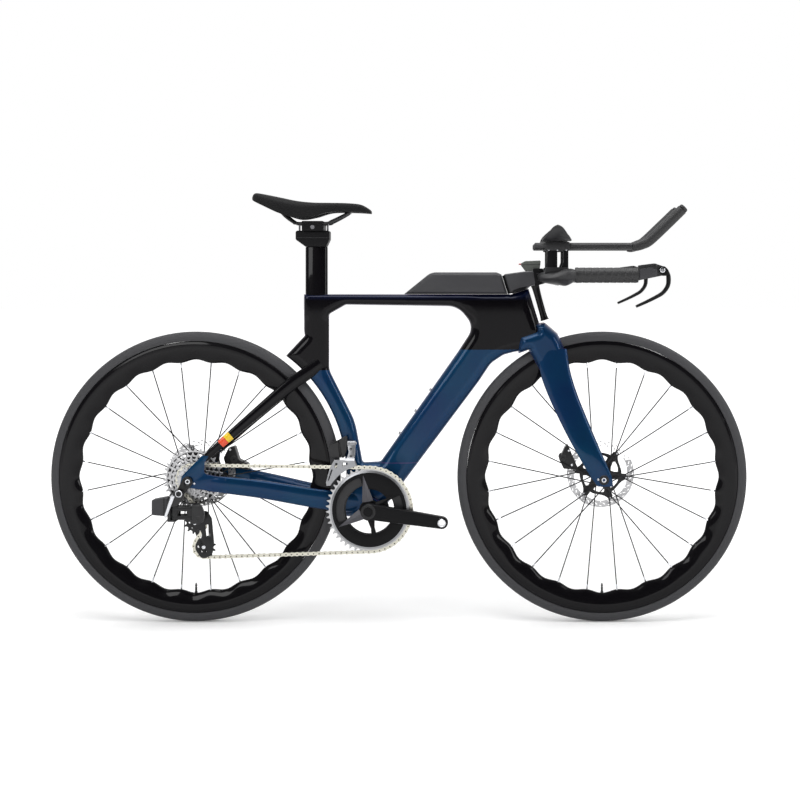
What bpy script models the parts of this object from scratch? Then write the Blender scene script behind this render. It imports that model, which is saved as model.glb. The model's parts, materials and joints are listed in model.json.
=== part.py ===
"""Triathlon bicycle with deep rims, disc brakes, an aero base bar and arm-rest extensions.

X points forward, Y to the rider's left, Z up, in metres. The origin lies on the ground, midway between
the two tyre contacts. Side-view outlines are drawn in a plane whose third direction points to the drive
side, which is -Y.
"""
import bpy
import bmesh
from math import acos, asin, atan2, ceil, cos, hypot, pi, radians, sin, tan
from mathutils import Matrix, Vector

# Fits
GAP = 0.0003            # air left between pieces that touch
RUN = 0.0005            # running clearance between a turning piece and its seat

# Wheels
RIM_RADIUS = 0.3165
RIM_DEPTH = 0.0463      # from the rim's edge to the middle of its wavy inner edge
RIM_WIDTH = 0.028
RIM_WAVE = 0.003        # rise and fall of the inner edge
WAVES = 24
TYRE_HEIGHT = 0.0225    # from the rim's edge to the tread
TYRE_WIDTH = 0.028
WHEEL_RADIUS = RIM_RADIUS + TYRE_HEIGHT
RIM_INNER = RIM_RADIUS - RIM_DEPTH
WHEELBASE = 0.951
VALVE_LENGTH = 0.030
SPOKES = 24
SPOKE_LEAN = radians(64)
HUB_REAR = 0.142        # between the rear dropouts
HUB_FRONT = 0.100
HUB_BODY = 0.0115       # turns inside the cassette
AXLE_RADIUS = 0.006
ROTOR_RADIUS = 0.080
ROTOR_HALF = 0.0009
ROTOR_SIDE_FRONT = -0.038
ROTOR_SIDE_REAR = -0.055
MOUNT_HALF = 0.0045     # half the thickness of the hub where the rotor sits

# Frame
BB_DROP = 0.070
TYRE_TO_BB = 0.072      # from the rear tyre to the middle of the bottom bracket
BB_BACK = WHEEL_RADIUS + TYRE_TO_BB
BB_HALF = 0.0425
BB_SHELL_RADIUS = 0.026
BB_BORE = 0.0205
CUP_FLANGE = 0.0024      # how far a bearing cup stands out of the shell
SEAT_TUBE_BACK = 0.1285 # middle of the upright seat tube, behind the bottom bracket
SEAT_TUBE_HALF = 0.0295
CUTOUT_ROOM = 0.013
TYRE_CUTOUT = WHEEL_RADIUS + CUTOUT_ROOM
TUBE_HALF_REAR = 0.014  # half the width of the seat tube
TUBE_HALF_FRONT = 0.020 # half the width of the head
DROPOUT_WALL = 0.007

# Steering
HEAD_ANGLE = radians(72.5)
FORK_RAKE = 0.052
CROWN_DIP = 0.042       # crown's underside below the top of the tyre
HEAD_RISE = 0.1295      # from the crown's underside to the top tube
HEAD_NOSE = 0.020       # steering axis to the front of the head
STEERER_RADIUS = 0.0127
BEARING_RADIUS = 0.0170
CROWN_RADIUS = 0.0485
CROWN_HEIGHT = 0.0577
CROWN_HALF = 0.030
HOOD_UP = 0.0438        # above this the crown only wraps the head's front
HOOD_BACK = 0.0085      # and stays ahead of this, to clear the head at full lock
LEG_INNER_TOP = 0.021   # half the tyre gap between the fork legs at the crown
TYRE_ROOM = 0.0035
CROWN_Z = 2 * WHEEL_RADIUS - CROWN_DIP
TOP_TUBE_Z = CROWN_Z + HEAD_RISE

# Seat
POST_DEPTH = 0.052
POST_WIDTH = 0.020
POST_INSERTED = 0.105
POST_TRAVEL_DOWN = 0.045
POST_RISE = 0.1105
POST_TOP = TOP_TUBE_Z + POST_RISE
SADDLE_LENGTH = 0.271
SADDLE_WIDTH = 0.131
SADDLE_RISE = 0.070     # from the rails to the top of the tail
SADDLE_SETBACK = 0.143  # from the seatpost to the tail
SADDLE_PADDING = 0.0085
SADDLE_SHELL = 0.0030
SADDLE_SKIN_GAP = 0.0012   # twisted faces of the two skins would meet at less
RAIL_RISE = 0.0546
RAIL_RADIUS = 0.0035
RAIL_SPACING = 0.044

# Cockpit
BAR_HALF_WIDTH = 0.200
BAR_RISE = 0.0435       # above the top tube
BAR_Z = TOP_TUBE_Z + BAR_RISE
BAR_REACH = 0.06055     # ahead of the top of the head
BAR_RADIUS = 0.0125
BAR_DEEP = 0.0210       # half the bar's depth at the stem
TAPE_RADIUS = 0.0168
GRIP_AHEAD = 0.055      # from the bar's middle to the start of the hand grip
GRIP_LENGTH = 0.137
LEVER_AHEAD = 0.052
EXT_Y = 0.055
EXT_Z = BAR_Z + 0.0675
EXT_HALF_HEIGHT = 0.0078
EXT_HALF_WIDTH = 0.0110
EXT_LENGTH = 0.2237
GRIP_HALF = 0.0120      # half the thickness of an extension's grip
BUTTON_TRAVEL = 0.0008
BOX_LENGTH = 0.2725     # storage box, back from the top of the head
BOX_HEIGHT = 0.0513
BOX_TO_STEER = 0.0305
CUP_WALL = 0.0025
CUP_RADIUS = 0.0530
PAD_THICK = 0.0085

# Drive
PITCH = 0.0127
CHAIN_SIDE = 0.0445     # chain line, out from the middle plane on the drive side
RING_TEETH = 48
SMALL_RING_TEETH = 35
RING_GAP = 0.0070       # between the two chainrings
RING_HALF = 0.0009
RING_WEB = 0.0610       # radius of the wall that joins the two rings
COGS = [10, 11, 12, 13, 14, 15, 16, 18, 21, 24, 28, 33]
COG_IN_USE = 16
COG_PITCH = 0.0037
COG_HALF = 0.00075
CASSETTE_BORE = 0.0126
CASSETTE_CORE = 0.0148
COG_HIGH = CHAIN_SIDE + COGS.index(COG_IN_USE) * COG_PITCH
COG_LOW = CHAIN_SIDE - (len(COGS) - 1 - COGS.index(COG_IN_USE)) * COG_PITCH
PULLEY_TEETH = 12
PULLEY_TIP = 0.0026
PULLEY_AXLE = 0.0028
SPINDLE_RADIUS = 0.0145
BOSS_RADIUS = SPINDLE_RADIUS + 0.0035
SPIDER_RADIUS = 0.0860
SPIDER_SIDE = CHAIN_SIDE + 0.0012
SPIDER_THICK = 0.0042
CRANK_LENGTH = 0.170
CRANK_DROOP = radians(-8.7)
CRANK_SIDE = 0.059      # inner face of the crank arm
CRANK_THICK = 0.014
CRANK_BEVEL = 0.0045
CHAIN_HALF = 0.0026     # half the chain's overall width
CHAIN_INNER = 0.0013    # half the gap between its side plates
PLATE_HIGH = 0.0040     # half height of a side plate at a pin
ROLLER_HALF = 0.0033
TOOTH_TIP = 0.0036      # tooth above and below the pitch circle
TOOTH_ROOT = 0.0046
VALLEY_HALF = 0.0036    # half the valley floor of a tooth that carries a roller

AXLE_REAR = Vector((-WHEELBASE / 2, 0, WHEEL_RADIUS))
AXLE_FRONT = Vector((WHEELBASE / 2, 0, WHEEL_RADIUS))
BB = Vector((AXLE_REAR.x + BB_BACK, 0, WHEEL_RADIUS - BB_DROP))
SEAT_TUBE_X = BB.x - SEAT_TUBE_BACK
STEER_UP = Vector((-cos(HEAD_ANGLE), 0, sin(HEAD_ANGLE)))
STEER_AHEAD = Vector((sin(HEAD_ANGLE), 0, cos(HEAD_ANGLE)))
STEER_BASE = AXLE_FRONT - STEER_AHEAD * FORK_RAKE

# Rear derailleur, from the rear axle
GUIDE_AHEAD, GUIDE_DROP = 0.0099, 0.0996
CAGE_AHEAD, CAGE_DROP = 0.0265, 0.0850
TENSION_AHEAD, TENSION_DROP = 0.0237, 0.1554
HANGER_BOLT = AXLE_REAR + Vector((-0.0165, 0, -0.0254))
HANGER_LOW = HUB_REAR / 2 + DROPOUT_WALL + GAP
HANGER_THICK = 0.0050
KNUCKLE_LOW = HANGER_LOW + HANGER_THICK + GAP
HINGE_B = AXLE_REAR.x - 0.0295   # fixed knuckle's upright hinge line
HINGE_P = AXLE_REAR.x + 0.0105   # moving knuckle's
LINK_OUT = 0.0840                # sides of the two links
LINK_IN = 0.0650
LINK_LOW = AXLE_REAR.z - CAGE_DROP
LINK_HIGH = AXLE_REAR.z - 0.0560
LINK_HALF = 0.0050
PIN_HALF = 0.0020
EAR = 0.0045                     # thickness of a knuckle above and below the links
BARREL_OUT = 0.0906              # outer face of the moving knuckle's barrel
BARREL_FLOOR = 0.0760
STUB_RADIUS = 0.0060
CAGE_OUT = 0.0515
CAGE_IN = 0.0375
CAGE_PLATE = 0.0018
GUIDE = Vector((AXLE_REAR.x + GUIDE_AHEAD, AXLE_REAR.z - GUIDE_DROP))
CAGE_PIVOT = Vector((AXLE_REAR.x + CAGE_AHEAD, AXLE_REAR.z - CAGE_DROP))
TENSION = Vector((AXLE_REAR.x + TENSION_AHEAD, AXLE_REAR.z - TENSION_DROP))

# Front derailleur, from the bottom bracket
FD_AXIS = Vector((0, -0.0300, BB.z + 0.1510))
FD_SPLIT = BB.x - 0.0535         # between the fixed body and the swinging arm
FD_FRONT = BB.x - 0.0340
FD_PIN = 0.0028
FD_CLEAR = 0.0049                # cage over the teeth of the large chainring
FD_PLATE = 0.0011
FD_IN = 0.0390
FD_OUT = 0.0500


def steer_point(height):
    """Point of the steering axis at a height above the ground."""
    return STEER_BASE + STEER_UP * ((height - STEER_BASE.z) / STEER_UP.z)


CROWN_POINT = steer_point(CROWN_Z)
HEAD_TOP = steer_point(TOP_TUBE_Z + 0.0065)
HEAD_UP = (HEAD_TOP - CROWN_POINT).dot(STEER_UP)   # crown point to head top, along the axis
STEM_LOW = HEAD_UP + 0.0050
STEM_HIGH = HEAD_UP + 0.0480
PAD_UP = CROWN_HEIGHT + 0.0035                     # where the brace stands on the crown
MOUNT_LINE = [(AXLE_FRONT.x - 0.057, AXLE_FRONT.z + 0.022), (AXLE_FRONT.x - 0.094, AXLE_FRONT.z + 0.108)]

# Cockpit, from the head
BAR_CENTRE = Vector((HEAD_TOP.x + BAR_REACH, 0, BAR_Z - 0.004))
GRIP_START = BAR_CENTRE.x + GRIP_AHEAD
GRIP_END = GRIP_START + GRIP_LENGTH
LEVER_PIVOT = Vector((GRIP_END + LEVER_AHEAD, -BAR_HALF_WIDTH, BAR_Z + 0.0110))
EXT_END = BAR_CENTRE.x - 0.0290 + EXT_LENGTH
EXT_TIP = Vector((BAR_CENTRE.x + 0.3100, -EXT_Y, EXT_Z + 0.0840))
EXT_BEND = Vector((BAR_CENTRE.x + 0.2784, -EXT_Y, EXT_Z + 0.0534))
ARM_BAR = [(BAR_CENTRE.x + 0.006, 0.036, BAR_CENTRE.z), (BAR_CENTRE.x + 0.012, 0.074, BAR_CENTRE.z)]


def on_steer(ahead, up, side=0.0, base=None):
    """World point from distances ahead of and up along the steering axis."""
    start = CROWN_POINT if base is None else base
    return start + STEER_AHEAD * ahead + STEER_UP * up + Vector((0, -side, 0))


for old in list(bpy.data.objects):
    bpy.data.objects.remove(old, do_unlink=True)


# Materials
def material(name, colour, rough, metal=0.0):
    made = bpy.data.materials.new(name)
    made.use_nodes = True
    shader = made.node_tree.nodes["Principled BSDF"]
    shader.inputs["Base Color"].default_value = (*colour, 1)
    shader.inputs["Roughness"].default_value = rough
    shader.inputs["Metallic"].default_value = metal
    made.diffuse_color = (*colour, 1)
    return made


PAINT = material("pearl_paint", (0.02, 0.05, 0.16), 0.25, 0.4)
CARBON = material("matte_carbon", (0.03, 0.03, 0.032), 0.5)
GLOSS = material("gloss_black", (0.008, 0.008, 0.01), 0.15)
RUBBER = material("rubber", (0.03, 0.03, 0.03), 0.8)
STEEL = material("steel", (0.55, 0.55, 0.56), 0.3, 1.0)
ALLOY = material("black_alloy", (0.04, 0.04, 0.045), 0.4, 0.6)
PLASTIC = material("plastic", (0.035, 0.035, 0.04), 0.55)
COVER = material("saddle_cover", (0.02, 0.02, 0.022), 0.6)
CHAIN_METAL = material("chain_metal", (0.62, 0.60, 0.52), 0.3, 1.0)
RED = material("red_plastic", (0.5, 0.02, 0.03), 0.5)

# Frames that carry an outline drawn in x and y, with z out of it, into the world
SIDE = Matrix(((1, 0, 0, 0), (0, 0, -1, 0), (0, 1, 0, 0), (0, 0, 0, 1)))
STEER = Matrix((
    (STEER_AHEAD.x, 0, STEER_UP.x, CROWN_POINT.x),
    (0, 1, 0, 0),
    (STEER_AHEAD.z, 0, STEER_UP.z, CROWN_POINT.z),
    (0, 0, 0, 1)))


def side_at(point, turn=0.0):
    """Side-view frame centred on a world point, turned about the axle direction."""
    return Matrix.Translation(point) @ SIDE @ Matrix.Rotation(turn, 4, "Z")


# Mesh helpers
def node(name, bm, finish, pivot=None, smooth=32):
    """Closes a mesh into a named object whose origin may lie on its joint."""
    bmesh.ops.remove_doubles(bm, verts=bm.verts, dist=1e-6)
    bmesh.ops.recalc_face_normals(bm, faces=bm.faces)
    mesh = bpy.data.meshes.new(name)
    bm.to_mesh(mesh)
    bm.free()
    if pivot is not None:
        mesh.transform(Matrix.Translation(-Vector(pivot)))
    mesh.materials.append(finish)
    mesh.shade_smooth()
    mesh.set_sharp_from_angle(angle=radians(smooth))
    made = bpy.data.objects.new(name, mesh)
    if pivot is not None:
        made.location = pivot
    bpy.context.scene.collection.objects.link(made)
    return made


def add_wall(bm, first, second):
    count = len(first)
    for i in range(count):
        j = (i + 1) % count
        bm.faces.new((first[i], first[j], second[j], second[i]))


def loft(sections, close_path=False):
    """Skins a row of equal loops, capped at both ends or joined round."""
    bm = bmesh.new()
    rings = [[bm.verts.new(p) for p in section] for section in sections]
    for first, second in zip(rings, rings[1:]):
        add_wall(bm, first, second)
    if close_path:
        add_wall(bm, rings[-1], rings[0])
    else:
        bm.faces.new(rings[0][::-1])
        bm.faces.new(rings[-1])
    bmesh.ops.recalc_face_normals(bm, faces=bm.faces)
    return bm


def lathe(profile, segments, frame, ring=True, phase=0.0, radius_at=None):
    """Turns points (radius, height) about the frame's z. A ring has a closed profile and a bore."""
    sections = []
    for k in range(segments):
        angle = phase + 2 * pi * k / segments
        row = []
        for index, (r, h) in enumerate(profile):
            if radius_at:
                r = radius_at(index, r, angle)
            row.append(frame @ Vector((r * cos(angle), r * sin(angle), h)))
        sections.append(row)
    if ring:
        return loft(sections, close_path=True)
    loops = [[sections[k][i] for k in range(segments)] for i in range(len(profile))]
    return loft(loops)


def inset_loop(points, distance):
    """Moves a loop to its left, which is into the material."""
    moved = []
    count = len(points)
    for i in range(count):
        before, here, after = points[i - 1], points[i], points[(i + 1) % count]
        d1 = Vector((here[0] - before[0], here[1] - before[1])).normalized()
        d2 = Vector((after[0] - here[0], after[1] - here[1])).normalized()
        n1 = Vector((-d1.y, d1.x))
        n2 = Vector((-d2.y, d2.x))
        shift = (n1 + n2) * (distance / max(0.35, 1 + n1.dot(n2)))
        moved.append((here[0] + shift.x, here[1] + shift.y))
    return moved


def area(points):
    return sum(points[i - 1][0] * p[1] - p[0] * points[i - 1][1] for i, p in enumerate(points)) / 2


def plate(loops, layers, frame, width=None):
    """Solid between flat outlines: loops[0] is the outside, the rest are holes.

    Each layer is (inset, height). The height may be scaled by width(x, y).
    """
    turned = []
    for k, points in enumerate(loops):
        wanted = 1 if k == 0 else -1
        turned.append(points if area(points) * wanted > 0 else points[::-1])
    bm = bmesh.new()
    rings = []
    for inset, height in layers:
        row = []
        for points in turned:
            loop = inset_loop(points, inset) if inset else points
            verts = []
            for (x, y), (ox, oy) in zip(loop, points):
                scale = width(ox, oy) if width else 1.0
                verts.append(bm.verts.new(frame @ Vector((x, y, height * scale))))
            row.append(verts)
        rings.append(row)
    for first, second in zip(rings, rings[1:]):
        for a, b in zip(first, second):
            add_wall(bm, a, b)
    for row in (rings[0], rings[-1]):
        edges = []
        for verts in row:
            for i in range(len(verts)):
                edges.append(bm.edges.get((verts[i - 1], verts[i])))
        bmesh.ops.triangle_fill(bm, edges=edges, use_beauty=True)
    bmesh.ops.recalc_face_normals(bm, faces=bm.faces)
    return bm


def prism(points, low, high, frame, holes=()):
    return plate([points, *holes], [(0, low), (0, high)], frame)


def fillet(corners, step=radians(34)):
    """Outline from (x, y, radius) corners, with each radius drawn as an arc."""
    out = []
    count = len(corners)
    for i, corner in enumerate(corners):
        x, y, r = (*corner, 0.0)[:3]
        if r <= 0:
            out.append((x, y))
            continue
        px, py = corners[i - 1][:2]
        nx, ny = corners[(i + 1) % count][:2]
        to_last = Vector((px - x, py - y))
        to_next = Vector((nx - x, ny - y))
        opening = to_last.angle(to_next)
        if opening > radians(178):
            out.append((x, y))
            continue
        reach = min(r / tan(opening / 2), 0.49 * to_last.length, 0.49 * to_next.length)
        radius = reach * tan(opening / 2)
        middle = (to_last.normalized() + to_next.normalized()).normalized()
        centre = Vector((x, y)) + middle * (radius / sin(opening / 2))
        start = Vector((x, y)) + to_last.normalized() * reach - centre
        finish = Vector((x, y)) + to_next.normalized() * reach - centre
        sweep = start.angle(finish)
        turn = 1 if start.x * finish.y - start.y * finish.x > 0 else -1
        steps = max(1, ceil(sweep / step))
        for k in range(steps + 1):
            a = turn * sweep * k / steps
            out.append((centre.x + start.x * cos(a) - start.y * sin(a),
                        centre.y + start.x * sin(a) + start.y * cos(a)))
    return out


def circle(radius, count, x=0.0, y=0.0, phase=0.0):
    return [(x + radius * cos(phase + 2 * pi * k / count), y + radius * sin(phase + 2 * pi * k / count))
            for k in range(count)]


def arc(x, y, radius, start, end, count):
    angles = [start + (end - start) * k / count for k in range(count + 1)]
    return [(x + radius * cos(a), y + radius * sin(a)) for a in angles]


def oval(half_x, half_y, count, power=2.0):
    """Superellipse loop: power 2 is an ellipse and more is boxier."""
    points = []
    for k in range(count):
        a = 2 * pi * (k + 0.5) / count
        c, s = cos(a), sin(a)
        points.append((half_x * abs(c) ** (2 / power) * (1 if c > 0 else -1),
                       half_y * abs(s) ** (2 / power) * (1 if s > 0 else -1)))
    return points


def sweep(path, shapes, up=Vector((0, 0, 1))):
    """Skins 2D shapes along a path. A shape's x lies across the path and its y near up."""
    points = [Vector(p) for p in path]
    sections = []
    for i, p in enumerate(points):
        ahead = (points[min(i + 1, len(points) - 1)] - points[max(i - 1, 0)]).normalized()
        across = ahead.cross(up).normalized()
        rise = across.cross(ahead)
        shape = shapes[i] if isinstance(shapes[0][0], (list, tuple)) else shapes
        sections.append([p + across * x + rise * y for x, y in shape])
    return loft(sections)


def rod(start, end, radius, sides=12):
    """Plain round bar between two points."""
    axis = Vector(end) - Vector(start)
    frame = Matrix.Translation(start) @ axis.to_track_quat("Z", "Y").to_matrix().to_4x4()
    return lathe([(radius, 0), (radius, axis.length)], sides, frame, ring=False)


def join(*meshes):
    """Puts closed meshes that don't meet into one."""
    target = meshes[0]
    for other in meshes[1:]:
        held = bpy.data.meshes.new("held")
        other.to_mesh(held)
        target.from_mesh(held)
        other.free()
        bpy.data.meshes.remove(held)
    return target


def combine(base, tool, operation):
    """Boolean of two meshes, through Blender's exact solver."""
    pair = []
    for bm in (base, tool):
        mesh = bpy.data.meshes.new("held")
        bmesh.ops.recalc_face_normals(bm, faces=bm.faces)
        bmesh.ops.triangulate(bm, faces=bm.faces)
        bm.to_mesh(mesh)
        bm.free()
        made = bpy.data.objects.new("held", mesh)
        bpy.context.scene.collection.objects.link(made)
        pair.append(made)
    modifier = pair[0].modifiers.new("boolean", "BOOLEAN")
    modifier.object = pair[1]
    modifier.operation = operation
    modifier.solver = "EXACT"
    bpy.context.view_layer.update()
    graph = bpy.context.evaluated_depsgraph_get()
    result = bpy.data.meshes.new_from_object(pair[0].evaluated_get(graph))
    bm = bmesh.new()
    bm.from_mesh(result)
    for made in pair:
        mesh = made.data
        bpy.data.objects.remove(made, do_unlink=True)
        bpy.data.meshes.remove(mesh)
    bpy.data.meshes.remove(result)
    bmesh.ops.remove_doubles(bm, verts=bm.verts, dist=5e-7)
    bmesh.ops.dissolve_limit(bm, angle_limit=radians(0.5), verts=bm.verts, edges=bm.edges)
    return bm


def union(base, *tools):
    for tool in tools:
        base = combine(base, tool, "UNION")
    return base


def cut(base, *tools):
    for tool in tools:
        base = combine(base, tool, "DIFFERENCE")
    return base


def mirrored(bm):
    """Left-hand copy of a right-hand mesh."""
    copy = bm.copy()
    bmesh.ops.scale(copy, vec=(1, -1, 1), verts=copy.verts)
    bmesh.ops.recalc_face_normals(copy, faces=copy.faces)
    return copy


# Frame
def smooth_step(t):
    t = max(0.0, min(1.0, t))
    return t * t * (3 - 2 * t)


def frame_half_width(x, y):
    """Half width of the frame: slim at the seat tube, full at the head, broad at the bottom bracket."""
    base = TUBE_HALF_REAR + (TUBE_HALF_FRONT - TUBE_HALF_REAR) * smooth_step((x + 0.17) / 0.26)
    near_bb = 1 - hypot(x - BB.x, y - BB.z) / 0.15
    return base + 0.014 * smooth_step(near_bb)


def frame_loops():
    """Side view of the main frame and of the gap between its three tubes."""
    rear = SEAT_TUBE_X - SEAT_TUBE_HALF
    front = SEAT_TUBE_X + SEAT_TUBE_HALF
    tip_angle = radians(53.3)
    low_angle = radians(-13)
    cutout = [(x, y) for x, y in
              arc(AXLE_REAR.x, AXLE_REAR.z, TYRE_CUTOUT, tip_angle, low_angle, 10)]
    head_top_front = on_steer(HEAD_NOSE, 0, base=HEAD_TOP)
    head_top_rear = on_steer(-0.024, 0, base=HEAD_TOP)
    head_low = on_steer(HEAD_NOSE, 0.045)
    bx, bz = BB.x, BB.z
    cx, cz = CROWN_POINT.x, CROWN_POINT.z
    lower = [
        (bx - 0.0585, bz - 0.0235),
        (bx + 0.008, bz - 0.0280, 0.020),
        (bx + 0.0340, bz + 0.0010, 0.030),
        (cx - 0.1414, cz - 0.0764, 0.10),
        (cx - 0.1118, cz - 0.0321, 0.05),
        (cx - 0.0822, cz - 0.0124, 0.03),
        (cx - 0.0576, cz - 0.0060),
        (cx + 0.0030, cz + 0.0040),
        (head_low.x, head_low.z),
        (head_top_front.x, head_top_front.z),
        (head_top_rear.x, head_top_rear.z),
        (head_top_rear.x - 0.004, TOP_TUBE_Z),
        (rear, TOP_TUBE_Z),
        (rear, TOP_TUBE_Z - 0.089, 0.07),
    ]
    outer = cutout + fillet(lower)
    hole = fillet([
        (front, TOP_TUBE_Z - 0.0470, 0.008),
        (front + 0.0390, TOP_TUBE_Z - 0.0245, 0.010),
        (cx - 0.1900, TOP_TUBE_Z - 0.0285, 0.050),
        (cx - 0.1515, cz + 0.0530, 0.035),
        (cx - 0.1900, cz - 0.0060, 0.060),
        (bx + 0.0215, bz + 0.1050, 0.012),
        (bx - 0.0205, bz + 0.1030, 0.006),
        (bx - 0.0385, bz + 0.1990, 0.14),
        (bx - 0.0850, TOP_TUBE_Z - 0.2055, 0.12),
        (front, TOP_TUBE_Z - 0.1775, 0.04),
    ])
    return [outer, hole]


def dropout_outline():
    """Side view of a rear dropout, from the chainstay round the axle to the seat stay."""
    x, z = AXLE_REAR.x, AXLE_REAR.z
    return fillet([
        (x + 0.0900, z - 0.0270, 0.004),
        (x + 0.0870, z + 0.0080, 0.004),
        (x + 0.0360, z + 0.0170, 0.010),
        (x + 0.0390, z + 0.0440, 0.012),
        (x + 0.0480, z + 0.0580),
        (x + 0.0330, z + 0.0600),
        (x - 0.0140, z + 0.0120, 0.016),
        (x - 0.0185, z - 0.0115, 0.008),
    ])


def smooth_stations(stations, per_span):
    """More stations on a smooth curve through the given ones."""
    rows = []
    last = len(stations) - 1
    for i in range(last):
        p0, p1 = stations[max(i - 1, 0)], stations[i]
        p2, p3 = stations[i + 1], stations[min(i + 2, last)]
        for k in range(per_span):
            t = k / per_span
            rows.append(tuple(
                0.5 * (2 * b + (c - a) * t + (2 * a - 5 * b + 4 * c - d) * t * t
                       + (3 * b - a - 3 * c + d) * t ** 3)
                for a, b, c, d in zip(p0, p1, p2, p3)))
    rows.append(tuple(stations[-1]))
    return rows


def stay(stations, shape, per_span):
    """Loft of a frame stay from (x, side, z, half height, half width) stations on the drive side."""
    stations = smooth_stations(stations, per_span)
    path = [(x, -side, z) for x, side, z, _, _ in stations]
    shapes = [[(px * w, py * h) for px, py in shape] for _, _, _, h, w in stations]
    return sweep(path, shapes)


def make_frame():
    rounding = 0.0125
    soft = 0.30 * rounding
    layers = [(rounding, -1.0), (soft, -0.76), (0.0, 0.0), (soft, 0.76), (rounding, 1.0)]
    body = plate(frame_loops(), layers, SIDE, width=frame_half_width)
    body = union(body, lathe([(BB_SHELL_RADIUS, -BB_HALF), (BB_SHELL_RADIUS, BB_HALF)], 20,
                             side_at(BB), ring=False))
    shape = oval(1.0, 1.0, 8, 2.4)
    drop_side = HUB_REAR / 2 + DROPOUT_WALL / 2
    ax, az = AXLE_REAR.x, AXLE_REAR.z

    def on_stay(share, side, rise, high, half):
        """Station of the chainstay at a share of the way from the bottom bracket to the axle."""
        return (BB.x - share * BB_BACK, side, BB.z + share * BB_DROP + rise, high, half)

    chainstay = stay([
        on_stay(0.0730, 0.0180, 0.0069, 0.0225, 0.0100),
        on_stay(0.1825, 0.0255, 0.0032, 0.0228, 0.0075),
        on_stay(0.3406, 0.0320, 0.0022, 0.0220, 0.0090),
        on_stay(0.5839, 0.0500, 0.0056, 0.0205, 0.0085),
        on_stay(0.7908, drop_side - 0.0045, 0.0056, 0.0190, 0.0065),
        (ax + 0.045, drop_side - 0.0005, az - 0.0055, 0.0170, 0.0032),
    ], shape, 1)
    seatstay = stay([
        (SEAT_TUBE_X + 0.010, 0.0080, az + 0.7817 * WHEEL_RADIUS, 0.0140, 0.0080),
        (SEAT_TUBE_X - 0.018, 0.0160, az + 0.7198 * WHEEL_RADIUS, 0.0155, 0.0075),
        (SEAT_TUBE_X - 0.060, 0.0285, az + 0.6313 * WHEEL_RADIUS, 0.0150, 0.0065),
        (SEAT_TUBE_X - 0.135, 0.0485, az + 0.4425 * WHEEL_RADIUS, 0.0120, 0.0060),
        (ax + 0.085, drop_side - 0.0070, az + 0.0950, 0.0098, 0.0055),
        (ax + 0.037, drop_side - 0.0002, az + 0.0505, 0.0078, 0.0029),
    ], shape, 2)
    inner = HUB_REAR / 2
    outer = inner + DROPOUT_WALL
    dropout = plate([dropout_outline()], [(0, inner), (0, outer - 0.0015), (0.0015, outer)], SIDE)
    right = union(dropout, chainstay, seatstay)
    left = mirrored(right)
    mount_pad = prism(fillet([
        (ax + 0.057, az - 0.010), (ax + 0.118, az - 0.018),
        (ax + 0.118, az + 0.0070), (ax + 0.057, az + 0.0150)]),
        -(drop_side - 0.002), -(drop_side - 0.018), SIDE)
    body = union(body, right, union(left, mount_pad))
    body = cut(body, lathe([(BB_BORE, -0.06), (BB_BORE, 0.06)], 16, side_at(BB), ring=False))
    body = cut(body, rod(AXLE_REAR + Vector((0, -0.09, 0)), AXLE_REAR + Vector((0, 0.09, 0)),
                         AXLE_RADIUS + GAP, 14))
    depth = POST_INSERTED + POST_TRAVEL_DOWN + 0.004
    pocket = loft([[Vector((SEAT_TUBE_X + x, y, z)) for x, y in
                    oval(POST_DEPTH / 2 + GAP, POST_WIDTH / 2 + GAP, 16, 2.6)]
                   for z in (TOP_TUBE_Z - depth, TOP_TUBE_Z + 0.02)])
    body = cut(body, pocket)
    body = cut(body, crown_dome(0.0016))
    top = (HEAD_TOP - CROWN_POINT).dot(STEER_UP)
    body = cut(body, lathe([(STEERER_RADIUS + RUN, 0.02), (STEERER_RADIUS + RUN, top + 0.02)], 16, STEER,
                           ring=False))
    return node("frame", body, PAINT)


def crown_dome(margin):
    """Solid of revolution round the steering axis that the crown turns in."""
    shape = [(1.0, -1.2), (1.0, 0.1), (0.95, 0.36), (0.80, 0.60), (0.50, 0.83)]
    profile = [(r * CROWN_RADIUS + margin, h * CROWN_HEIGHT + (margin if h > 0 else 0))
               for r, h in shape]
    profile.append((0.20 * CROWN_RADIUS, CROWN_HEIGHT + margin))
    return lathe(profile, 18, STEER, ring=False)


# Fork, brace, stem
def steer_side():
    """Side-view frame at the crown point whose y runs up the steering axis."""
    return Matrix.Translation(CROWN_POINT) @ SIDE @ Matrix.Rotation(pi / 2 - HEAD_ANGLE, 4, "Z")


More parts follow.
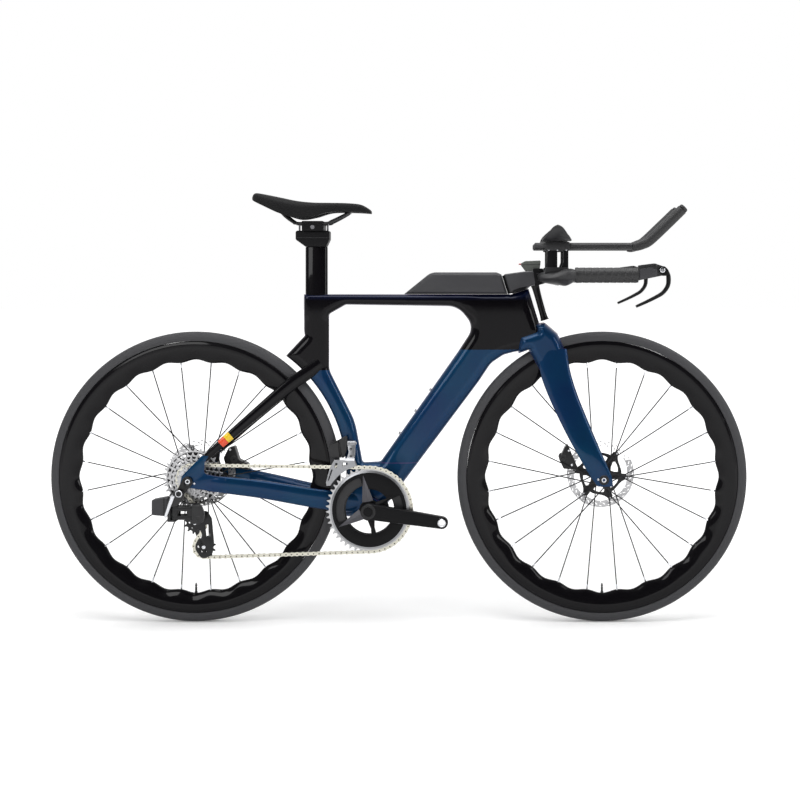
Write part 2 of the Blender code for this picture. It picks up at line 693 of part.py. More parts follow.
def make_fork():
    """Crown inside the dome, steerer tube up the head, and two blades down to the front dropouts."""
    cx, cz = CROWN_POINT.x, CROWN_POINT.z
    crown = fillet([
        (cx - 0.054, cz + 0.0010),
        (cx - 0.0240, cz - 0.0010),
        (cx - 0.0160, cz - 0.0190),
        (cx + 0.0700, cz - 0.0270),
        (cx + 0.0545, cz + 0.0180, 0.020),
        (cx + 0.0440, cz + 0.0370, 0.010),
        (cx + 0.0140, cz + 0.0640),
        (cx - 0.0060, cz + 0.0580),
        (cx - 0.054, cz + 0.0560),
    ])
    layers = [(0.011, -1.0), (0.003, -0.80), (0.0, 0.0), (0.003, 0.80), (0.011, 1.0)]
    body = plate([crown], layers, SIDE, width=lambda x, y: CROWN_HALF)
    behind = prism([(cx - 0.10, cz - 0.06), (cx + 0.012, cz - 0.06),
                    (cx - 0.033, cz + 0.09), (cx - 0.10, cz + 0.09)], -0.05, 0.05, SIDE)
    body = cut(body, combine(behind, crown_dome(0.0), "DIFFERENCE"))
    body = cut(body, prism([(0.0175, PAD_UP), (0.10, PAD_UP), (0.10, PAD_UP + 0.05),
                            (0.0175, PAD_UP + 0.05)], -0.05, 0.05, steer_side()))
    nose_room = HEAD_NOSE + 0.0032
    body = cut(body, lathe([(nose_room, HOOD_UP), (nose_room, 0.09)], 20, STEER, ring=False))
    body = cut(body, prism([(-0.06, HOOD_UP), (HOOD_BACK, HOOD_UP), (HOOD_BACK, 0.09), (-0.06, 0.09)],
                           -0.05, 0.05, steer_side()))
    reach = WHEEL_RADIUS + TYRE_ROOM
    body = cut(body, lathe([(reach, -LEG_INNER_TOP), (reach, LEG_INNER_TOP)], 60, side_at(AXLE_FRONT),
                           ring=False))
    ax, az = AXLE_FRONT.x, AXLE_FRONT.z
    drop = HUB_FRONT / 2 + DROPOUT_WALL / 2
    rows = smooth_stations([
        (cx + 0.0327, 0.0262, cz - 0.0090, 0.0330, 0.0046),
        (cx + 0.0372, 0.0272, cz - 0.0470, 0.0350, 0.0060),
        (ax - 0.0940, 0.0315, az + 0.5752 * WHEEL_RADIUS, 0.0345, 0.0066),
        (ax - 0.0640, 0.0400, az + 0.3687 * WHEEL_RADIUS, 0.0325, 0.0066),
        (ax - 0.0350, drop - 0.0035, az + 0.0640, 0.0290, 0.0058),
        (ax - 0.0085, drop, az + 0.0120, 0.0250, 0.0035),
        (ax + 0.0030, drop, az - 0.0150, 0.0180, 0.0033),
    ], 1)
    right = loft([[Vector((x + px * deep, -side - py * half, z)) for px, py in oval(1.0, 1.0, 8, 2.3)]
                  for x, side, z, deep, half in rows])
    boss = lathe([(0.0115, HUB_FRONT / 2), (0.0115, HUB_FRONT / 2 + DROPOUT_WALL + 0.001)], 16,
                 side_at(AXLE_FRONT), ring=False)
    right = union(right, boss)
    left = mirrored(right)
    low, high = MOUNT_LINE
    foot = prism([low, (ax - 0.040, az + 0.035), (ax - 0.075, az + 0.112), high], -0.0545, -0.0425, SIDE)
    body = union(body, right, union(left, foot))
    race = lathe([(BEARING_RADIUS - 0.003, 0.02), (BEARING_RADIUS - 0.003, CROWN_HEIGHT * 0.85)], 16, STEER,
                 ring=False)
    steerer = lathe([(STEERER_RADIUS, 0.02), (STEERER_RADIUS, STEM_HIGH - 0.024)], 16, STEER, ring=False)
    body = union(body, race, steerer)
    body = cut(body, axle_rod(AXLE_FRONT, 0.09, AXLE_RADIUS + GAP))
    return node("fork", body, PAINT, pivot=CROWN_POINT)


def axle_rod(centre, reach, radius):
    return rod(centre + Vector((0, -reach, 0)), centre + Vector((0, reach, 0)), radius, 14)


def make_cockpit():
    low = PAD_UP + GAP
    high = STEM_LOW - GAP
    sections = []
    for up, ahead, deep, half in ((low, 0.0345, 0.0105, 0.0085), (low + 0.010, 0.0345, 0.0085, 0.0080),
                                  ((low + high) / 2, 0.0355, 0.0080, 0.0075),
                                  (high - 0.010, 0.0368, 0.0088, 0.0080), (high, 0.0372, 0.0105, 0.0090)):
        sections.append([on_steer(ahead + x * deep, up, y * half) for x, y in oval(1, 1, 12, 2.2)])
    node("fork_brace", loft(sections), GLOSS, pivot=CROWN_POINT)

    sections = []
    for up, wide, reach in ((STEM_LOW, 0.86, 0.0735), (STEM_LOW + 0.005, 1.0, 0.0760),
                            (STEM_HIGH, 1.0, 0.0760)):
        half = 0.0200 * wide
        back = arc(0, 0, 0.0265 * wide, radians(131), radians(229), 5)
        loop = [(reach, half * 0.9), (0.0, half)] + back + [(0.0, -half), (reach, -half * 0.9)]
        sections.append([on_steer(x, up, max(-half, min(half, y))) for x, y in loop])
    body = loft(sections)
    collar = lathe([(0.0175, HEAD_UP + GAP), (0.0190, HEAD_UP + 0.0012), (0.0165, STEM_LOW + 0.001)], 16,
                   STEER, ring=False)
    body = union(body, collar)
    c, top = BAR_CENTRE, HEAD_TOP.x
    body = cut(body, prism([(top - 0.0645, BAR_Z), (top - 0.0420, BAR_Z + 0.0027),
                            (top + 0.0097, BAR_Z + 0.0098), (c.x + 0.055, BAR_Z + 0.0125),
                            (c.x + 0.055, BAR_Z + 0.091), (top - 0.0645, BAR_Z + 0.091)],
                           -0.05, 0.05, SIDE))
    bore = STEERER_RADIUS + GAP
    body = cut(body, lathe([(bore, HEAD_UP - 0.01), (bore, STEM_HIGH - 0.0235)], 16, STEER, ring=False))
    room = BAR_RADIUS + GAP
    body = cut(body, prism([(c.x - BAR_DEEP - GAP, c.z - room), (c.x + 0.055, c.z - room),
                            (c.x + 0.055, c.z + room), (c.x - BAR_DEEP - GAP, c.z + room)],
                           -0.05, 0.05, SIDE))
    node("stem", body, CARBON, pivot=CROWN_POINT)

    right = [
        (c.x, 0.0, c.z, BAR_DEEP, BAR_RADIUS),
        (c.x, 0.026, c.z, BAR_DEEP, BAR_RADIUS),
        (c.x + 0.010, 0.062, c.z - 0.002, 0.0260, BAR_RADIUS),
        (c.x + 0.026, 0.110, c.z - 0.004, 0.0265, BAR_RADIUS),
        (c.x + 0.036, 0.155, c.z - 0.001, 0.0225, 0.0130),
        (c.x + 0.046, BAR_HALF_WIDTH - 0.016, BAR_Z, 0.0165, 0.0130),
        (GRIP_START - 0.007, BAR_HALF_WIDTH, BAR_Z, BAR_RADIUS, BAR_RADIUS),
        (GRIP_END, BAR_HALF_WIDTH, BAR_Z, BAR_RADIUS, BAR_RADIUS),
    ]
    left = [(x, -side, z, deep, high) for x, side, z, deep, high in reversed(right[1:])]
    rows = left + right
    path = [(x, -side, z) for x, side, z, _, _ in rows]
    shapes = []
    for i, row in enumerate(rows):
        power = 2.0 if i < 2 or i > len(rows) - 3 else 2.4
        shapes.append([(px * row[3], py * row[4]) for px, py in oval(1, 1, 12, power)])
    node("base_bar", sweep(path, shapes), CARBON, pivot=CROWN_POINT)

    box = [(0.0116, 0.01020), (0.0446, 0.0110), (0.0476, 0.0355), (0.0111, 0.0340), (0.0016, 0.0290),
           (0.0014, 0.0240)]
    unit = prism([(top + x, BAR_Z + z) for x, z in box], -0.0125, 0.0125, SIDE)
    node("control_box", unit, PLASTIC, pivot=CROWN_POINT)


def both_sides(name, bm, finish, pivot):
    """Right-hand node and its mirrored left-hand twin."""
    flipped = mirrored(bm)
    node(name + "_right", bm, finish, pivot=pivot)
    node(name + "_left", flipped, finish, pivot=Vector((pivot[0], -pivot[1], pivot[2])))


def make_levers():
    length = GRIP_END - GRIP_START
    inner = BAR_RADIUS + GAP
    along = Matrix.Translation((GRIP_START, -BAR_HALF_WIDTH, BAR_Z)) @ Matrix.Rotation(pi / 2, 4, "Y")
    tape = lathe([(inner, 0.0), (TAPE_RADIUS - 0.001, 0.0), (TAPE_RADIUS, 0.003),
                  (TAPE_RADIUS, length), (inner, length)], 12, along, phase=pi / 12)
    both_sides("grip_tape", tape, RUBBER, CROWN_POINT)

    px, pz = LEVER_PIVOT.x, LEVER_PIVOT.z
    start = GRIP_END + GAP
    here = side_at(Vector((0, -BAR_HALF_WIDTH, 0)))
    outline = fillet([
        (start, BAR_Z - 0.0115), (px + 0.0020, pz - 0.0125, 0.006), (px + 0.0095, pz - 0.0060, 0.006),
        (px + 0.0050, pz + 0.0080, 0.008), (px - 0.0170, pz + 0.0150, 0.020), (start, BAR_Z + 0.0215)],
        step=radians(40))
    body = plate([outline], [(0.003, -0.0125), (0.0, -0.0095), (0.0, 0.0095), (0.003, 0.0125)], here)
    for side in (-1, 1):
        trim = [(px - 0.0115, pz - 0.05), (px + 0.05, pz - 0.05), (px + 0.05, pz + 0.05),
                (px - 0.0115, pz + 0.05)]
        body = cut(body, prism(trim, min(side * 0.0055, side * 0.05), max(side * 0.0055, side * 0.05), here))
    body = union(body, lathe([(0.0034, -0.0093), (0.0034, 0.0093)], 8, side_at(LEVER_PIVOT), ring=False))
    both_sides("brake_lever_body", body, PLASTIC, CROWN_POINT)

    centre = side_at(LEVER_PIVOT)
    blade = None
    for low in (-0.0094, 0.0058):
        cheek = plate([circle(0.0085, 10), circle(0.0034 + GAP, 8)], [(0, low), (0, low + 0.0036)], centre)
        blade = join(blade, cheek) if blade else cheek
    rows = smooth_stations([
        (0.0100, 0.0000, 0.0090, 0.0030),
        (0.0140, -0.0160, 0.0088, 0.0050),
        (0.0125, -0.0330, 0.0083, 0.0048),
        (0.0020, -0.0490, 0.0080, 0.0044),
        (-0.0140, -0.0590, 0.0078, 0.0040),
        (-0.0330, -0.0685, 0.0075, 0.0036),
        (-0.0560, -0.0790, 0.0070, 0.0030)], 1)
    path = [LEVER_PIVOT + Vector((x, 0, z)) for x, z, _, _ in rows]
    shapes = [[(sx * t, sy * w) for sx, sy in oval(1, 1, 6, 2.2)] for _, _, w, t in rows]
    finger = sweep(path, shapes, up=Vector((0, 1, 0)))
    neck = prism([(0.0, -0.0080), (0.0135, -0.0120), (0.0125, 0.0010), (0.0078, 0.0030)], -0.0093, 0.0093,
                 centre)
    slot = prism([(-0.02, -0.02), (0.0102, -0.02), (0.0102, 0.02), (-0.02, 0.02)], -0.0058, 0.0058, centre)
    lever = cut(union(blade, neck, finger), slot)
    both_sides("brake_lever", lever, ALLOY, LEVER_PIVOT)


def make_arm_rests():
    """Extensions, their clamps on the base bar, forearm cups and pads."""
    def tube(points, half_high, half_wide, count=10):
        rows = smooth_stations(points, 2)
        path = [(x, -EXT_Y, z) for x, z, _ in rows]
        shape = oval(1, 1, count, 2.2)
        return sweep(path, [[(sx * half_wide * k, sy * half_high * k) for sx, sy in shape]
                            for _, _, k in rows])

    x0 = BAR_CENTRE.x
    extension = sweep([(EXT_END - EXT_LENGTH, -EXT_Y, EXT_Z), (EXT_END, -EXT_Y, EXT_Z)],
                      [oval(EXT_HALF_WIDTH, EXT_HALF_HEIGHT, 12, 2.2)] * 2)
    both_sides("extension", extension, CARBON, CROWN_POINT)
    grip = tube([(EXT_END + 0.0010, EXT_Z, 0.90), (EXT_END + 0.0103, EXT_Z, 1.0),
                 (EXT_END + 0.0253, EXT_Z + 0.0050, 1.0), (EXT_END + 0.0423, EXT_Z + 0.0143, 1.0),
                 (EXT_BEND.x, EXT_BEND.z, 1.0), (EXT_TIP.x, EXT_TIP.z, 0.98)], GRIP_HALF, GRIP_HALF)
    both_sides("extension_grip", grip, RUBBER, CROWN_POINT)

    out = (EXT_TIP - EXT_BEND).normalized()
    rest = EXT_TIP + out * (GAP + BUTTON_TRAVEL)
    sections = []
    across = Vector((0, -1, 0))
    rise = across.cross(out)
    for along, k in ((0.0, 0.92), (0.0050, 0.92), (0.0075, 0.70)):
        sections.append([rest + out * along + across * (x * 0.0112 * k) + rise * (y * 0.0112 * k)
                         for x, y in oval(1, 1, 10, 2.2)])
    both_sides("shift_button", loft(sections), RED, rest)

    base_z = BAR_CENTRE.z + BAR_RADIUS + GAP
    here = side_at(Vector((0, -EXT_Y, 0)))
    shelf_z, low, high = BAR_Z + 0.0192, BAR_Z + 0.0150, EXT_Z - 0.0045
    shelf = prism(fillet([(x0 - 0.0060, base_z), (x0 + 0.0450, base_z), (x0 + 0.0500, shelf_z, 0.002),
                          (x0 - 0.0040, shelf_z, 0.002)]), -0.0130, 0.0130, here)
    rear = prism([(x0 - 0.0008, low), (x0 + 0.0229, low), (x0 + 0.0229, high), (x0 - 0.0008, high)],
                 -0.0110, 0.0110, here)
    front = prism([(x0 + 0.0309, low), (x0 + 0.0482, low), (x0 + 0.0482, high), (x0 + 0.0367, high),
                   (x0 + 0.0367, low + 0.014)], -0.0110, 0.0110, here)
    clamp = plate([fillet([(x0 - 0.0050, EXT_Z - 0.0110), (x0 + 0.0510, EXT_Z - 0.0110),
                           (x0 + 0.0510, EXT_Z + 0.0097, 0.003), (x0 - 0.0050, EXT_Z + 0.0097, 0.003)])],
                  [(0.001, -0.0140), (0.0, -0.0128), (0.0, 0.0128), (0.001, 0.0140)], here)
    riser = union(shelf, rear, front, clamp)
    bore = sweep([(x0 - 0.045, -EXT_Y, EXT_Z), (x0 + 0.085, -EXT_Y, EXT_Z)],
                 [oval(EXT_HALF_WIDTH + GAP, EXT_HALF_HEIGHT + GAP, 12, 2.2)] * 2)
    riser = cut(riser, bore)
    bar_room = sweep([(x, -side, z) for x, side, z in ARM_BAR],
                     [oval(0.0285, BAR_RADIUS + GAP, 12, 2.4)] * 2)
    riser = cut(riser, bar_room)
    both_sides("arm_riser", riser, CARBON, CROWN_POINT)

    axis = Vector((x0 + 0.0210, -EXT_Y - 0.0280, EXT_Z + 0.0635))
    inner, outer = radians(-48), radians(68)

    def across_cup(count, build):
        sections = []
        for k in range(count + 1):
            t = k / count
            angle = inner + (outer - inner) * t
            edge = max(0.0, abs(2 * t - 0.90) - 0.35) / 0.75
            half = 0.0330 * (1 - 0.62 * min(1.0, edge) ** 2.2)
            down = Vector((0, -sin(angle), -cos(angle)))
            sections.append(build(down, half, t))
        return loft(sections)

    def cup_section(down, half, t):
        return [axis + down * r + Vector((x, 0, 0)) for x, r in
                ((-half, CUP_RADIUS), (half, CUP_RADIUS), (half, CUP_RADIUS - CUP_WALL),
                 (-half, CUP_RADIUS - CUP_WALL))]

    both_sides("arm_cup", across_cup(12, cup_section), CARBON, CROWN_POINT)

    def pad_section(down, half, t):
        edge = min(1.0, 5.0 * min(t, 1 - t) + 0.18)
        outer_r = CUP_RADIUS - CUP_WALL - GAP
        thick = PAD_THICK * edge ** 0.5
        wide = half - 0.002
        loop = [(-wide, outer_r), (wide, outer_r), (wide + 0.001, outer_r - 0.35 * thick),
                (wide - 0.003, outer_r - 0.85 * thick), (wide * 0.55, outer_r - thick),
                (0, outer_r - thick * 1.06),
                (-wide * 0.55, outer_r - thick), (-wide + 0.003, outer_r - 0.85 * thick),
                (-wide - 0.001, outer_r - 0.35 * thick)]
        return [axis + down * r + Vector((x, 0, 0)) for x, r in loop]

    both_sides("arm_pad", across_cup(12, pad_section), COVER, CROWN_POINT)


# Seat
def make_seat():
    shape = oval(POST_DEPTH / 2, POST_WIDTH / 2, 16, 2.6)
    x0 = SEAT_TUBE_X
    rows = [(TOP_TUBE_Z - POST_INSERTED, 1.0), (POST_TOP, 1.0)]
    post = loft([[Vector((x0 + x * k, y * k, z)) for x, y in shape] for z, k in rows])
    base = (x0, 0, TOP_TUBE_Z)
    node("seatpost", post, CARBON, pivot=base)

    head_low, head_side, head_top = POST_TOP + GAP, POST_TOP + 0.0172, POST_TOP + 0.0381
    head = plate([fillet([(x0 - 0.0240, head_low), (x0 + 0.0240, head_low), (x0 + 0.0317, head_side, 0.006),
                          (x0 + 0.0317, head_top, 0.004), (x0 - 0.0474, head_top, 0.004),
                          (x0 - 0.0474, head_side, 0.006)])],
                 [(0.002, -0.0150), (0.0, -0.0125), (0.0, 0.0125), (0.002, 0.0150)], SIDE)
    low, high = head_top - 0.0011, head_top + 0.0219
    cradle = prism(fillet([(x0 - 0.0310, low), (x0 + 0.0190, low), (x0 + 0.0190, high, 0.004),
                           (x0 - 0.0310, high, 0.004)]), -0.0270, 0.0270, SIDE)
    clamp = union(head, cradle)
    rail_z = POST_TOP + RAIL_RISE
    for side in (-1, 1):
        y = side * RAIL_SPACING / 2
        clamp = cut(clamp, rod((x0 + 0.06, y, rail_z), (x0 - 0.08, y, rail_z), RAIL_RADIUS * 1.06 + GAP, 10))
    node("saddle_clamp", clamp, ALLOY, pivot=base)

    # ahead of the post, wider than the clamp, above the rails
    bends = [(-0.1080, 0.004, 0.0214), (-0.0690, 0.002, 0.0144), (-0.0520, 0.0, 0.0034),
             (-0.0410, 0.0, 0.0), (0.0230, 0.0, 0.0), (0.0370, -0.001, 0.0044), (0.0630, -0.006, 0.0164),
             (0.0780, -0.012, 0.0194)]
    side_path = [(x0 + x, RAIL_SPACING / 2 + y, rail_z + z) for x, y, z in bends]
    path = side_path + [(x, -y, z) for x, y, z in reversed(side_path)]
    rails = sweep(path, [[(x * RAIL_RADIUS, y * RAIL_RADIUS) for x, y in oval(1, 1, 8, 2)]] * len(path))
    node("saddle_rails", rails, STEEL, pivot=base)

    # Shares of the length, half width and rise: station, width, top, lowest edge, from the tail to the nose
    shares = [
        (0.0000, 0.6107, 0.8914, 0.7629),
        (0.0295, 0.8550, 0.9886, 0.6914),
        (0.1144, 0.9847, 0.9414, 0.5343),
        (0.2435, 1.0000, 0.8414, 0.3057),
        (0.3764, 0.8550, 0.7386, 0.1629),
        (0.5092, 0.6565, 0.6914, 0.2200),
        (0.6494, 0.5038, 0.6857, 0.3629),
        (0.7970, 0.4351, 0.6771, 0.3771),
        (0.9151, 0.4046, 0.6271, 0.3629),
        (0.9815, 0.3282, 0.4914, 0.3414),
        (1.0000, 0.2290, 0.4200, 0.3343)]
    profile = [(x0 - SADDLE_SETBACK + SADDLE_LENGTH * t, SADDLE_WIDTH / 2 * w, rail_z + SADDLE_RISE * top,
                rail_z + SADDLE_RISE * low) for t, w, top, low in shares]

    def cap_curve(w, top, low):
        span = top - low
        half_line = [(0.97 * w, low), (w, low + 0.40 * span), (0.95 * w, low + 0.76 * span),
                     (0.76 * w, low + 0.955 * span), (0.40 * w, top)]
        return half_line + [(0.0, top - 0.0012)] + [(-y, z) for y, z in reversed(half_line)]

    def offset(points, distance):
        moved = []
        last = len(points) - 1
        for k, (y, z) in enumerate(points):
            y0, z0 = points[max(k - 1, 0)]
            y1, z1 = points[min(k + 1, last)]
            way = Vector((y1 - y0, z1 - z0)).normalized()
            moved.append((y - way.y * distance, z + way.x * distance if 0 < k < last else z))
        return moved

    def layer(start, thickness):
        sections = []
        for x, w, top, low in profile:
            scale = min(1.0, w / 0.030, (top - low) / 0.020)
            curve = cap_curve(w, top, low)
            near = offset(curve, start * scale + (SADDLE_SKIN_GAP if start else 0))
            far = offset(curve, (start + thickness) * scale + (SADDLE_SKIN_GAP if start else 0))
            loop = near + far[::-1]
            sections.append([Vector((x, y, z)) for y, z in loop])
        return loft(sections)

    node("saddle_padding", layer(0.0, SADDLE_PADDING), COVER, pivot=base)
    node("saddle_shell", layer(SADDLE_PADDING, SADDLE_SHELL), CARBON, pivot=base)


# Wheels
def make_wheel(which, axle, half_hub, hub_profile, rotor_side):
    """Tyre, wavy rim with its valve, hub with crossed spokes, and brake rotor."""
    here = side_at(axle)
    half = TYRE_WIDTH / 2
    turns = 2 * WAVES
    tyre_line = [(RIM_RADIUS + GAP, 0.0108), (RIM_RADIUS + 0.0085, half), (WHEEL_RADIUS, half * 0.38)]
    tyre_line += [(r, -h) for r, h in reversed(tyre_line)]
    node(which + "_tyre", lathe(tyre_line, turns, here), RUBBER, pivot=axle)

    wide = RIM_WIDTH / 2
    line = [(RIM_RADIUS, wide * 0.88), (RIM_RADIUS - 0.014, wide), (RIM_INNER, wide * 0.28)]
    line += [(r, -h) for r, h in reversed(line)]
    share = {2: 1.0, 3: 1.0}

    def wave(index, r, angle):
        return r - RIM_WAVE * share.get(index, 0.0) * cos(WAVES * (angle - pi / WAVES))

    rim = lathe(line, turns, here, radius_at=wave)
    valve = lathe([(0.0030, 0.0), (0.0030, VALVE_LENGTH - 0.008), (0.0022, VALVE_LENGTH - 0.006),
                   (0.0022, VALVE_LENGTH)], 8,
                  Matrix.Translation(axle + Vector((0, 0, -RIM_INNER - 0.010))), ring=False)
    rim = union(rim, valve)
    node(which + "_rim", rim, GLOSS, pivot=axle)

    hub = lathe([(AXLE_RADIUS + 0.0007, -half_hub)] + hub_profile + [(AXLE_RADIUS + 0.0007, half_hub)],
                12, here)
    flanges = [(r, h) for r, h in hub_profile if r > 0.0190]
    right = [p for p in flanges if p[1] > 0]
    left = [p for p in flanges if p[1] < 0]
    spokes = None
    for k in range(SPOKES):
        angle = 2 * pi * (k + 0.5) / SPOKES
        side = right if k % 2 else left
        leading = 1 if (k // 2) % 2 else -1
        middle = sum(h for _, h in side) / len(side)
        flange = side[0][0]
        at = angle + leading * SPOKE_LEAN
        inner = Vector((cos(at) * (flange - 0.004), sin(at) * (flange - 0.004), middle + leading * 0.0013))
        outer_r = RIM_INNER - RIM_WAVE - GAP - 0.0002
        outer = Vector((cos(angle) * outer_r, sin(angle) * outer_r, 0.0022 * (1 if k % 2 else -1)))
        way = (outer - inner).normalized()
        across = Vector((0, 0, 1)).cross(way).normalized()
        out = way.cross(across)
        section = [(0.0014, 0), (-0.0012, 0.0006), (-0.0012, -0.0006)]
        blade = loft([[here @ (p + across * a + out * b) for a, b in section] for p in (inner, outer)])
        spokes = join(spokes, blade) if spokes else blade
    node(which + "_hub_spokes", union(hub, spokes), ALLOY, pivot=axle)

    windows = []
    for k in range(6):
        start = 2 * pi * (k + 0.14) / 6
        end = 2 * pi * (k + 0.86) / 6
        windows.append(arc(0, 0, 0.0590, start, end, 3) + arc(0, 0, 0.0300, end - 0.16, start + 0.16, 1))
    rotor = plate([circle(ROTOR_RADIUS, 30), circle(0.0153, 12)] + windows,
                  [(0, rotor_side - ROTOR_HALF), (0, rotor_side + ROTOR_HALF)], here)
    node(which + "_rotor", rotor, STEEL, pivot=axle)


def make_wheels():
    half = HUB_FRONT / 2 - GAP
    rotor = ROTOR_SIDE_FRONT
    front = [(0.0095, -half), (0.0095, rotor - MOUNT_HALF), (0.0148, rotor - MOUNT_HALF),
             (0.0148, rotor + MOUNT_HALF), (0.0200, -0.0300), (0.0200, -0.0250), (0.0115, -0.0200),
             (0.0115, 0.0280), (0.0195, 0.0310), (0.0195, 0.0360), (0.0110, 0.0380), (0.0095, half)]
    make_wheel("front", AXLE_FRONT, half, front, rotor)
    half = HUB_REAR / 2 - GAP
    rotor = ROTOR_SIDE_REAR
    rear = [(0.0100, -half), (0.0100, rotor - MOUNT_HALF), (0.0148, rotor - MOUNT_HALF),
            (0.0148, rotor + MOUNT_HALF), (0.0215, -0.0390), (0.0215, -0.0340), (0.0125, -0.0280),
            (0.0125, 0.0120), (0.0225, 0.0150), (0.0225, 0.0200), (HUB_BODY, 0.0215),
            (HUB_BODY, 0.0690), (0.0090, 0.0692), (0.0090, half)]
    make_wheel("rear", AXLE_REAR, half, rear, rotor)
    for which, axle, width in (("front", AXLE_FRONT, HUB_FRONT), ("rear", AXLE_REAR, HUB_REAR)):
        reach = width / 2 + DROPOUT_WALL - 0.001
        bar = axle_rod(axle, reach, AXLE_RADIUS)
        node(which + "_thru_axle", bar, ALLOY,
             pivot=CROWN_POINT if which == "front" else None)


# Brake calipers
def make_calipers():
    ax, az = AXLE_REAR.x, AXLE_REAR.z
    rise = (0.0070 - 0.0150) / 0.061        # slope of the mounting pad on the chainstay

    def on_pad(dx):
        return az + 0.0150 + rise * (dx - 0.057) + GAP * 1.2

    outline = fillet([(ax + 0.060, on_pad(0.060)), (ax + 0.114, on_pad(0.114)),
                      (ax + 0.112, az + 0.022, 0.004), (ax + 0.090, az + 0.032, 0.006),
                      (ax + 0.0800, az + 0.0645, 0.004),
                      (ax + 0.0655, az + 0.0600, 0.004), (ax + 0.054, az + 0.036, 0.004)])
    caliper(outline, AXLE_REAR, ROTOR_SIDE_REAR, "rear_brake_caliper", None)
    ax, az = AXLE_FRONT.x, AXLE_FRONT.z
    (x0, z0), (x1, z1) = MOUNT_LINE
    lean = (x1 - x0) / (z1 - z0)

    def on_leg(dz):
        return (x0 + lean * (az + dz - z0) - GAP * 1.4, az + dz)

    outline = fillet([on_leg(0.011), on_leg(0.070), (ax - 0.0850, az + 0.0640, 0.003),
                      (ax - 0.0985, az + 0.0340, 0.004), (ax - 0.0880, az + 0.0130, 0.003)])
    caliper(outline, AXLE_FRONT, ROTOR_SIDE_FRONT, "front_brake_caliper", CROWN_POINT)


def caliper(outline, axle, rotor_side, name, pivot):
    body = plate([outline], [(0.0015, rotor_side - 0.0125), (0.0, rotor_side - 0.0110),
                             (0.0, rotor_side + 0.0110), (0.0015, rotor_side + 0.0125)], SIDE)
    reach, slot = ROTOR_RADIUS + 0.0030, ROTOR_HALF + 0.0010
    room = lathe([(reach, rotor_side - slot), (reach, rotor_side + slot)], 40, side_at(axle), ring=False)
    node(name, cut(body, room), ALLOY, pivot=pivot)


# Drive
def pitch_radius(teeth):
    return PITCH / (2 * sin(pi / teeth))


def gear(teeth, phase=0.0, floor_half=0.0, tip=TOOTH_TIP, root=TOOTH_ROOT):
    """Toothed outline. The phase is the angle of a valley. floor_half widens the valley for a roller."""
    r = pitch_radius(teeth)
    low = r - root
    high = r + tip
    points = []
    for k in range(teeth):
        a = phase + 2 * pi * k / teeth
        if floor_half:
            d = floor_half / low
            points += [(low * cos(a - d), low * sin(a - d)), (low * cos(a + d), low * sin(a + d))]
        else:
            points.append((low * cos(a), low * sin(a)))
        b = a + pi / teeth
        points.append((high * cos(b), high * sin(b)))
    return points


# Chain path: pins are stepped along lines and arcs seen from the drive side
def tangent(c1, r1, c2, r2, turn1, turn2):
    """Ends of the straight line that leaves circle 1 and joins circle 2. A turn of 1 is anticlockwise."""
    d = c2 - c1
    length = d.length
    base = atan2(d.y, d.x)
    s1, s2 = turn1 * r1, turn2 * r2
    lean = asin((s1 - s2) / length)
    way = base + lean
    normal = Vector((sin(way), -cos(way)))
    return c1 + normal * s1, c2 + normal * s2


def chain_segments(tension):
    wheels = [
        (Vector((BB.x, BB.z)), pitch_radius(RING_TEETH), 1),
        (Vector((AXLE_REAR.x, AXLE_REAR.z)), pitch_radius(COG_IN_USE), 1),
        (GUIDE, pitch_radius(PULLEY_TEETH), -1),
        (tension, pitch_radius(PULLEY_TEETH), 1),
    ]
    joins = []
    for k in range(4):
        c1, r1, t1 = wheels[k]
        c2, r2, t2 = wheels[(k + 1) % 4]
        joins.append(tangent(c1, r1, c2, r2, t1, t2))
    segments = []
    for k in range(4):
        leave, meet = joins[k]
        segments.append(("line", leave, meet, (meet - leave).length))
        c, r, turn = wheels[(k + 1) % 4]
        out = joins[(k + 1) % 4][0]
        a0 = atan2(meet.y - c.y, meet.x - c.x)
        a1 = atan2(out.y - c.y, out.x - c.x)
        sweep_angle = (a1 - a0) * turn % (2 * pi)
        segments.append(("arc", c, r, a0, turn, r * sweep_angle))
    return segments


def along_path(segments, s):
    total = sum(seg[-1] for seg in segments)
    s %= total
    for seg in segments:
        if s <= seg[-1]:
            if seg[0] == "line":
                return seg[1] + (seg[2] - seg[1]) * (s / seg[3])
            _, c, r, a0, turn, _ = seg
            a = a0 + turn * s / r
            return c + Vector((cos(a), sin(a))) * r
        s -= seg[-1]
    return along_path(segments, 0.0)


def step_pins(tension, count):
    """Pins one pitch apart, and how far the last lies from closing the loop."""
    segments = chain_segments(tension)
    s = 0.0
    pins = [along_path(segments, 0.0)]
    for _ in range(count):
        low, high = s + 0.8 * PITCH, s + 1.2 * PITCH
        for _ in range(30):
            mid = (low + high) / 2
            if (along_path(segments, mid) - pins[-1]).length < PITCH:
                low = mid
            else:
                high = mid
        s = low
        pins.append(along_path(segments, s))
    total = sum(seg[-1] for seg in segments)
    return pins[:count], s - total


def swung(angle):
    """Tension pulley centre with the cage turned forward about its pivot."""
    return CAGE_PIVOT + Matrix.Rotation(angle, 2) @ (TENSION - CAGE_PIVOT)


def fit_chain():
    segments = chain_segments(TENSION)
    length = sum(seg[-1] for seg in segments)
    count = 2 * round(length / PITCH / 2)
    low, high = radians(-25), radians(25)
    low_gap = step_pins(swung(low), count)[1]
    for _ in range(26):
        mid = (low + high) / 2
        gap = step_pins(swung(mid), count)[1]
        if gap * low_gap > 0:
            low = mid
        else:
            high = mid
    return low, step_pins(swung(low), count)[0]


CAGE_TURN, PINS = fit_chain()
TENSION_NOW = swung(CAGE_TURN)


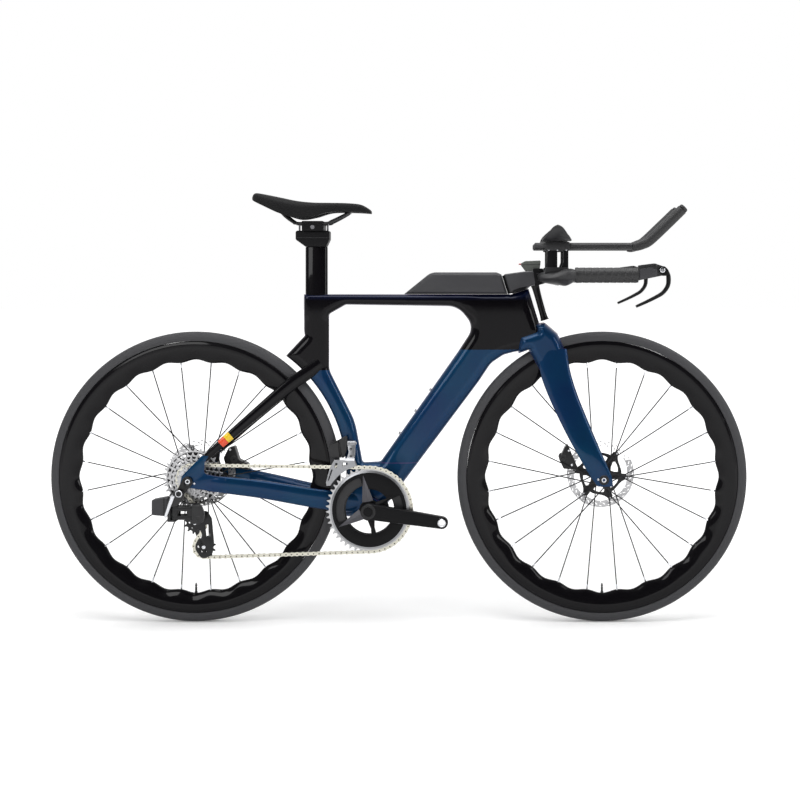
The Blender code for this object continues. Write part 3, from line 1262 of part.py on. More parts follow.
def valley_phase(centre, teeth):
    """Angle of a tooth valley, from the pin nearest the sprocket's pitch circle."""
    r = pitch_radius(teeth)
    best = min(PINS, key=lambda p: abs((p - centre).length - r) + (0.0 if (p - centre).length < r * 1.001
                                                                  else 1.0))
    return atan2(best.y - centre.y, best.x - centre.x)


def make_chain():
    """Scalloped side plates joined by a roller block at each pin, as one closed loop."""
    bm = bmesh.new()
    count = len(PINS)
    here = Matrix.Translation((0, -CHAIN_SIDE, 0)) @ SIDE
    levels = [-CHAIN_HALF, -CHAIN_INNER, CHAIN_INNER, CHAIN_HALF]
    stations = []
    for k in range(count):
        p = PINS[k]
        way = (PINS[(k + 1) % count] - PINS[k - 1]).normalized()
        normal = Vector((-way.y, way.x))
        for along in (-ROLLER_HALF, ROLLER_HALF):
            centre = p + way * along
            row = []
            for edge in (-PLATE_HIGH, PLATE_HIGH):
                q = centre + normal * edge
                row.append([bm.verts.new(here @ Vector((q.x, q.y, level))) for level in levels])
            stations.append(row)
    total = len(stations)

    def quad(a, b, c, d):
        bm.faces.new((a, b, c, d))

    for k in range(total):
        one, two = stations[k], stations[(k + 1) % total]
        at_pin = k % 2 == 0
        for level in (0, 3):
            quad(one[0][level], two[0][level], two[1][level], one[1][level])
        for edge in (0, 1):
            for a, b in ((0, 1), (2, 3)):
                quad(one[edge][a], two[edge][a], two[edge][b], one[edge][b])
            if at_pin:
                quad(one[edge][1], two[edge][1], two[edge][2], one[edge][2])
        if not at_pin:
            for level in (1, 2):
                quad(one[0][level], two[0][level], two[1][level], one[1][level])
        quad(one[0][1], one[1][1], one[1][2], one[0][2])
    node("chain", bm, CHAIN_METAL)


def make_cassette():
    """Cogs on a shared core, skinned as one closed body with open gaps between them."""
    centre = Vector((AXLE_REAR.x, AXLE_REAR.z))
    here = side_at(AXLE_REAR)
    bm = bmesh.new()
    sides = 8

    def ring_at(points, height):
        return [bm.verts.new(here @ Vector((x, y, height))) for x, y in points]

    def fill(outer, inner):
        edges = [bm.edges.get((loop[i - 1], loop[i])) or bm.edges.new((loop[i - 1], loop[i]))
                 for loop in (outer, inner) for i in range(len(loop))]
        bmesh.ops.triangle_fill(bm, edges=edges, use_beauty=True)

    core = circle(CASSETTE_CORE, sides)
    bore = circle(CASSETTE_BORE, sides)
    last = ring_at(core, COG_LOW - 0.0014)
    bottom = ring_at(bore, COG_LOW - 0.0014)
    add_wall(bm, bottom, last)
    for k, teeth in reversed(list(enumerate(COGS))):
        side = CHAIN_SIDE + (COGS.index(COG_IN_USE) - k) * COG_PITCH
        in_use = teeth == COG_IN_USE
        phase = valley_phase(centre, teeth) if in_use else 0.37 * k
        outline = gear(teeth, phase, VALLEY_HALF if in_use else 0.0)
        neck = ring_at(core, side - COG_HALF)
        add_wall(bm, last, neck)
        low = ring_at(outline, side - COG_HALF)
        fill(low, neck)
        high = ring_at(outline, side + COG_HALF)
        add_wall(bm, low, high)
        last = ring_at(core, side + COG_HALF)
        fill(high, last)
    top = ring_at(core, COG_HIGH + 0.0012)
    add_wall(bm, last, top)
    end = ring_at(bore, COG_HIGH + 0.0012)
    add_wall(bm, top, end)
    add_wall(bm, end, bottom)
    node("cassette", bm, STEEL, pivot=AXLE_REAR)


def sector(start, end, inner, outer):
    """Window between two angles (degrees) and two radii."""
    a, b = radians(start), radians(end)
    lean_out = 0.0030 / outer
    lean_in = 0.0030 / inner
    steps = max(2, int((end - start) / 22))
    return (arc(0, 0, outer, a + lean_out, b - lean_out, steps)
            + [((outer - 0.003) * cos(b), (outer - 0.003) * sin(b)),
               ((inner + 0.003) * cos(b), (inner + 0.003) * sin(b))]
            + arc(0, 0, inner, b - lean_in, a + lean_in, max(2, steps // 2))
            + [((inner + 0.003) * cos(a), (inner + 0.003) * sin(a)),
               ((outer - 0.003) * cos(a), (outer - 0.003) * sin(a))])


def make_crankset():
    here = side_at(BB)
    centre = Vector((BB.x, BB.z))
    outer = plate([gear(RING_TEETH, valley_phase(centre, RING_TEETH), VALLEY_HALF), circle(RING_WEB, 24)],
                  [(0, CHAIN_SIDE - RING_HALF), (0, CHAIN_SIDE + RING_HALF)], here)
    low = CHAIN_SIDE - RING_GAP
    inner = plate([gear(SMALL_RING_TEETH), circle(RING_WEB - 0.0060, 24)],
                  [(0, low - RING_HALF), (0, low + RING_HALF)], here)
    inside, outside = RING_WEB - 0.0030, RING_WEB + 0.0020
    web = lathe([(inside, low - 0.0002), (outside, low - 0.0002), (outside, CHAIN_SIDE + 0.0002),
                 (inside, CHAIN_SIDE + 0.0002)], 24, here)
    node("chainrings", union(web, join(outer, inner)), STEEL, pivot=BB)

    windows = [sector(106, 203, 0.024, 0.077), sector(215, 275, 0.026, 0.057),
               sector(287, 345, 0.026, 0.057), sector(33, 92, 0.026, 0.048), sector(0, 27, 0.046, 0.078)]
    face = SPIDER_SIDE
    spider = plate([circle(SPIDER_RADIUS, 32), circle(BOSS_RADIUS + GAP, 16)] + windows,
                   [(0, face), (0, face + SPIDER_THICK)], here)
    node("chainring_spider", spider, ALLOY, pivot=BB)

    right = crank_arm(CRANK_DROOP)
    boss = lathe([(BOSS_RADIUS, BB_HALF + CUP_FLANGE + GAP), (BOSS_RADIUS, CRANK_SIDE + 0.002)], 16, here,
                 ring=False)
    spindle = lathe([(SPINDLE_RADIUS - 0.0004, -CRANK_SIDE - CRANK_THICK + 0.002),
                     (SPINDLE_RADIUS, -CRANK_SIDE - CRANK_THICK + 0.0024),
                     (SPINDLE_RADIUS, CRANK_SIDE + 0.004)], 16, here, ring=False)
    node("crank_arm_right", union(right, boss, spindle), ALLOY, pivot=BB)

    left = crank_arm(CRANK_DROOP)
    inner = BB_HALF + CUP_FLANGE + 0.0011
    left = union(left, lathe([(BOSS_RADIUS, inner), (BOSS_RADIUS, CRANK_SIDE + 0.002)], 16, here,
                             ring=False))
    turn = Matrix.Translation(BB) @ Matrix.Rotation(pi, 4, "Z") @ Matrix.Translation(-BB)
    left.transform(turn)
    level = Matrix.Rotation(-2 * CRANK_DROOP, 4, "Y")
    left.transform(Matrix.Translation(BB) @ level @ Matrix.Translation(-BB))
    bore = lathe([(SPINDLE_RADIUS + GAP, -CRANK_SIDE - CRANK_THICK - 0.01),
                  (SPINDLE_RADIUS + GAP, -BB_HALF)], 16, here, ring=False)
    node("crank_arm_left", cut(left, bore), ALLOY, pivot=BB)

    for side, name in ((1, "bb_cup_right"), (-1, "bb_cup_left")):
        bore_r = SPINDLE_RADIUS + RUN
        line = [(bore_r, 0.0300), (BB_BORE - GAP, 0.0300), (BB_BORE - GAP, BB_HALF + GAP),
                (0.0235, BB_HALF + GAP), (0.0235, BB_HALF + CUP_FLANGE), (bore_r, BB_HALF + CUP_FLANGE)]
        node(name, lathe([(r, side * h) for r, h in line], 16, here), ALLOY)


def crank_arm(droop):
    """Tapered arm from the bottom bracket to the pedal eye, in the side view, with a bevelled outer edge."""
    near, far = 0.0185, 0.0140
    lean = acos((near - far) / CRANK_LENGTH)
    outline = (arc(0, 0, near, lean, 2 * pi - lean, 8)
               + arc(CRANK_LENGTH, 0, far, -lean, lean, 6))
    pedal = circle(0.0077, 12, x=CRANK_LENGTH)
    frame = side_at(BB, droop)
    arm = plate([outline], [(0, CRANK_SIDE), (0, CRANK_SIDE + CRANK_THICK - CRANK_BEVEL),
                            (CRANK_BEVEL, CRANK_SIDE + CRANK_THICK)], frame)
    return cut(arm, prism(pedal, CRANK_SIDE - 0.01, CRANK_SIDE + CRANK_THICK + 0.01, frame))


# Rear derailleur
def hull(circles):
    """Outline round two circles (x, y, r)."""
    (x1, y1, r1), (x2, y2, r2) = circles
    base = atan2(y2 - y1, x2 - x1)
    lean = acos((r1 - r2) / hypot(x2 - x1, y2 - y1))
    return (arc(x1, y1, r1, base + lean, base + 2 * pi - lean, 6)
            + arc(x2, y2, r2, base - lean, base + lean, 5))


def make_rear_derailleur():
    bolt = HANGER_BOLT
    axle = AXLE_REAR
    outline = hull([(axle.x, axle.z, 0.0120), (bolt.x, bolt.z, 0.0085)])
    hanger = prism(outline, HANGER_LOW, HANGER_LOW + HANGER_THICK, SIDE,
                   holes=[circle(0.0072, 12, axle.x, axle.z), circle(0.0040, 10, bolt.x, bolt.z)])
    node("derailleur_hanger", hanger, ALLOY)

    def plan(points, low, high):
        return prism([(x, -y) for x, y in points], low, high, Matrix.Identity(4))

    def knuckle(x, toward):
        """Top and bottom ears with two upright pins, joined by a web on the side away from the links."""
        back = x + toward * 0.0135
        ear = fillet([(back, LINK_IN - 0.0065), (x - toward * 0.0055, LINK_IN - 0.0065, 0.003),
                      (x - toward * 0.0055, LINK_OUT + 0.0060, 0.003), (back, LINK_OUT + 0.0060)])
        low = plan(ear, LINK_LOW - EAR, LINK_LOW - GAP)
        high = plan(ear, LINK_HIGH + GAP, LINK_HIGH + EAR)
        web = plan([(x + toward * 0.0066, LINK_IN - 0.0060), (back, LINK_IN - 0.0060),
                    (back, LINK_OUT + 0.0055), (x + toward * 0.0066, LINK_OUT + 0.0055)],
                   LINK_LOW - EAR + 0.0005, LINK_HIGH + EAR - 0.0005)
        made = union(low, web, high)
        for side in (LINK_IN, LINK_OUT):
            made = union(made, rod((x, -side, LINK_LOW - 0.003), (x, -side, LINK_HIGH + 0.003), PIN_HALF, 6))
        return made

    fixed = knuckle(HINGE_B, -1)
    ax, az = axle.x, axle.z
    foot = LINK_HIGH + 0.0010
    arm = plate([fillet([(ax - 0.0285, az - 0.0210, 0.004), (ax - 0.0065, az - 0.0190, 0.008),
                         (ax - 0.0055, az - 0.0330, 0.008), (ax - 0.0205, foot), (ax - 0.0425, foot),
                         (ax - 0.0430, az - 0.0410)])],
                [(0, KNUCKLE_LOW), (0, KNUCKLE_LOW + 0.0070), (0.001, KNUCKLE_LOW + 0.0080)], SIDE)
    stub = rod((bolt.x, -KNUCKLE_LOW - 0.001, bolt.z), (bolt.x, -HANGER_LOW, bolt.z), 0.0036, 10)
    battery = plate([fillet([(ax - 0.0790, az - 0.0400, 0.003), (ax - 0.0790, az - 0.0740, 0.003),
                             (ax - 0.0420, az - 0.0775), (ax - 0.0420, az - 0.0330, 0.004)])],
                    [(0.002, 0.0660), (0.0, 0.0680), (0.0, 0.0880), (0.002, 0.0900)], SIDE)
    node("derailleur_knuckle", union(fixed, arm, stub, battery), PLASTIC)

    for name, side, finish in (("derailleur_outer_link", LINK_OUT, ALLOY),
                               ("derailleur_inner_link", LINK_IN, ALLOY)):
        loop = hull([(HINGE_B, -side, LINK_HALF), (HINGE_P, -side, LINK_HALF - 0.00001)])
        link = prism(loop, LINK_LOW, LINK_HIGH, Matrix.Identity(4),
                     holes=[circle(PIN_HALF + 2 * GAP, 6, x, -side) for x in (HINGE_B, HINGE_P)])
        node(name, link, finish, pivot=(HINGE_B, -side, (LINK_LOW + LINK_HIGH) / 2))

    moving = knuckle(HINGE_P, 1)
    px, pz = CAGE_PIVOT
    bore = STUB_RADIUS + 0.0004
    barrel = lathe([(bore, CAGE_OUT + 0.0012), (0.0090, CAGE_OUT + 0.0012), (0.0100, CAGE_OUT + 0.0022),
                    (0.0100, BARREL_OUT - 0.0020), (0.0085, BARREL_OUT), (0.0020, BARREL_OUT),
                    (0.0020, BARREL_FLOOR), (bore, BARREL_FLOOR)], 12, side_at(Vector((px, 0, pz))))
    moving = union(moving, barrel)
    moving = cut(moving, lathe([(bore, CAGE_OUT), (bore, BARREL_FLOOR - 0.0002)], 12,
                               side_at(Vector((px, 0, pz))), ring=False))
    node("derailleur_moving_knuckle", moving, PLASTIC, pivot=(HINGE_P, -LINK_OUT, pz))

    gx, gz = GUIDE
    turn = Matrix.Rotation(CAGE_TURN, 2)

    def around(points):
        return [tuple(CAGE_PIVOT + turn @ Vector(p[:2])) + tuple(p[2:]) for p in points]

    shape = fillet(around([(-0.0070, 0.0120, 0.010), (0.0130, 0.0130, 0.010), (0.0220, -0.0060, 0.010),
                           (0.0220, -0.0640, 0.030), (0.0150, -0.0900, 0.012), (-0.0070, -0.0980, 0.014),
                           (-0.0190, -0.0840, 0.012), (-0.0030, -0.0460, 0.020), (-0.0070, -0.0300, 0.008),
                           (-0.0250, -0.0260, 0.010), (-0.0300, -0.0080, 0.010)]))
    hole = fillet(around([(0.0050, -0.0190, 0.003), (0.0140, -0.0190, 0.003), (0.0140, -0.0500, 0.003),
                          (0.0060, -0.0500, 0.003)]))
    outer = prism(shape, CAGE_OUT - CAGE_PLATE, CAGE_OUT, SIDE, holes=[hole])
    inner_shape = hull([(gx, gz, 0.0100), (TENSION_NOW.x, TENSION_NOW.y, 0.0120)])
    inner = prism(inner_shape, CAGE_IN, CAGE_IN + CAGE_PLATE - 0.0002, SIDE)
    parts = [rod((x, -CAGE_IN - 0.0005, z), (x, -CAGE_OUT + 0.0005, z), PULLEY_AXLE, 10)
             for x, z in ((gx, gz), tuple(TENSION_NOW))]
    stub = lathe([(STUB_RADIUS, CAGE_OUT - 0.001), (STUB_RADIUS, BARREL_FLOOR - 0.0005)], 12,
                 side_at(Vector((px, 0, pz))), ring=False)
    cage = union(outer, stub, *parts)
    cage = union(cage, inner)
    node("derailleur_cage", cage, ALLOY, pivot=(px, -CAGE_OUT, pz))

    for name, centre in (("guide_pulley", GUIDE), ("tension_pulley", TENSION_NOW)):
        here = side_at(Vector((centre.x, 0, centre.y)))
        teeth = gear(PULLEY_TEETH, valley_phase(centre, PULLEY_TEETH), VALLEY_HALF - 0.0002, tip=PULLEY_TIP)
        wheel = plate([teeth, circle(0.0050, 10)],
                      [(0, CHAIN_SIDE - 0.0010), (0, CHAIN_SIDE + 0.0010)], here)
        bore = PULLEY_AXLE + GAP
        hub = lathe([(bore, CHAIN_SIDE - 0.0042), (0.0075, CHAIN_SIDE - 0.0042),
                     (0.0075, CHAIN_SIDE + 0.0042), (bore, CHAIN_SIDE + 0.0042)], 8, here)
        node(name, union(wheel, hub), PLASTIC, pivot=(centre.x, 0, centre.y))


# Front derailleur
def make_front_derailleur():
    """Fixed body with a fore-and-aft pin, and the cage that swings about it over the chainrings."""
    bx, bz = BB.x, BB.z
    body = plate([fillet([(bx - 0.0964, bz + 0.1468, 0.004), (bx - 0.0900, bz + 0.1180, 0.004),
                          (bx - 0.0595, bz + 0.1180, 0.006), (FD_SPLIT, bz + 0.1370),
                          (FD_SPLIT, bz + 0.1710, 0.004), (bx - 0.0644, bz + 0.1640, 0.010)])],
                 [(0.002, 0.0180), (0, 0.0200), (0, 0.0360), (0.002, 0.0380)], SIDE)
    pin = rod((FD_SPLIT - 0.004, FD_AXIS.y, FD_AXIS.z), (FD_FRONT + 0.0025, FD_AXIS.y, FD_AXIS.z),
              FD_PIN, 10)
    node("front_derailleur", union(body, pin), PLASTIC)

    front, back, bore = FD_FRONT, FD_SPLIT + GAP * 2, FD_PIN + GAP
    edge = front - GAP
    boss = lathe([(bore, 0), (0.0062, 0), (0.0062, front - back), (bore, front - back)], 10,
                 Matrix.Translation((back, FD_AXIS.y, FD_AXIS.z)) @ Matrix.Rotation(pi / 2, 4, "Y"))
    near, far = FD_IN + 0.0002, FD_OUT - 0.0002

    def level(tail, inner, outer, rise):
        z = bz + rise
        return [Vector((x, -side, z)) for x, side in
                ((tail, inner), (edge, inner), (edge, outer), (tail, outer))]

    web = loft([level(back, 0.0262, 0.0338, 0.1482), level(back, 0.0380, 0.0425, 0.1190),
                level(back - 0.010, near, far, 0.1125)])
    bridge = prism([(bx - 0.0825, bz + 0.1106), (edge, bz + 0.1106), (edge, bz + 0.1137),
                    (bx - 0.0812, bz + 0.1137)], near - 0.0001, far + 0.0001, SIDE)
    clear = pitch_radius(RING_TEETH) + TOOTH_TIP + FD_CLEAR
    a0, a1 = radians(106), radians(148)
    outline = ([(bx - 0.0990, bz + clear * sin(a1)), (bx - 0.0995, bz + 0.0640), (bx - 0.0915, bz + 0.0950),
                (bx - 0.0815, bz + 0.1140), (front, bz + 0.1140),
                (bx + clear * cos(a0), bz + clear * sin(a0) + 0.0002)]
               + arc(bx, bz, clear, a0, a1, 5)[1:])
    plates = [prism(outline, low, low + FD_PLATE, SIDE) for low in (FD_IN, FD_OUT - FD_PLATE)]
    cage = union(boss, web, bridge, plates[0], plates[1])
    node("front_derailleur_cage", cage, STEEL, pivot=FD_AXIS + Vector((FD_SPLIT, 0, 0)))


def make_storage_box():
    """Case on the top tube whose front follows the steering axis."""
    top = HEAD_TOP.x
    low_point = HEAD_TOP + STEER_AHEAD * -BOX_TO_STEER
    slope = STEER_UP.x / STEER_UP.z
    z0, z1, z2 = TOP_TUBE_Z + GAP, TOP_TUBE_Z + 0.0465, TOP_TUBE_Z + BOX_HEIGHT
    foot = (low_point.x + slope * (z0 - low_point.z), z0)
    crest = (low_point.x + slope * (z1 - low_point.z), z1)
    tail = top - BOX_LENGTH
    outline = fillet([(tail, z0), foot, crest, (top - 0.0559, z2, 0.006), (tail + 0.0630, z2, 0.030)])
    layers = [(0.008, -1.0), (0.0025, -0.82), (0.0, -0.2), (0.0, 0.2), (0.0025, 0.82), (0.008, 1.0)]
    box = plate([outline], layers, SIDE,
                width=lambda x, y: 0.0100 + 0.0095 * smooth_step((x - tail + 0.002) / 0.10))
    node("storage_box", box, CARBON)


make_frame()
make_fork()
make_cockpit()
make_levers()
make_arm_rests()
make_seat()
make_wheels()
make_calipers()
make_chain()
make_cassette()
make_crankset()
make_rear_derailleur()
make_front_derailleur()
make_storage_box()
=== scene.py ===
# %% [markdown]
# # Dressing a triathlon bicycle
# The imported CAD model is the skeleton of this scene. Every piece made here takes its place from it, so
# nothing has to be lined up by eye. The work goes from the studio to the finishes and then from large
# pieces to small.

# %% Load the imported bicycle
import json
from math import acos, asin, atan2, ceil, cos, hypot, pi, radians, sin, sqrt, tan
import bpy
import bmesh
import numpy as np
from mathutils import Matrix, Vector
from mathutils.geometry import delaunay_2d_cdt


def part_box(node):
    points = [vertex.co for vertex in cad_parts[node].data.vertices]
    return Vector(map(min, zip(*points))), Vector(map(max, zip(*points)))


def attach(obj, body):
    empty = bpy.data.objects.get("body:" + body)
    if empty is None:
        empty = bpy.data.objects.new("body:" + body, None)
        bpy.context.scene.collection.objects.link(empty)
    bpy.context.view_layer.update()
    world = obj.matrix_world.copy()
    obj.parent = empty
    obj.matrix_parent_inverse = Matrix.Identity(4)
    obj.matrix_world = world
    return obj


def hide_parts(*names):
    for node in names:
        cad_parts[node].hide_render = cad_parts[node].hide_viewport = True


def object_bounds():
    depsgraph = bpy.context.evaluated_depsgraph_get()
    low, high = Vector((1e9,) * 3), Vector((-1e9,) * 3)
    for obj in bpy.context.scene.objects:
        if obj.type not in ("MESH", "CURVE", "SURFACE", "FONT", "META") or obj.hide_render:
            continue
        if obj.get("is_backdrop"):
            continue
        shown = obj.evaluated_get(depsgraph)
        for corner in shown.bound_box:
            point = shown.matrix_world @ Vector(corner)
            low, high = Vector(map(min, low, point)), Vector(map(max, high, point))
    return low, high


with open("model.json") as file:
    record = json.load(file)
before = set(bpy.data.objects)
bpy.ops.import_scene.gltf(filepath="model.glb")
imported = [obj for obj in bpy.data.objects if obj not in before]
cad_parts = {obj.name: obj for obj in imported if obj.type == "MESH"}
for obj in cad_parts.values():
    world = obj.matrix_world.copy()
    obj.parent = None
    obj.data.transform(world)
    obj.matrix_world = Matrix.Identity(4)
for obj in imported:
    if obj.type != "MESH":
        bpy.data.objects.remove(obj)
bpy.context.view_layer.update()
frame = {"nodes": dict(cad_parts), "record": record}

nodes = frame["nodes"]
body_of = {n: b for b, group in frame["record"]["behaviour"]["bodies"].items() for n in group}

# %% [markdown]
# ## Camera
# The photograph was taken from the drive side with a normal lens. Lines that run across the bicycle meet
# right of and above the picture's middle, so the camera stood level with the top tube, opposite the head,
# and the picture is a crop. A lens shift gives the same crop without tilting the camera.

# %% Camera and colour
DISTANCE, VIEW_WIDTH, SENSOR, PICTURE = 2.8, 1.8752, 36, 800
scene = bpy.context.scene
camera = bpy.data.objects.new("camera", bpy.data.cameras.new("camera"))
scene.collection.objects.link(camera)
camera.location = (0.232, -DISTANCE, 0.7964)
camera.rotation_euler = (pi / 2, 0, 0)
camera.data.sensor_width = SENSOR
camera.data.lens = SENSOR * DISTANCE / VIEW_WIDTH
camera.data.shift_x, camera.data.shift_y = -98 / PICTURE, -119 / PICTURE
scene.camera = camera
scene.view_settings.view_transform = "Standard"

# %% [markdown]
# ## Studio
# The bicycle stands on a white sweep. The world is white where the camera looks at it and is darker on the
# camera's side, as in a real studio, so black lacquer shows bright edges and a dark middle.

# %% Helpers for node trees
WHITE = (1, 1, 1, 1)


def new_nodes(tree, kind, **values):
    made = tree.nodes.new(kind)
    for key, value in values.items():
        if hasattr(made, key):
            setattr(made, key, value)
        else:
            made.inputs[key.replace("_", " ")].default_value = value
    return made


def linked(tree, *pairs):
    for source, target in pairs:
        tree.links.new(source, target)


def feed(tree, sockets, values):
    """Gives each socket a link from another one, or a constant."""
    for socket, value in zip(sockets, values):
        if isinstance(value, bpy.types.NodeSocket):
            tree.links.new(value, socket)
        else:
            socket.default_value = value


def calc(tree, operation, *values):
    made = new_nodes(tree, "ShaderNodeMath", operation=operation)
    feed(tree, made.inputs, values)
    return made.outputs[0]


def mixed(tree, factor, first, second):
    made = new_nodes(tree, "ShaderNodeMix", data_type="RGBA")
    feed(tree, (made.inputs[k] for k in (0, 6, 7)), (factor, first, second))
    return made.outputs[2]


def ranged(tree, value, *limits, **options):
    """Map Range of a value, from its first two limits to its last two."""
    made = new_nodes(tree, "ShaderNodeMapRange", **options)
    feed(tree, (made.inputs[k] for k in ("Value", "From Min", "From Max", "To Min", "To Max")),
         (value, *limits))
    return made.outputs[0]


def clean_tree(owner):
    owner.use_nodes = True
    owner.node_tree.nodes.clear()
    return owner.node_tree


# %% World
scene.world = bpy.data.worlds.new("studio")
tree = clean_tree(scene.world)
sky = new_nodes(tree, "ShaderNodeTexCoord")
axes = new_nodes(tree, "ShaderNodeSeparateXYZ")
room = new_nodes(tree, "ShaderNodeBackground", Color=WHITE)
seen = new_nodes(tree, "ShaderNodeBackground", Color=WHITE, Strength=1.0)
path = new_nodes(tree, "ShaderNodeLightPath")
mix = new_nodes(tree, "ShaderNodeMixShader")
out = new_nodes(tree, "ShaderNodeOutputWorld")
linked(tree, (sky.outputs["Generated"], axes.inputs[0]),
       (ranged(tree, axes.outputs["Y"], -0.60, 0.30, 0.05, 0.95), room.inputs["Strength"]),
       (path.outputs["Is Camera Ray"], mix.inputs[0]), (room.outputs[0], mix.inputs[1]),
       (seen.outputs[0], mix.inputs[2]), (mix.outputs[0], out.inputs[0]))

# %% Floor and lamps
FLOOR_HALF, LAMP_AIM = 30, Vector((0, 0, 0.5))
corners = [(x * FLOOR_HALF, y * FLOOR_HALF, 0) for x, y in ((-1, -1), (1, -1), (1, 1), (-1, 1))]
floor = bpy.data.objects.new("floor", bpy.data.meshes.new("floor"))
floor.data.from_pydata(corners, [], [(0, 1, 2, 3)])
scene.collection.objects.link(floor)
white = bpy.data.materials.new("white_sweep")
tree = clean_tree(white)
paper = new_nodes(tree, "ShaderNodeBsdfDiffuse")
lift = new_nodes(tree, "ShaderNodeEmission")
path = new_nodes(tree, "ShaderNodeLightPath")
where = new_nodes(tree, "ShaderNodeTexCoord")
reach = new_nodes(tree, "ShaderNodeVectorMath", operation="LENGTH")
both = new_nodes(tree, "ShaderNodeAddShader")
out = new_nodes(tree, "ShaderNodeOutputMaterial")
to_camera = path.outputs["Is Camera Ray"]
rays = calc(tree, "MAXIMUM", to_camera, path.outputs["Is Glossy Ray"])
fade = ranged(tree, reach.outputs["Value"], 0.9, 2.6, 0.08, 0.62)
linked(tree, (where.outputs["Object"], reach.inputs[0]),
       (mixed(tree, to_camera, (0.78, 0.78, 0.78, 1), WHITE), paper.inputs["Color"]),
       (calc(tree, "MULTIPLY", rays, fade), lift.inputs["Strength"]), (paper.outputs[0], both.inputs[0]),
       (lift.outputs[0], both.inputs[1]), (both.outputs[0], out.inputs[0]))
floor.data.materials.append(white)
floor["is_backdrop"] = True


def lamp(name, place, size, power):
    data = bpy.data.lights.new(name, "AREA")
    data.shape = "RECTANGLE"
    data.size, data.size_y = size
    data.energy = power
    made = bpy.data.objects.new(name, data)
    made.location = place
    made.rotation_euler = (LAMP_AIM - Vector(place)).to_track_quat("-Z", "Y").to_euler()
    scene.collection.objects.link(made)


lamp("overhead", (0.2, -0.6, 3.2), (3.2, 1.6), 62)
lamp("front_fill", (-1.9, -3.2, 2.2), (1.6, 1.6), 38)
lamp("side_fill", (2.9, -2.2, 1.6), (0.9, 1.8), 26)

# %% [markdown]
# ## Finishes
# Each finish is one Principled shader with a little procedural life: fine noise breaks up the gloss, and a
# bump gives grain. The patterns read Object coordinates, which are world coordinates at rest here, in
# metres.

# %% A maker of finishes
def finish(name, colour, rough, metal=0.0, coat=0.0, grain=900.0, bump=0.05, vary=0.12, tint=None, **extra):
    """Principled finish with noise in its colour, roughness and surface."""
    made = bpy.data.materials.new(name)
    made.use_nodes = True
    tree = made.node_tree
    shader = tree.nodes["Principled BSDF"]
    for key, value in {"Metallic": metal, "Coat_Weight": coat, "Coat_Roughness": 0.04, **extra}.items():
        shader.inputs[key.replace("_", " ")].default_value = value
    place = new_nodes(tree, "ShaderNodeTexCoord")
    noise = new_nodes(tree, "ShaderNodeTexNoise", Scale=grain, Detail=3.0)
    broad = new_nodes(tree, "ShaderNodeTexNoise", Scale=9.0, Detail=2.0)
    relief = new_nodes(tree, "ShaderNodeBump", Strength=bump, Distance=0.0004)
    other = tint or tuple(min(1.0, c * (1 + vary)) for c in colour)
    gloss = ranged(tree, noise.outputs[0], 0.0, 1.0, rough * (1 - vary), min(1.0, rough * (1 + vary)))
    linked(tree, (place.outputs["Object"], noise.inputs["Vector"]),
           (place.outputs["Object"], broad.inputs["Vector"]),
           (mixed(tree, broad.outputs[0], (*colour, 1), (*other, 1)), shader.inputs["Base Color"]),
           (gloss, shader.inputs["Roughness"]), (noise.outputs[0], relief.inputs["Height"]),
           (relief.outputs[0], shader.inputs["Normal"]))
    made.diffuse_color = (*colour, 1)
    return made


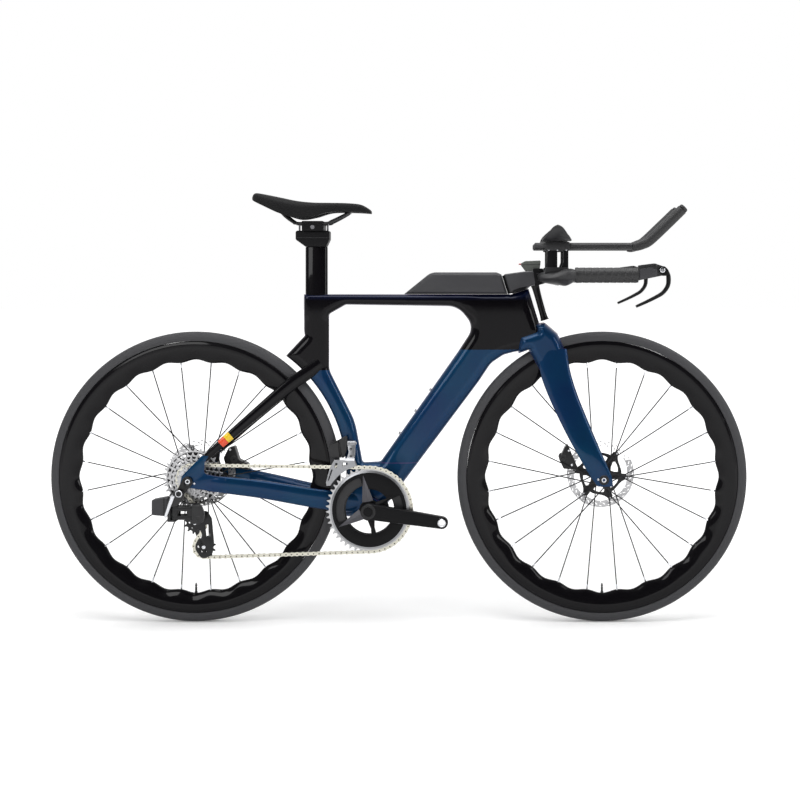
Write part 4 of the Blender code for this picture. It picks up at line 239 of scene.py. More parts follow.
GLOSS = {"coat": 1.0, "bump": 0.0, "Specular_IOR_Level": 0.05, "Coat_IOR": 1.26}
BLACK = (0.0030, 0.0026, 0.0036)
finishes = {
    "lacquer": finish("gloss_black_lacquer", BLACK, 0.30, **GLOSS),
    "rim_gloss": finish("black_rim_lacquer", (0.0032, 0.0028, 0.0038), 0.34, **GLOSS),
    "matte_carbon": finish("matte_carbon", (0.020, 0.020, 0.022), 0.46, grain=1600, bump=0.10),
    "box_shell": finish("charcoal_shell", (0.034, 0.034, 0.038), 0.52, grain=2200, bump=0.12),
    "unit_shell": finish("olive_grey_shell", (0.100, 0.108, 0.096), 0.50, grain=2200, bump=0.10),
    "rubber": finish("tyre_rubber", (0.046, 0.046, 0.050), 0.66, grain=1400, bump=0.25),
    "tape": finish("bar_tape", (0.020, 0.020, 0.021), 0.52, grain=1100, bump=0.05),
    "grip": finish("moulded_grip", (0.021, 0.021, 0.022), 0.50, grain=1300, bump=0.04),
    "steel": finish("brushed_steel", (0.50, 0.50, 0.51), 0.32, metal=1.0, grain=1200, bump=0.05),
    "satin": finish("satin_silver", (0.34, 0.345, 0.36), 0.36, metal=1.0, bump=0.04),
    "silver": finish("forged_silver", (0.66, 0.67, 0.70), 0.24, metal=1.0, bump=0.03),
    "grey": finish("grey_alloy", (0.22, 0.22, 0.235), 0.38, metal=1.0, bump=0.04),
    "spoke": finish("bladed_spoke", (0.022, 0.022, 0.024), 0.50, metal=0.4, bump=0.0),
    "black_alloy": finish("black_anodised", (0.012, 0.012, 0.013), 0.36, metal=0.3, bump=0.06),
    "crank": finish("satin_black_crank", (0.0060, 0.0060, 0.0068), 0.42, grain=1500, bump=0.05,
                    Specular_IOR_Level=0.14),
    # Grey that paints a highlight on the long carrier ridges and on the cranks' lower flanks.
    "painted_highlight_grey": finish("satin_grey_painted_highlight", (0.085, 0.084, 0.095), 0.42, metal=0.5, bump=0.04),
    "plastic": finish("moulded_nylon", (0.014, 0.014, 0.015), 0.46, grain=2000, bump=0.18),
    "cover": finish("saddle_microfibre", (0.0085, 0.0085, 0.009), 0.60, grain=2600, bump=0.20,
                    Specular_IOR_Level=0.16),
    "chain": finish("nickel_chain", (0.70, 0.68, 0.59), 0.34, metal=1.0, bump=0.04),
    "pins": finish("dark_pins", (0.070, 0.062, 0.050), 0.45, metal=0.8, bump=0.0),
    "red": finish("red_plastic", (0.45, 0.015, 0.02), 0.40, bump=0.05),
    "yellow": finish("yellow_film", (0.90, 0.60, 0.01), 0.35, bump=0.0, coat=0.6),
    "orange": finish("orange_film", (0.80, 0.060, 0.005), 0.35, bump=0.0, coat=0.6),
    "pale_lip": finish("pale_lip", (0.55, 0.47, 0.40), 0.34, coat=0.5, bump=0.0),
}

# %% [markdown]
# The paint is a blue pearl that turns violet at its edges. A blue metallic base carries broad patches of
# teal, the sheen socket adds the violet of grazing light, and a clear coat lies over it. On the frame it
# stops in a clean horizontal line, above which the tubes are lacquered black. The top of the top tube is
# painted navy, a painted sheen of light from above. A pale violet line marks the seam above the bottom
# bracket; it is a painted highlight on the seam's ledge.

# %% Pearl paint
# The seam's pale violet is a painted highlight on the ledge of the seam.
PAINT, PAINT_TEAL, SEAM_HIGHLIGHT_VIOLET = (0.0058, 0.0185, 0.090), (0.0034, 0.0540, 0.110), (0.085, 0.050, 0.150, 1)
SEAM_Z, SEAM_REAR, PAINT_SPLIT = 0.3726, -0.040, 0.05


def pearl(name, line_front=None, line_rear=None):
    """Blue pearl. With two heights, the frame is black above them, ahead of and behind its open middle."""
    made = finish(name, PAINT, 0.34, metal=0.45, tint=PAINT_TEAL, Sheen_Weight=0.30, Sheen_Roughness=0.30,
                  Sheen_Tint=(0.40, 0.12, 0.80, 1), **GLOSS)
    if line_front is None:
        return made
    tree = made.node_tree
    target = tree.nodes["Principled BSDF"].inputs["Base Color"]
    place = next(n for n in tree.nodes if n.type == "TEX_COORD")
    axes = new_nodes(tree, "ShaderNodeSeparateXYZ")
    tree.links.new(place.outputs["Object"], axes.inputs[0])
    x, z = axes.outputs["X"], axes.outputs["Z"]
    level = ranged(tree, calc(tree, "GREATER_THAN", x, PAINT_SPLIT), 0.0, 1.0, line_rear, line_front)
    # Pale violet line along the seam above the bottom bracket: a painted highlight on the seam's ledge.
    seam = calc(tree, "MULTIPLY", calc(tree, "COMPARE", z, SEAM_Z, 0.0007),
                calc(tree, "GREATER_THAN", x, SEAM_REAR))
    # The black turns navy towards the top of the top tube: a painted sheen of light from above.
    painted_top_sheen = mixed(tree, ranged(tree, z, 0.751, 0.768, 0.0, 0.45), (*BLACK, 1), (*PAINT, 1))
    swap = mixed(tree, calc(tree, "GREATER_THAN", z, level), target.links[0].from_socket, painted_top_sheen)
    tree.links.new(mixed(tree, seam, swap, SEAM_HIGHLIGHT_VIOLET), target)
    return made


finishes["pearl"] = pearl("blue_pearl")
finishes["two_tone"] = pearl("blue_pearl_to_black", 0.6365, 0.588)
print("finishes", len(finishes))

# %% [markdown]
# ## Turning meshes into pieces
# A finished piece is shaded smooth except at real edges, rides on the body of the CAD node it stands for,
# and hides that node. A node that keeps its CAD shape is copied and merged, and its edges are rounded by a
# small bevel, because light catches a real edge and a perfectly sharp one looks drawn.

# %% Pieces
made_pieces = {}


def piece(name, bm, look, node, sharp=34, hide=True):
    """Turns a mesh into a piece that stands for a CAD node, or rides beside the one that does."""
    bmesh.ops.remove_doubles(bm, verts=bm.verts, dist=1e-7)
    bmesh.ops.recalc_face_normals(bm, faces=bm.faces)
    mesh = bpy.data.meshes.new(name)
    bm.to_mesh(mesh)
    bm.free()
    mesh.materials.append(finishes[look])
    mesh.shade_smooth()
    mesh.set_sharp_from_angle(angle=radians(sharp))
    made = bpy.data.objects.new(name, mesh)
    scene.collection.objects.link(made)
    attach(made, body_of[node])
    if hide:
        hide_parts(node)
    made_pieces[name] = made
    return made


def beside(name, bm, look, node, sharp=34):
    return piece(name, bm, look, node, sharp, hide=False)


def dress(name, width, steps=2):
    """Piece from a CAD node's own shape, with its edges rounded."""
    bm = bmesh.new()
    bm.from_mesh(nodes[name].data)
    bmesh.ops.remove_doubles(bm, verts=bm.verts, dist=2e-6)
    bmesh.ops.dissolve_limit(bm, angle_limit=radians(1.0), verts=bm.verts, edges=bm.edges)
    edges = [e for e in bm.edges if len(e.link_faces) == 2 and e.calc_face_angle() > radians(38)]
    bmesh.ops.bevel(bm, geom=edges, offset=width, segments=steps, profile=0.5, affect="EDGES",
                    clamp_overlap=True)
    return piece(name + "_finished", bm, "black_alloy", name, sharp=40)


# %% [markdown]
# ## Outlines and skins
# Flat things such as chainrings and levers are outlines with a thickness. Tubes are skins over a row of
# loops. Wheels and hubs are profiles turned about an axle. These few helpers make all three. Lengths inside
# a shape are written in millimetres from a place that is given in metres.

# %% Frames of reference and outlines
MM = 0.001
WHEEL_RADIUS, WHEELBASE, FORK_RAKE = 0.339, 0.951, 0.052
AXLE_REAR = Vector((-WHEELBASE / 2, 0, WHEEL_RADIUS))
AXLE_FRONT = Vector((WHEELBASE / 2, 0, WHEEL_RADIUS))
BB = Vector((AXLE_REAR.x + 0.411, 0, WHEEL_RADIUS - 0.070))
HEAD_ANGLE = radians(72.5)
STEER_UP = Vector((-cos(HEAD_ANGLE), 0, sin(HEAD_ANGLE)))
STEER_AHEAD = Vector((sin(HEAD_ANGLE), 0, cos(HEAD_ANGLE)))
TOP_TUBE_Z, CROWN_Z = 0.7655, 0.636


def steer_point(height):
    base = AXLE_FRONT - STEER_AHEAD * FORK_RAKE
    return base + STEER_UP * ((height - base.z) / STEER_UP.z)


CROWN_POINT = steer_point(CROWN_Z)
HEAD_TOP = steer_point(TOP_TUBE_Z + 0.0065)
LEVEL = Matrix.Identity(4)
SIDE = Matrix(((1, 0, 0, 0), (0, 0, -1, 0), (0, 1, 0, 0), (0, 0, 0, 1)))
STEER = Matrix(((STEER_AHEAD.x, 0, STEER_UP.x, CROWN_POINT.x), (0, 1, 0, 0),
                (STEER_AHEAD.z, 0, STEER_UP.z, CROWN_POINT.z), (0, 0, 0, 1)))
ACROSS = Vector((0, 1, 0))


def on_steer(ahead, up, side=0.0, base=CROWN_POINT):
    return base + STEER_AHEAD * ahead + STEER_UP * up + Vector((0, -side, 0))


def flat(point):
    return Vector((point.x, point.z))


def side_at(point, turn=0.0):
    """Place whose z looks out to the drive side; the point may be (x, z)."""
    where = point if len(point) == 3 else (point[0], 0, point[1])
    return Matrix.Translation(where) @ SIDE @ Matrix.Rotation(turn, 4, "Z")


def at(x, z, *corners):
    """Corners (x, z) or (x, z, radius) in millimetres, from a place in metres."""
    return [(x + c[0] * MM, z + c[1] * MM, *(r * MM for r in c[2:])) for c in corners]


def mm(*rows):
    return at(0, 0, *rows)


def off(x, z, *rows, side=0.0):
    """Stations (x, side, z, sizes...) in millimetres, from a place in metres."""
    return [(x + r[0] * MM, side + r[1] * MM, z + r[2] * MM, *(v * MM for v in r[3:])) for r in rows]


def polar(radius, angle):
    return (radius * cos(angle), radius * sin(angle))


def arc(x, y, radius, start, end, count):
    angles = [start + (end - start) * k / count for k in range(count + 1)]
    return [(x + radius * cos(a), y + radius * sin(a)) for a in angles]


def circle(radius, count, x=0.0, y=0.0):
    return arc(x, y, radius, 0, 2 * pi, count)[:-1]


def oval(half_x, half_y, count, power=2.0):
    angles = [2 * pi * (k + 0.5) / count for k in range(count)]
    return [tuple(half * abs(v) ** (2 / power) * (1 if v > 0 else -1)
                  for half, v in ((half_x, cos(a)), (half_y, sin(a))))
            for a in angles]


def fillet(corners, step=radians(7)):
    """Outline from (x, y, radius) corners, with each radius drawn as an arc."""
    out = []
    count = len(corners)
    for i, corner in enumerate(corners):
        x, y, r = (*corner, 0.0)[:3]
        here = Vector((x, y))
        to_last = Vector(corners[i - 1][:2]) - here
        to_next = Vector(corners[(i + 1) % count][:2]) - here
        opening = to_last.angle(to_next)
        if r <= 0 or opening > radians(178):
            out.append((x, y))
            continue
        reach = min(r / tan(opening / 2), 0.49 * to_last.length, 0.49 * to_next.length)
        radius = reach * tan(opening / 2)
        inward = (to_last.normalized() + to_next.normalized()).normalized()
        centre = here + inward * (radius / sin(opening / 2))
        start = here + to_last.normalized() * reach - centre
        end = here + to_next.normalized() * reach - centre
        swing = start.angle(end)
        turn = 1 if start.x * end.y - start.y * end.x > 0 else -1
        steps = max(1, ceil(swing / step))
        for k in range(steps + 1):
            a = turn * swing * k / steps
            out.append((centre.x + start.x * cos(a) - start.y * sin(a),
                        centre.y + start.x * sin(a) + start.y * cos(a)))
    return out


def oblong(x, z, x1, z1, x2, z2, low_r, high_r=None):
    """Upright rectangle between two corners in millimetres, from a place in metres."""
    high_r = low_r if high_r is None else high_r
    return fillet(at(x, z, (x1, z1, low_r), (x2, z1, low_r), (x2, z2, high_r), (x1, z2, high_r)))


# %% Skins
def add_wall(bm, first, second):
    for i in range(len(first)):
        j = (i + 1) % len(first)
        bm.faces.new((first[i], first[j], second[j], second[i]))


def loft(sections, close_path=False):
    bm = bmesh.new()
    rings = [[bm.verts.new(p) for p in section] for section in sections]
    for first, second in zip(rings, rings[1:]):
        add_wall(bm, first, second)
    if close_path:
        add_wall(bm, rings[-1], rings[0])
    else:
        bm.faces.new(rings[0][::-1])
        bm.faces.new(rings[-1])
    return bm


def lathe(profile, segments, place, ring=True, radius_at=None):
    """Turns (radius, height) points about the place's z axis."""
    sections = []
    for k in range(segments):
        a = 2 * pi * k / segments
        radii = [radius_at(i, r, a) if radius_at else r for i, (r, _) in enumerate(profile)]
        sections.append([place @ Vector((r * cos(a), r * sin(a), h)) for r, (_, h) in zip(radii, profile)])
    if ring:
        return loft(sections, close_path=True)
    return loft([[sections[k][i] for k in range(segments)] for i in range(len(profile))])


def sweep(path, shapes, up=Vector((0, 0, 1))):
    """Skin over a path, with one shape for all of it or one for each point."""
    points = [Vector(p) for p in path]
    sections = []
    for i, p in enumerate(points):
        ahead = (points[min(i + 1, len(points) - 1)] - points[max(i - 1, 0)]).normalized()
        across = ahead.cross(up).normalized()
        rise = across.cross(ahead)
        shape = shapes[i] if isinstance(shapes[0][0], (list, tuple)) else shapes
        sections.append([p + across * x + rise * y for x, y in shape])
    return loft(sections)


def smooth_stations(stations, per_span):
    """More stations on a smooth curve through the given ones."""
    rows = []
    last = len(stations) - 1
    for i in range(last):
        near = stations[max(i - 1, 0)], stations[i], stations[i + 1], stations[min(i + 2, last)]
        for k in range(per_span):
            t = k / per_span
            rows.append(tuple(0.5 * (2 * b + (c - a) * t + (2 * a - 5 * b + 4 * c - d) * t * t
                                     + (3 * b - a - 3 * c + d) * t ** 3) for a, b, c, d in zip(*near)))
    return rows + [tuple(stations[-1])]


def join(*meshes):
    target = meshes[0]
    for other in meshes[1:]:
        held = bpy.data.meshes.new("held")
        other.to_mesh(held)
        target.from_mesh(held)
        other.free()
        bpy.data.meshes.remove(held)
    return target


def mirrored(bm):
    copy = bm.copy()
    bmesh.ops.scale(copy, vec=(1, -1, 1), verts=copy.verts)
    bmesh.ops.reverse_faces(copy, faces=copy.faces)
    return copy


def both_sides(bm):
    return join(mirrored(bm), bm)


def area(points):
    return sum(points[i - 1][0] * p[1] - p[0] * points[i - 1][1] for i, p in enumerate(points)) / 2


def turned_right(loops):
    """The first loop runs anticlockwise and the holes after it clockwise."""
    return [p if area(p) * (1 if k == 0 else -1) > 0 else p[::-1] for k, p in enumerate(loops)]


def inset_loop(points, distance):
    moved = []
    count = len(points)
    for i in range(count):
        before, here, after = (Vector(points[j % count][:2]) for j in (i - 1, i, i + 1))
        d1, d2 = (here - before).normalized(), (after - here).normalized()
        n1, n2 = Vector((-d1.y, d1.x)), Vector((-d2.y, d2.x))
        shift = (n1 + n2) * (distance / max(0.35, 1 + n1.dot(n2)))
        moved.append((here.x + shift.x, here.y + shift.y))
    return moved


def plate(loops, layers, place):
    """Solid between flat outlines. Each layer is (inset, height); loops after the first are holes."""
    bm = bmesh.new()
    rings = [[[bm.verts.new(place @ Vector((x, y, height)))
               for x, y in (inset_loop(p, inset) if inset else p)] for p in turned_right(loops)]
             for inset, height in layers]
    for first, second in zip(rings, rings[1:]):
        for a, b in zip(first, second):
            add_wall(bm, a, b)
    for row in (rings[0], rings[-1]):
        edges = [bm.edges.get((v[i - 1], v[i])) for v in row for i in range(len(v))]
        bmesh.ops.triangle_fill(bm, edges=edges, use_beauty=True)
    return bm


def rim_curve(edge, steps):
    """Quarter of a rounded rim as (inset, depth)."""
    return [(edge * (1 - sin(a)), edge * (1 - cos(a)))
            for a in [pi / 2 * k / steps for k in range(steps + 1)]]


def rounded(loops, low, high, place=SIDE, edge=0.8, steps=3):
    """Plate whose rims are rounded, by an edge in millimetres."""
    quarter = rim_curve(edge * MM, steps)
    return plate(loops, [(i, low + h) for i, h in quarter] + [(i, high - h) for i, h in reversed(quarter)],
                 place)


def slab(corners, low, high, place=SIDE, edge=0.8, steps=3):
    return rounded([fillet(corners)], low, high, place, edge, steps)


def thin(loops, side, half, place, soft=0.4):
    """Sheet about a side, half its thickness each way, whose rims are just broken."""
    rows = ((0.3, -half), (0, soft - half), (0, half - soft), (0.3, half))
    return plate(loops, [(i * MM, side + h * MM) for i, h in rows], place)


def sheet(loops, low, high, place=SIDE):
    return plate(loops, [(0, low), (0, high)], place)


# %% [markdown]
# ## The pillow
# A moulded carbon frame seen from the side is one outline with a hole, and it is thickest along the middle
# of each tube. Such a form can be lofted tube by tube, with trouble where tubes meet. A pillow does it at
# once: the outline is filled with a triangle net, and each point rises by how far it lies from the nearest
# edge.

# %% Pillow
EDGE_ROWS = (0.0003, 0.0010, 0.0022, 0.0040, 0.0065, 0.0095)


def pillow(loops, thickness, grid):
    """Closed solid over an outline with holes. thickness(x, y, d) is its half width at distance d inside."""
    starts = [np.array(p, float) for p in loops]
    a, b = np.vstack(starts), np.vstack([np.roll(p, -1, axis=0) for p in starts])
    run = b - a
    length2 = (run ** 2).sum(1) + 1e-18

    def distance(q):
        t = np.clip(((q[:, None, :] - a) * run).sum(2) / length2, 0, 1)
        return np.sqrt(((q[:, None, :] - (a + t[..., None] * run)) ** 2).sum(2)).min(1)

    def within(q):
        x, y = q[:, 0:1], q[:, 1:2]
        crosses = (a[:, 1] > y) != (b[:, 1] > y)
        cut = a[:, 0] + (y - a[:, 1]) * run[:, 0] / np.where(abs(run[:, 1]) < 1e-12, 1e-12, run[:, 1])
        return (crosses & (x < cut)).sum(1) % 2 == 1

    inner = []
    for p in turned_right(loops):
        for inset in EDGE_ROWS:
            q = np.array(inset_loop(p, inset), float)
            inner.append(q[distance(q) > inset * 0.93])
    low, high = a.min(0), a.max(0)
    xs, ys = np.meshgrid(np.arange(low[0], high[0], grid), np.arange(low[1], high[1], grid * 0.866))
    xs[1::2] += grid / 2
    q = np.stack([xs.ravel(), ys.ravel()], 1)
    inner = np.vstack(inner + [q[distance(q) > EDGE_ROWS[-1] + grid * 0.6]])
    points = [Vector(p) for p in (*a, *inner[within(inner)])]
    edges, base = [], 0
    for p in loops:
        edges += [(base + i, base + (i + 1) % len(p)) for i in range(len(p))]
        base += len(p)
    verts, _, faces, *_ = delaunay_2d_cdt(points, edges, [], 0, 1e-7)
    net = np.array([tuple(v) for v in verts])
    middles = np.array([net[list(f)].mean(0) for f in faces])
    heights = [thickness(*p, d) if d > 1e-6 else 0.0 for p, d in zip(net, distance(net))]
    bm = bmesh.new()
    near, far = [[bm.verts.new(SIDE @ Vector((*p, way * h))) for p, h in zip(net, heights)]
                 for way in (1, -1)]
    for f, inside in zip(faces, within(middles)):
        if inside:
            bm.faces.new([near[i] for i in f])
            bm.faces.new([far[i] for i in reversed(f)])
    bmesh.ops.remove_doubles(bm, verts=bm.verts, dist=1e-7)
    bmesh.ops.delete(bm, geom=[v for v in bm.verts if not v.link_faces], context="VERTS")
    return bm


def bulge(d, reach, power=2.0):
    """Rise of a rounded edge: 0 at the edge, 1 at reach and beyond."""
    t = min(1.0, d / reach)
    return (1 - (1 - t) ** power) ** (1 / power)


def smooth_step(t):
    t = max(0.0, min(1.0, t))
    return t * t * (3 - 2 * t)


def densely(loop, step=0.004):
    """More points along the straights of an outline."""
    out = []
    for p, q in zip(loop, loop[1:] + loop[:1]):
        count = max(1, ceil(hypot(q[0] - p[0], q[1] - p[1]) / step))
        out += [(p[0] + (q[0] - p[0]) * k / count, p[1] + (q[1] - p[1]) * k / count) for k in range(count)]
    return out


# %% [markdown]
# ## Main frame
# The frame is a one-piece carbon moulding: seat tube cut away for the rear wheel, a short top tube, a broad
# down tube and a deep head. The same outline as in the CAD model is drawn here with fine arcs.

# %% Frame outline
def frame_loops():
    rear, front = -0.2225, -0.1635
    cutout = arc(AXLE_REAR.x, AXLE_REAR.z, 0.352, radians(53.3), radians(-13), 60)
    top_front, top_rear = (flat(on_steer(ahead, 0, base=HEAD_TOP)) for ahead in (0.020, -0.024))
    bx, bz, cx, cz = BB.x, BB.z, CROWN_POINT.x, CROWN_POINT.z
    lower = [
        (bx - 0.0585, bz - 0.0235), (bx + 0.008, bz - 0.0280, 0.020), (bx + 0.0340, bz + 0.0010, 0.030),
        (bx + 0.2504, bz + 0.2906, 0.10), (cx - 0.1118, cz - 0.0321, 0.05), (cx - 0.0822, cz - 0.0124, 0.03),
        (cx - 0.0576, cz - 0.0060), (cx + 0.0030, cz + 0.0040), flat(on_steer(0.020, 0.045)), top_front,
        top_rear, (top_rear.x - 0.004, TOP_TUBE_Z), (rear, TOP_TUBE_Z), (rear, TOP_TUBE_Z - 0.089, 0.07)]
    hole = fillet([
        (front, TOP_TUBE_Z - 0.0470, 0.008), (front + 0.0390, TOP_TUBE_Z - 0.0245, 0.010),
        (cx - 0.1900, TOP_TUBE_Z - 0.0285, 0.050), (cx - 0.1515, cz + 0.0530, 0.035),
        (cx - 0.1900, cz - 0.0060, 0.060), (bx + 0.0215, bz + 0.1050, 0.012),
        (bx - 0.0205, bz + 0.1030, 0.006), (bx - 0.0385, bz + 0.1990, 0.14),
        (bx - 0.0850, bz + 0.2910, 0.12), (front, bz + 0.3190, 0.04)])
    return [cutout + fillet(lower), hole]


def frame_half(x, y, d):
    base = 0.014 + 0.006 * smooth_step((x + 0.17) / 0.26)
    base += 0.014 * smooth_step(1 - hypot(x - BB.x, y - BB.z) / 0.15)
    tube = bulge(d, 0.024, 2.2)
    top = smooth_step((y - 0.700) / 0.02) * smooth_step((0.20 - x) / 0.05)
    return base * (tube * (1 - top) + bulge(d, 0.012, 2.4) * top)


frame_body = pillow([densely(p, 0.006) for p in frame_loops()], frame_half, 0.0042)

# %% [markdown]
# The stays run from the seat tube and the bottom bracket to flat dropouts. Each is a loft through a few
# stations, smoothed, with one side mirrored to make the other.

# %% Stays and dropouts
def run_of(rows, shape, up=Vector((0, 0, 1))):
    """Skin through (x, side, z, high, wide) rows, side being the distance to the drive side."""
    return sweep([(x, -side, z) for x, side, z, *_ in rows],
                 [[(px * wide, py * high) for px, py in shape] for *_, high, wide in rows], up)


STAY_SHAPE, REAR_FACE = oval(1.0, 1.0, 24, 2.4), 0.071
drop = REAR_FACE + 0.0035
bx, bz, ax, az = BB.x, BB.z, AXLE_REAR.x, AXLE_REAR.z
chainstay = (off(bx, bz, (-10, 15, 10, 22.5, 11), (-75, 25.5, 16, 22.8, 7.5), (-140, 32, 26, 22, 9),
                 (-240, 50, 46.5, 20.5, 8.5))
             + off(bx, bz, (-325, -3, 61, 19, 7.4), side=drop)
             + off(ax, az, (45, -0.5, -5.5, 17, 3.2), side=drop))
seatstay = (off(0, az, (-183, 8, 265, 14, 8), (-211, 16, 244, 15.5, 7.5), (-253, 28.5, 214, 15, 6.5),
                (-328, 48.5, 150, 12, 6))
            + off(ax, az, (85, -7, 95, 9.8, 5.5), (37, -0.2, 50.5, 7.8, 2.9), side=drop))
seatstay_rows = smooth_stations(seatstay, 7)
dropout_line = at(ax, az, (90, -27, 4), (87, 8, 4), (36, 17, 10), (39, 44, 12), (48, 58), (33, 60),
                  (-14, 12, 16), (-18.5, -11.5, 8))
dropout = rounded([fillet(dropout_line), circle(0.0063, 24, ax, az)], REAR_FACE, 0.078, edge=1.2)
shell = lathe(mm((20.5, -42.5), (25.5, -42.5), (26, -42), (26, 42), (25.5, 42.5), (20.5, 42.5)), 64,
              side_at(BB))
pad = rounded([at(ax, az, (57, -10), (118, -18), (118, 7), (57, 15))], -(drop - 0.002), -(drop - 0.018))
lower = both_sides(join(run_of(smooth_stations(chainstay, 7), STAY_SHAPE), dropout))
piece("frame_moulding", join(frame_body, lower, pad, shell), "two_tone", "frame", sharp=38)
beside("seat_stays", both_sides(run_of(seatstay_rows, STAY_SHAPE)), "lacquer", "frame", sharp=38)

# %% [markdown]
# ## Fork
# The crown is a broad hood that wraps the front of the head and turns inside a round hollow of the frame.
# Seen from the side it is one outline, so it is a pillow as well, with its upper rear corner left out to
# clear the head at full lock. Each blade is a loft whose section grows flatter towards the axle.

# %% Crown and blades
HOOD_UP, HOOD_BACK = 0.0438, 0.0085


def crown_outline():
    cx, cz = CROWN_POINT.x, CROWN_POINT.z
    behind = [on_steer(-0.0485 * cos(t), 0.0577 * sin(t))
              for t in [radians(5 + 44 * k / 16) for k in range(17)]]
    corner = [on_steer(HOOD_BACK, HOOD_UP), on_steer(HOOD_BACK, 0.0600)]
    front = fillet([(corner[1].x, corner[1].z), (cx + 0.0140, cz + 0.0625, 0.006),
                    (cx + 0.0440, cz + 0.0370, 0.010), (cx + 0.0545, cz + 0.0180, 0.020),
                    (cx + 0.0700, cz - 0.0270, 0.0), (cx + 0.0100, cz - 0.0620, 0.0),
                    (cx - 0.0160, cz - 0.0190, 0.012), (cx - 0.0240, cz - 0.0030, 0.006)])
    return [(p.x, p.z) for p in behind + corner[:1]] + front


crown = pillow([densely(crown_outline())], lambda x, y, d: 0.030 * bulge(d, 0.020, 2.3), 0.0035)
ax, az, drop = AXLE_FRONT.x, AXLE_FRONT.z, 0.050 + 0.0035
rows = smooth_stations(
    off(ax, az, (-115.5, 24.2, 300, 32, 5.6), (-111, 27.2, 250, 35, 6.4), (-94, 31.5, 195, 34.5, 7),
        (-64, 40, 125, 32.5, 7))
    + off(ax, az, (-35, -3.5, 64, 29, 6), (-8.5, 0, 12, 25, 3.7), (3, 0, -15, 18, 3.3), side=drop), 8)
blade = loft([[Vector((x + px * deep, -side - py * wide, z)) for px, py in oval(1.0, 1.0, 32, 2.3)]
              for x, side, z, deep, wide in rows])
piece("fork_moulding", join(crown, both_sides(blade)), "pearl", "fork", sharp=38)

# %% [markdown]
# A pale edge runs round the front of the crown, and each tip holds a black seat for the axle. They are thin
# pieces of their own, because their finish changes sharply there.

# %% Crown lip and axle seats
lip = sweep([(x - 0.0006, 0, z - 0.0004) for x, z in crown_outline()[18:30]], oval(0.0016, 0.0010, 12),
            ACROSS)
beside("crown_lip", lip, "pale_lip", "fork")
for name, node, centre, low, outer in (("front_axle_seats", "fork", AXLE_FRONT, 55.5, 11.2),
                                       ("rear_axle_seats", "frame", AXLE_REAR, 76.5, 10.4)):
    seat = lathe(mm((6.3, low), (outer, low), (outer, low + 2.4), (outer - 0.6, low + 3), (6.3, low + 3)),
                 40, side_at(centre))
    beside(name, both_sides(seat), "black_alloy", node)
print("fork and frame moulded")

# %% [markdown]
# ## Repeating a shape
# A bicycle repeats itself: spokes, links, bolts, holes. One Geometry Nodes tree does all of them. It stands
# a shape on each point of a mesh, turns and stretches it as that point's attributes say, makes the copies
# real, and gives them their finish. The shape, its size and its finish are inputs, so the tree is built
# only once.

# %% Tree of copies
def new_tree(name, output, **inputs):
    """Empty tree with named inputs and one output, and its two end nodes."""
    tree = bpy.data.node_groups.new(name, "GeometryNodeTree")
    for key, kind in inputs.items():
        tree.interface.new_socket(key, in_out="INPUT", socket_type="NodeSocket" + kind)
    tree.interface.new_socket(output, in_out="OUTPUT", socket_type="NodeSocketGeometry")
    return tree, new_nodes(tree, "NodeGroupInput").outputs, new_nodes(tree, "NodeGroupOutput").inputs


def copies_tree():
    tree, given, result = new_tree("copies_on_points", "Copies", Points="Geometry", Shape="Object",
                                   Size="Float", Finish="Material")
    shape = new_nodes(tree, "GeometryNodeObjectInfo")
    spread = new_nodes(tree, "GeometryNodeInstanceOnPoints")
    fields = [new_nodes(tree, "GeometryNodeInputNamedAttribute", data_type="FLOAT_VECTOR", Name=name)
              for name in ("turn", "stretch")]
    turn = new_nodes(tree, "FunctionNodeEulerToRotation")
    scale = new_nodes(tree, "ShaderNodeVectorMath", operation="SCALE")
    real = new_nodes(tree, "GeometryNodeRealizeInstances")
    coat = new_nodes(tree, "GeometryNodeSetMaterial")
    linked(tree, (given["Points"], spread.inputs["Points"]), (given["Shape"], shape.inputs[0]),
           (shape.outputs["Geometry"], spread.inputs["Instance"]),
           (fields[0].outputs["Attribute"], turn.inputs[0]),
           (turn.outputs[0], spread.inputs["Rotation"]), (fields[1].outputs["Attribute"], scale.inputs[0]),
           (given["Size"], scale.inputs["Scale"]), (scale.outputs[0], spread.inputs["Scale"]),
           (spread.outputs[0], real.inputs[0]), (real.outputs[0], coat.inputs["Geometry"]),
           (given["Finish"], coat.inputs["Material"]), (coat.outputs[0], result[0]))
    return tree


def run_tree(tree, mesh, values):
    """Mesh that a tree makes of a mesh, with its inputs given by name."""
    made = bpy.data.objects.new("grown", mesh)
    scene.collection.objects.link(made)
    modifier = made.modifiers.new("tree", "NODES")
    modifier.node_group = tree
    for item in tree.interface.items_tree:
        if item.in_out == "INPUT" and item.name in values:
            modifier[item.identifier] = values[item.name]
    bpy.context.view_layer.update()
    result = bpy.data.meshes.new_from_object(made.evaluated_get(bpy.context.evaluated_depsgraph_get()))
    bm = bmesh.new()
    bm.from_mesh(result)
    bpy.data.objects.remove(made)
    bpy.data.meshes.remove(result)
    for face in bm.faces:
        face.material_index = 0
    return bm


COPIES = copies_tree()


def to_mesh(bm, name):
    mesh = bpy.data.meshes.new(name)
    bm.to_mesh(mesh)
    bm.free()
    return mesh


def copies(shape, spots, look):
    """One mesh with a shape at every (place, stretch) spot; a place is a matrix."""
    model = bpy.data.objects.new("shape", to_mesh(shape, "shape"))
    points = bpy.data.meshes.new("points")
    points.from_pydata([tuple(m.translation) for m, _ in spots], [], [])
    for key, rows in (("turn", [m.to_euler() for m, _ in spots]), ("stretch", [s for _, s in spots])):
        field = points.attributes.new(key, "FLOAT_VECTOR", "POINT")
        field.data.foreach_set("vector", [v for row in rows for v in row])
    bm = run_tree(COPIES, points, {"Shape": model, "Size": 1.0, "Finish": finishes[look]})
    bpy.data.objects.remove(model)
    return bm


def repeated(name, shape, spots, look, node, sharp=34):
    return beside(name, copies(shape, spots, look), look, node, sharp)


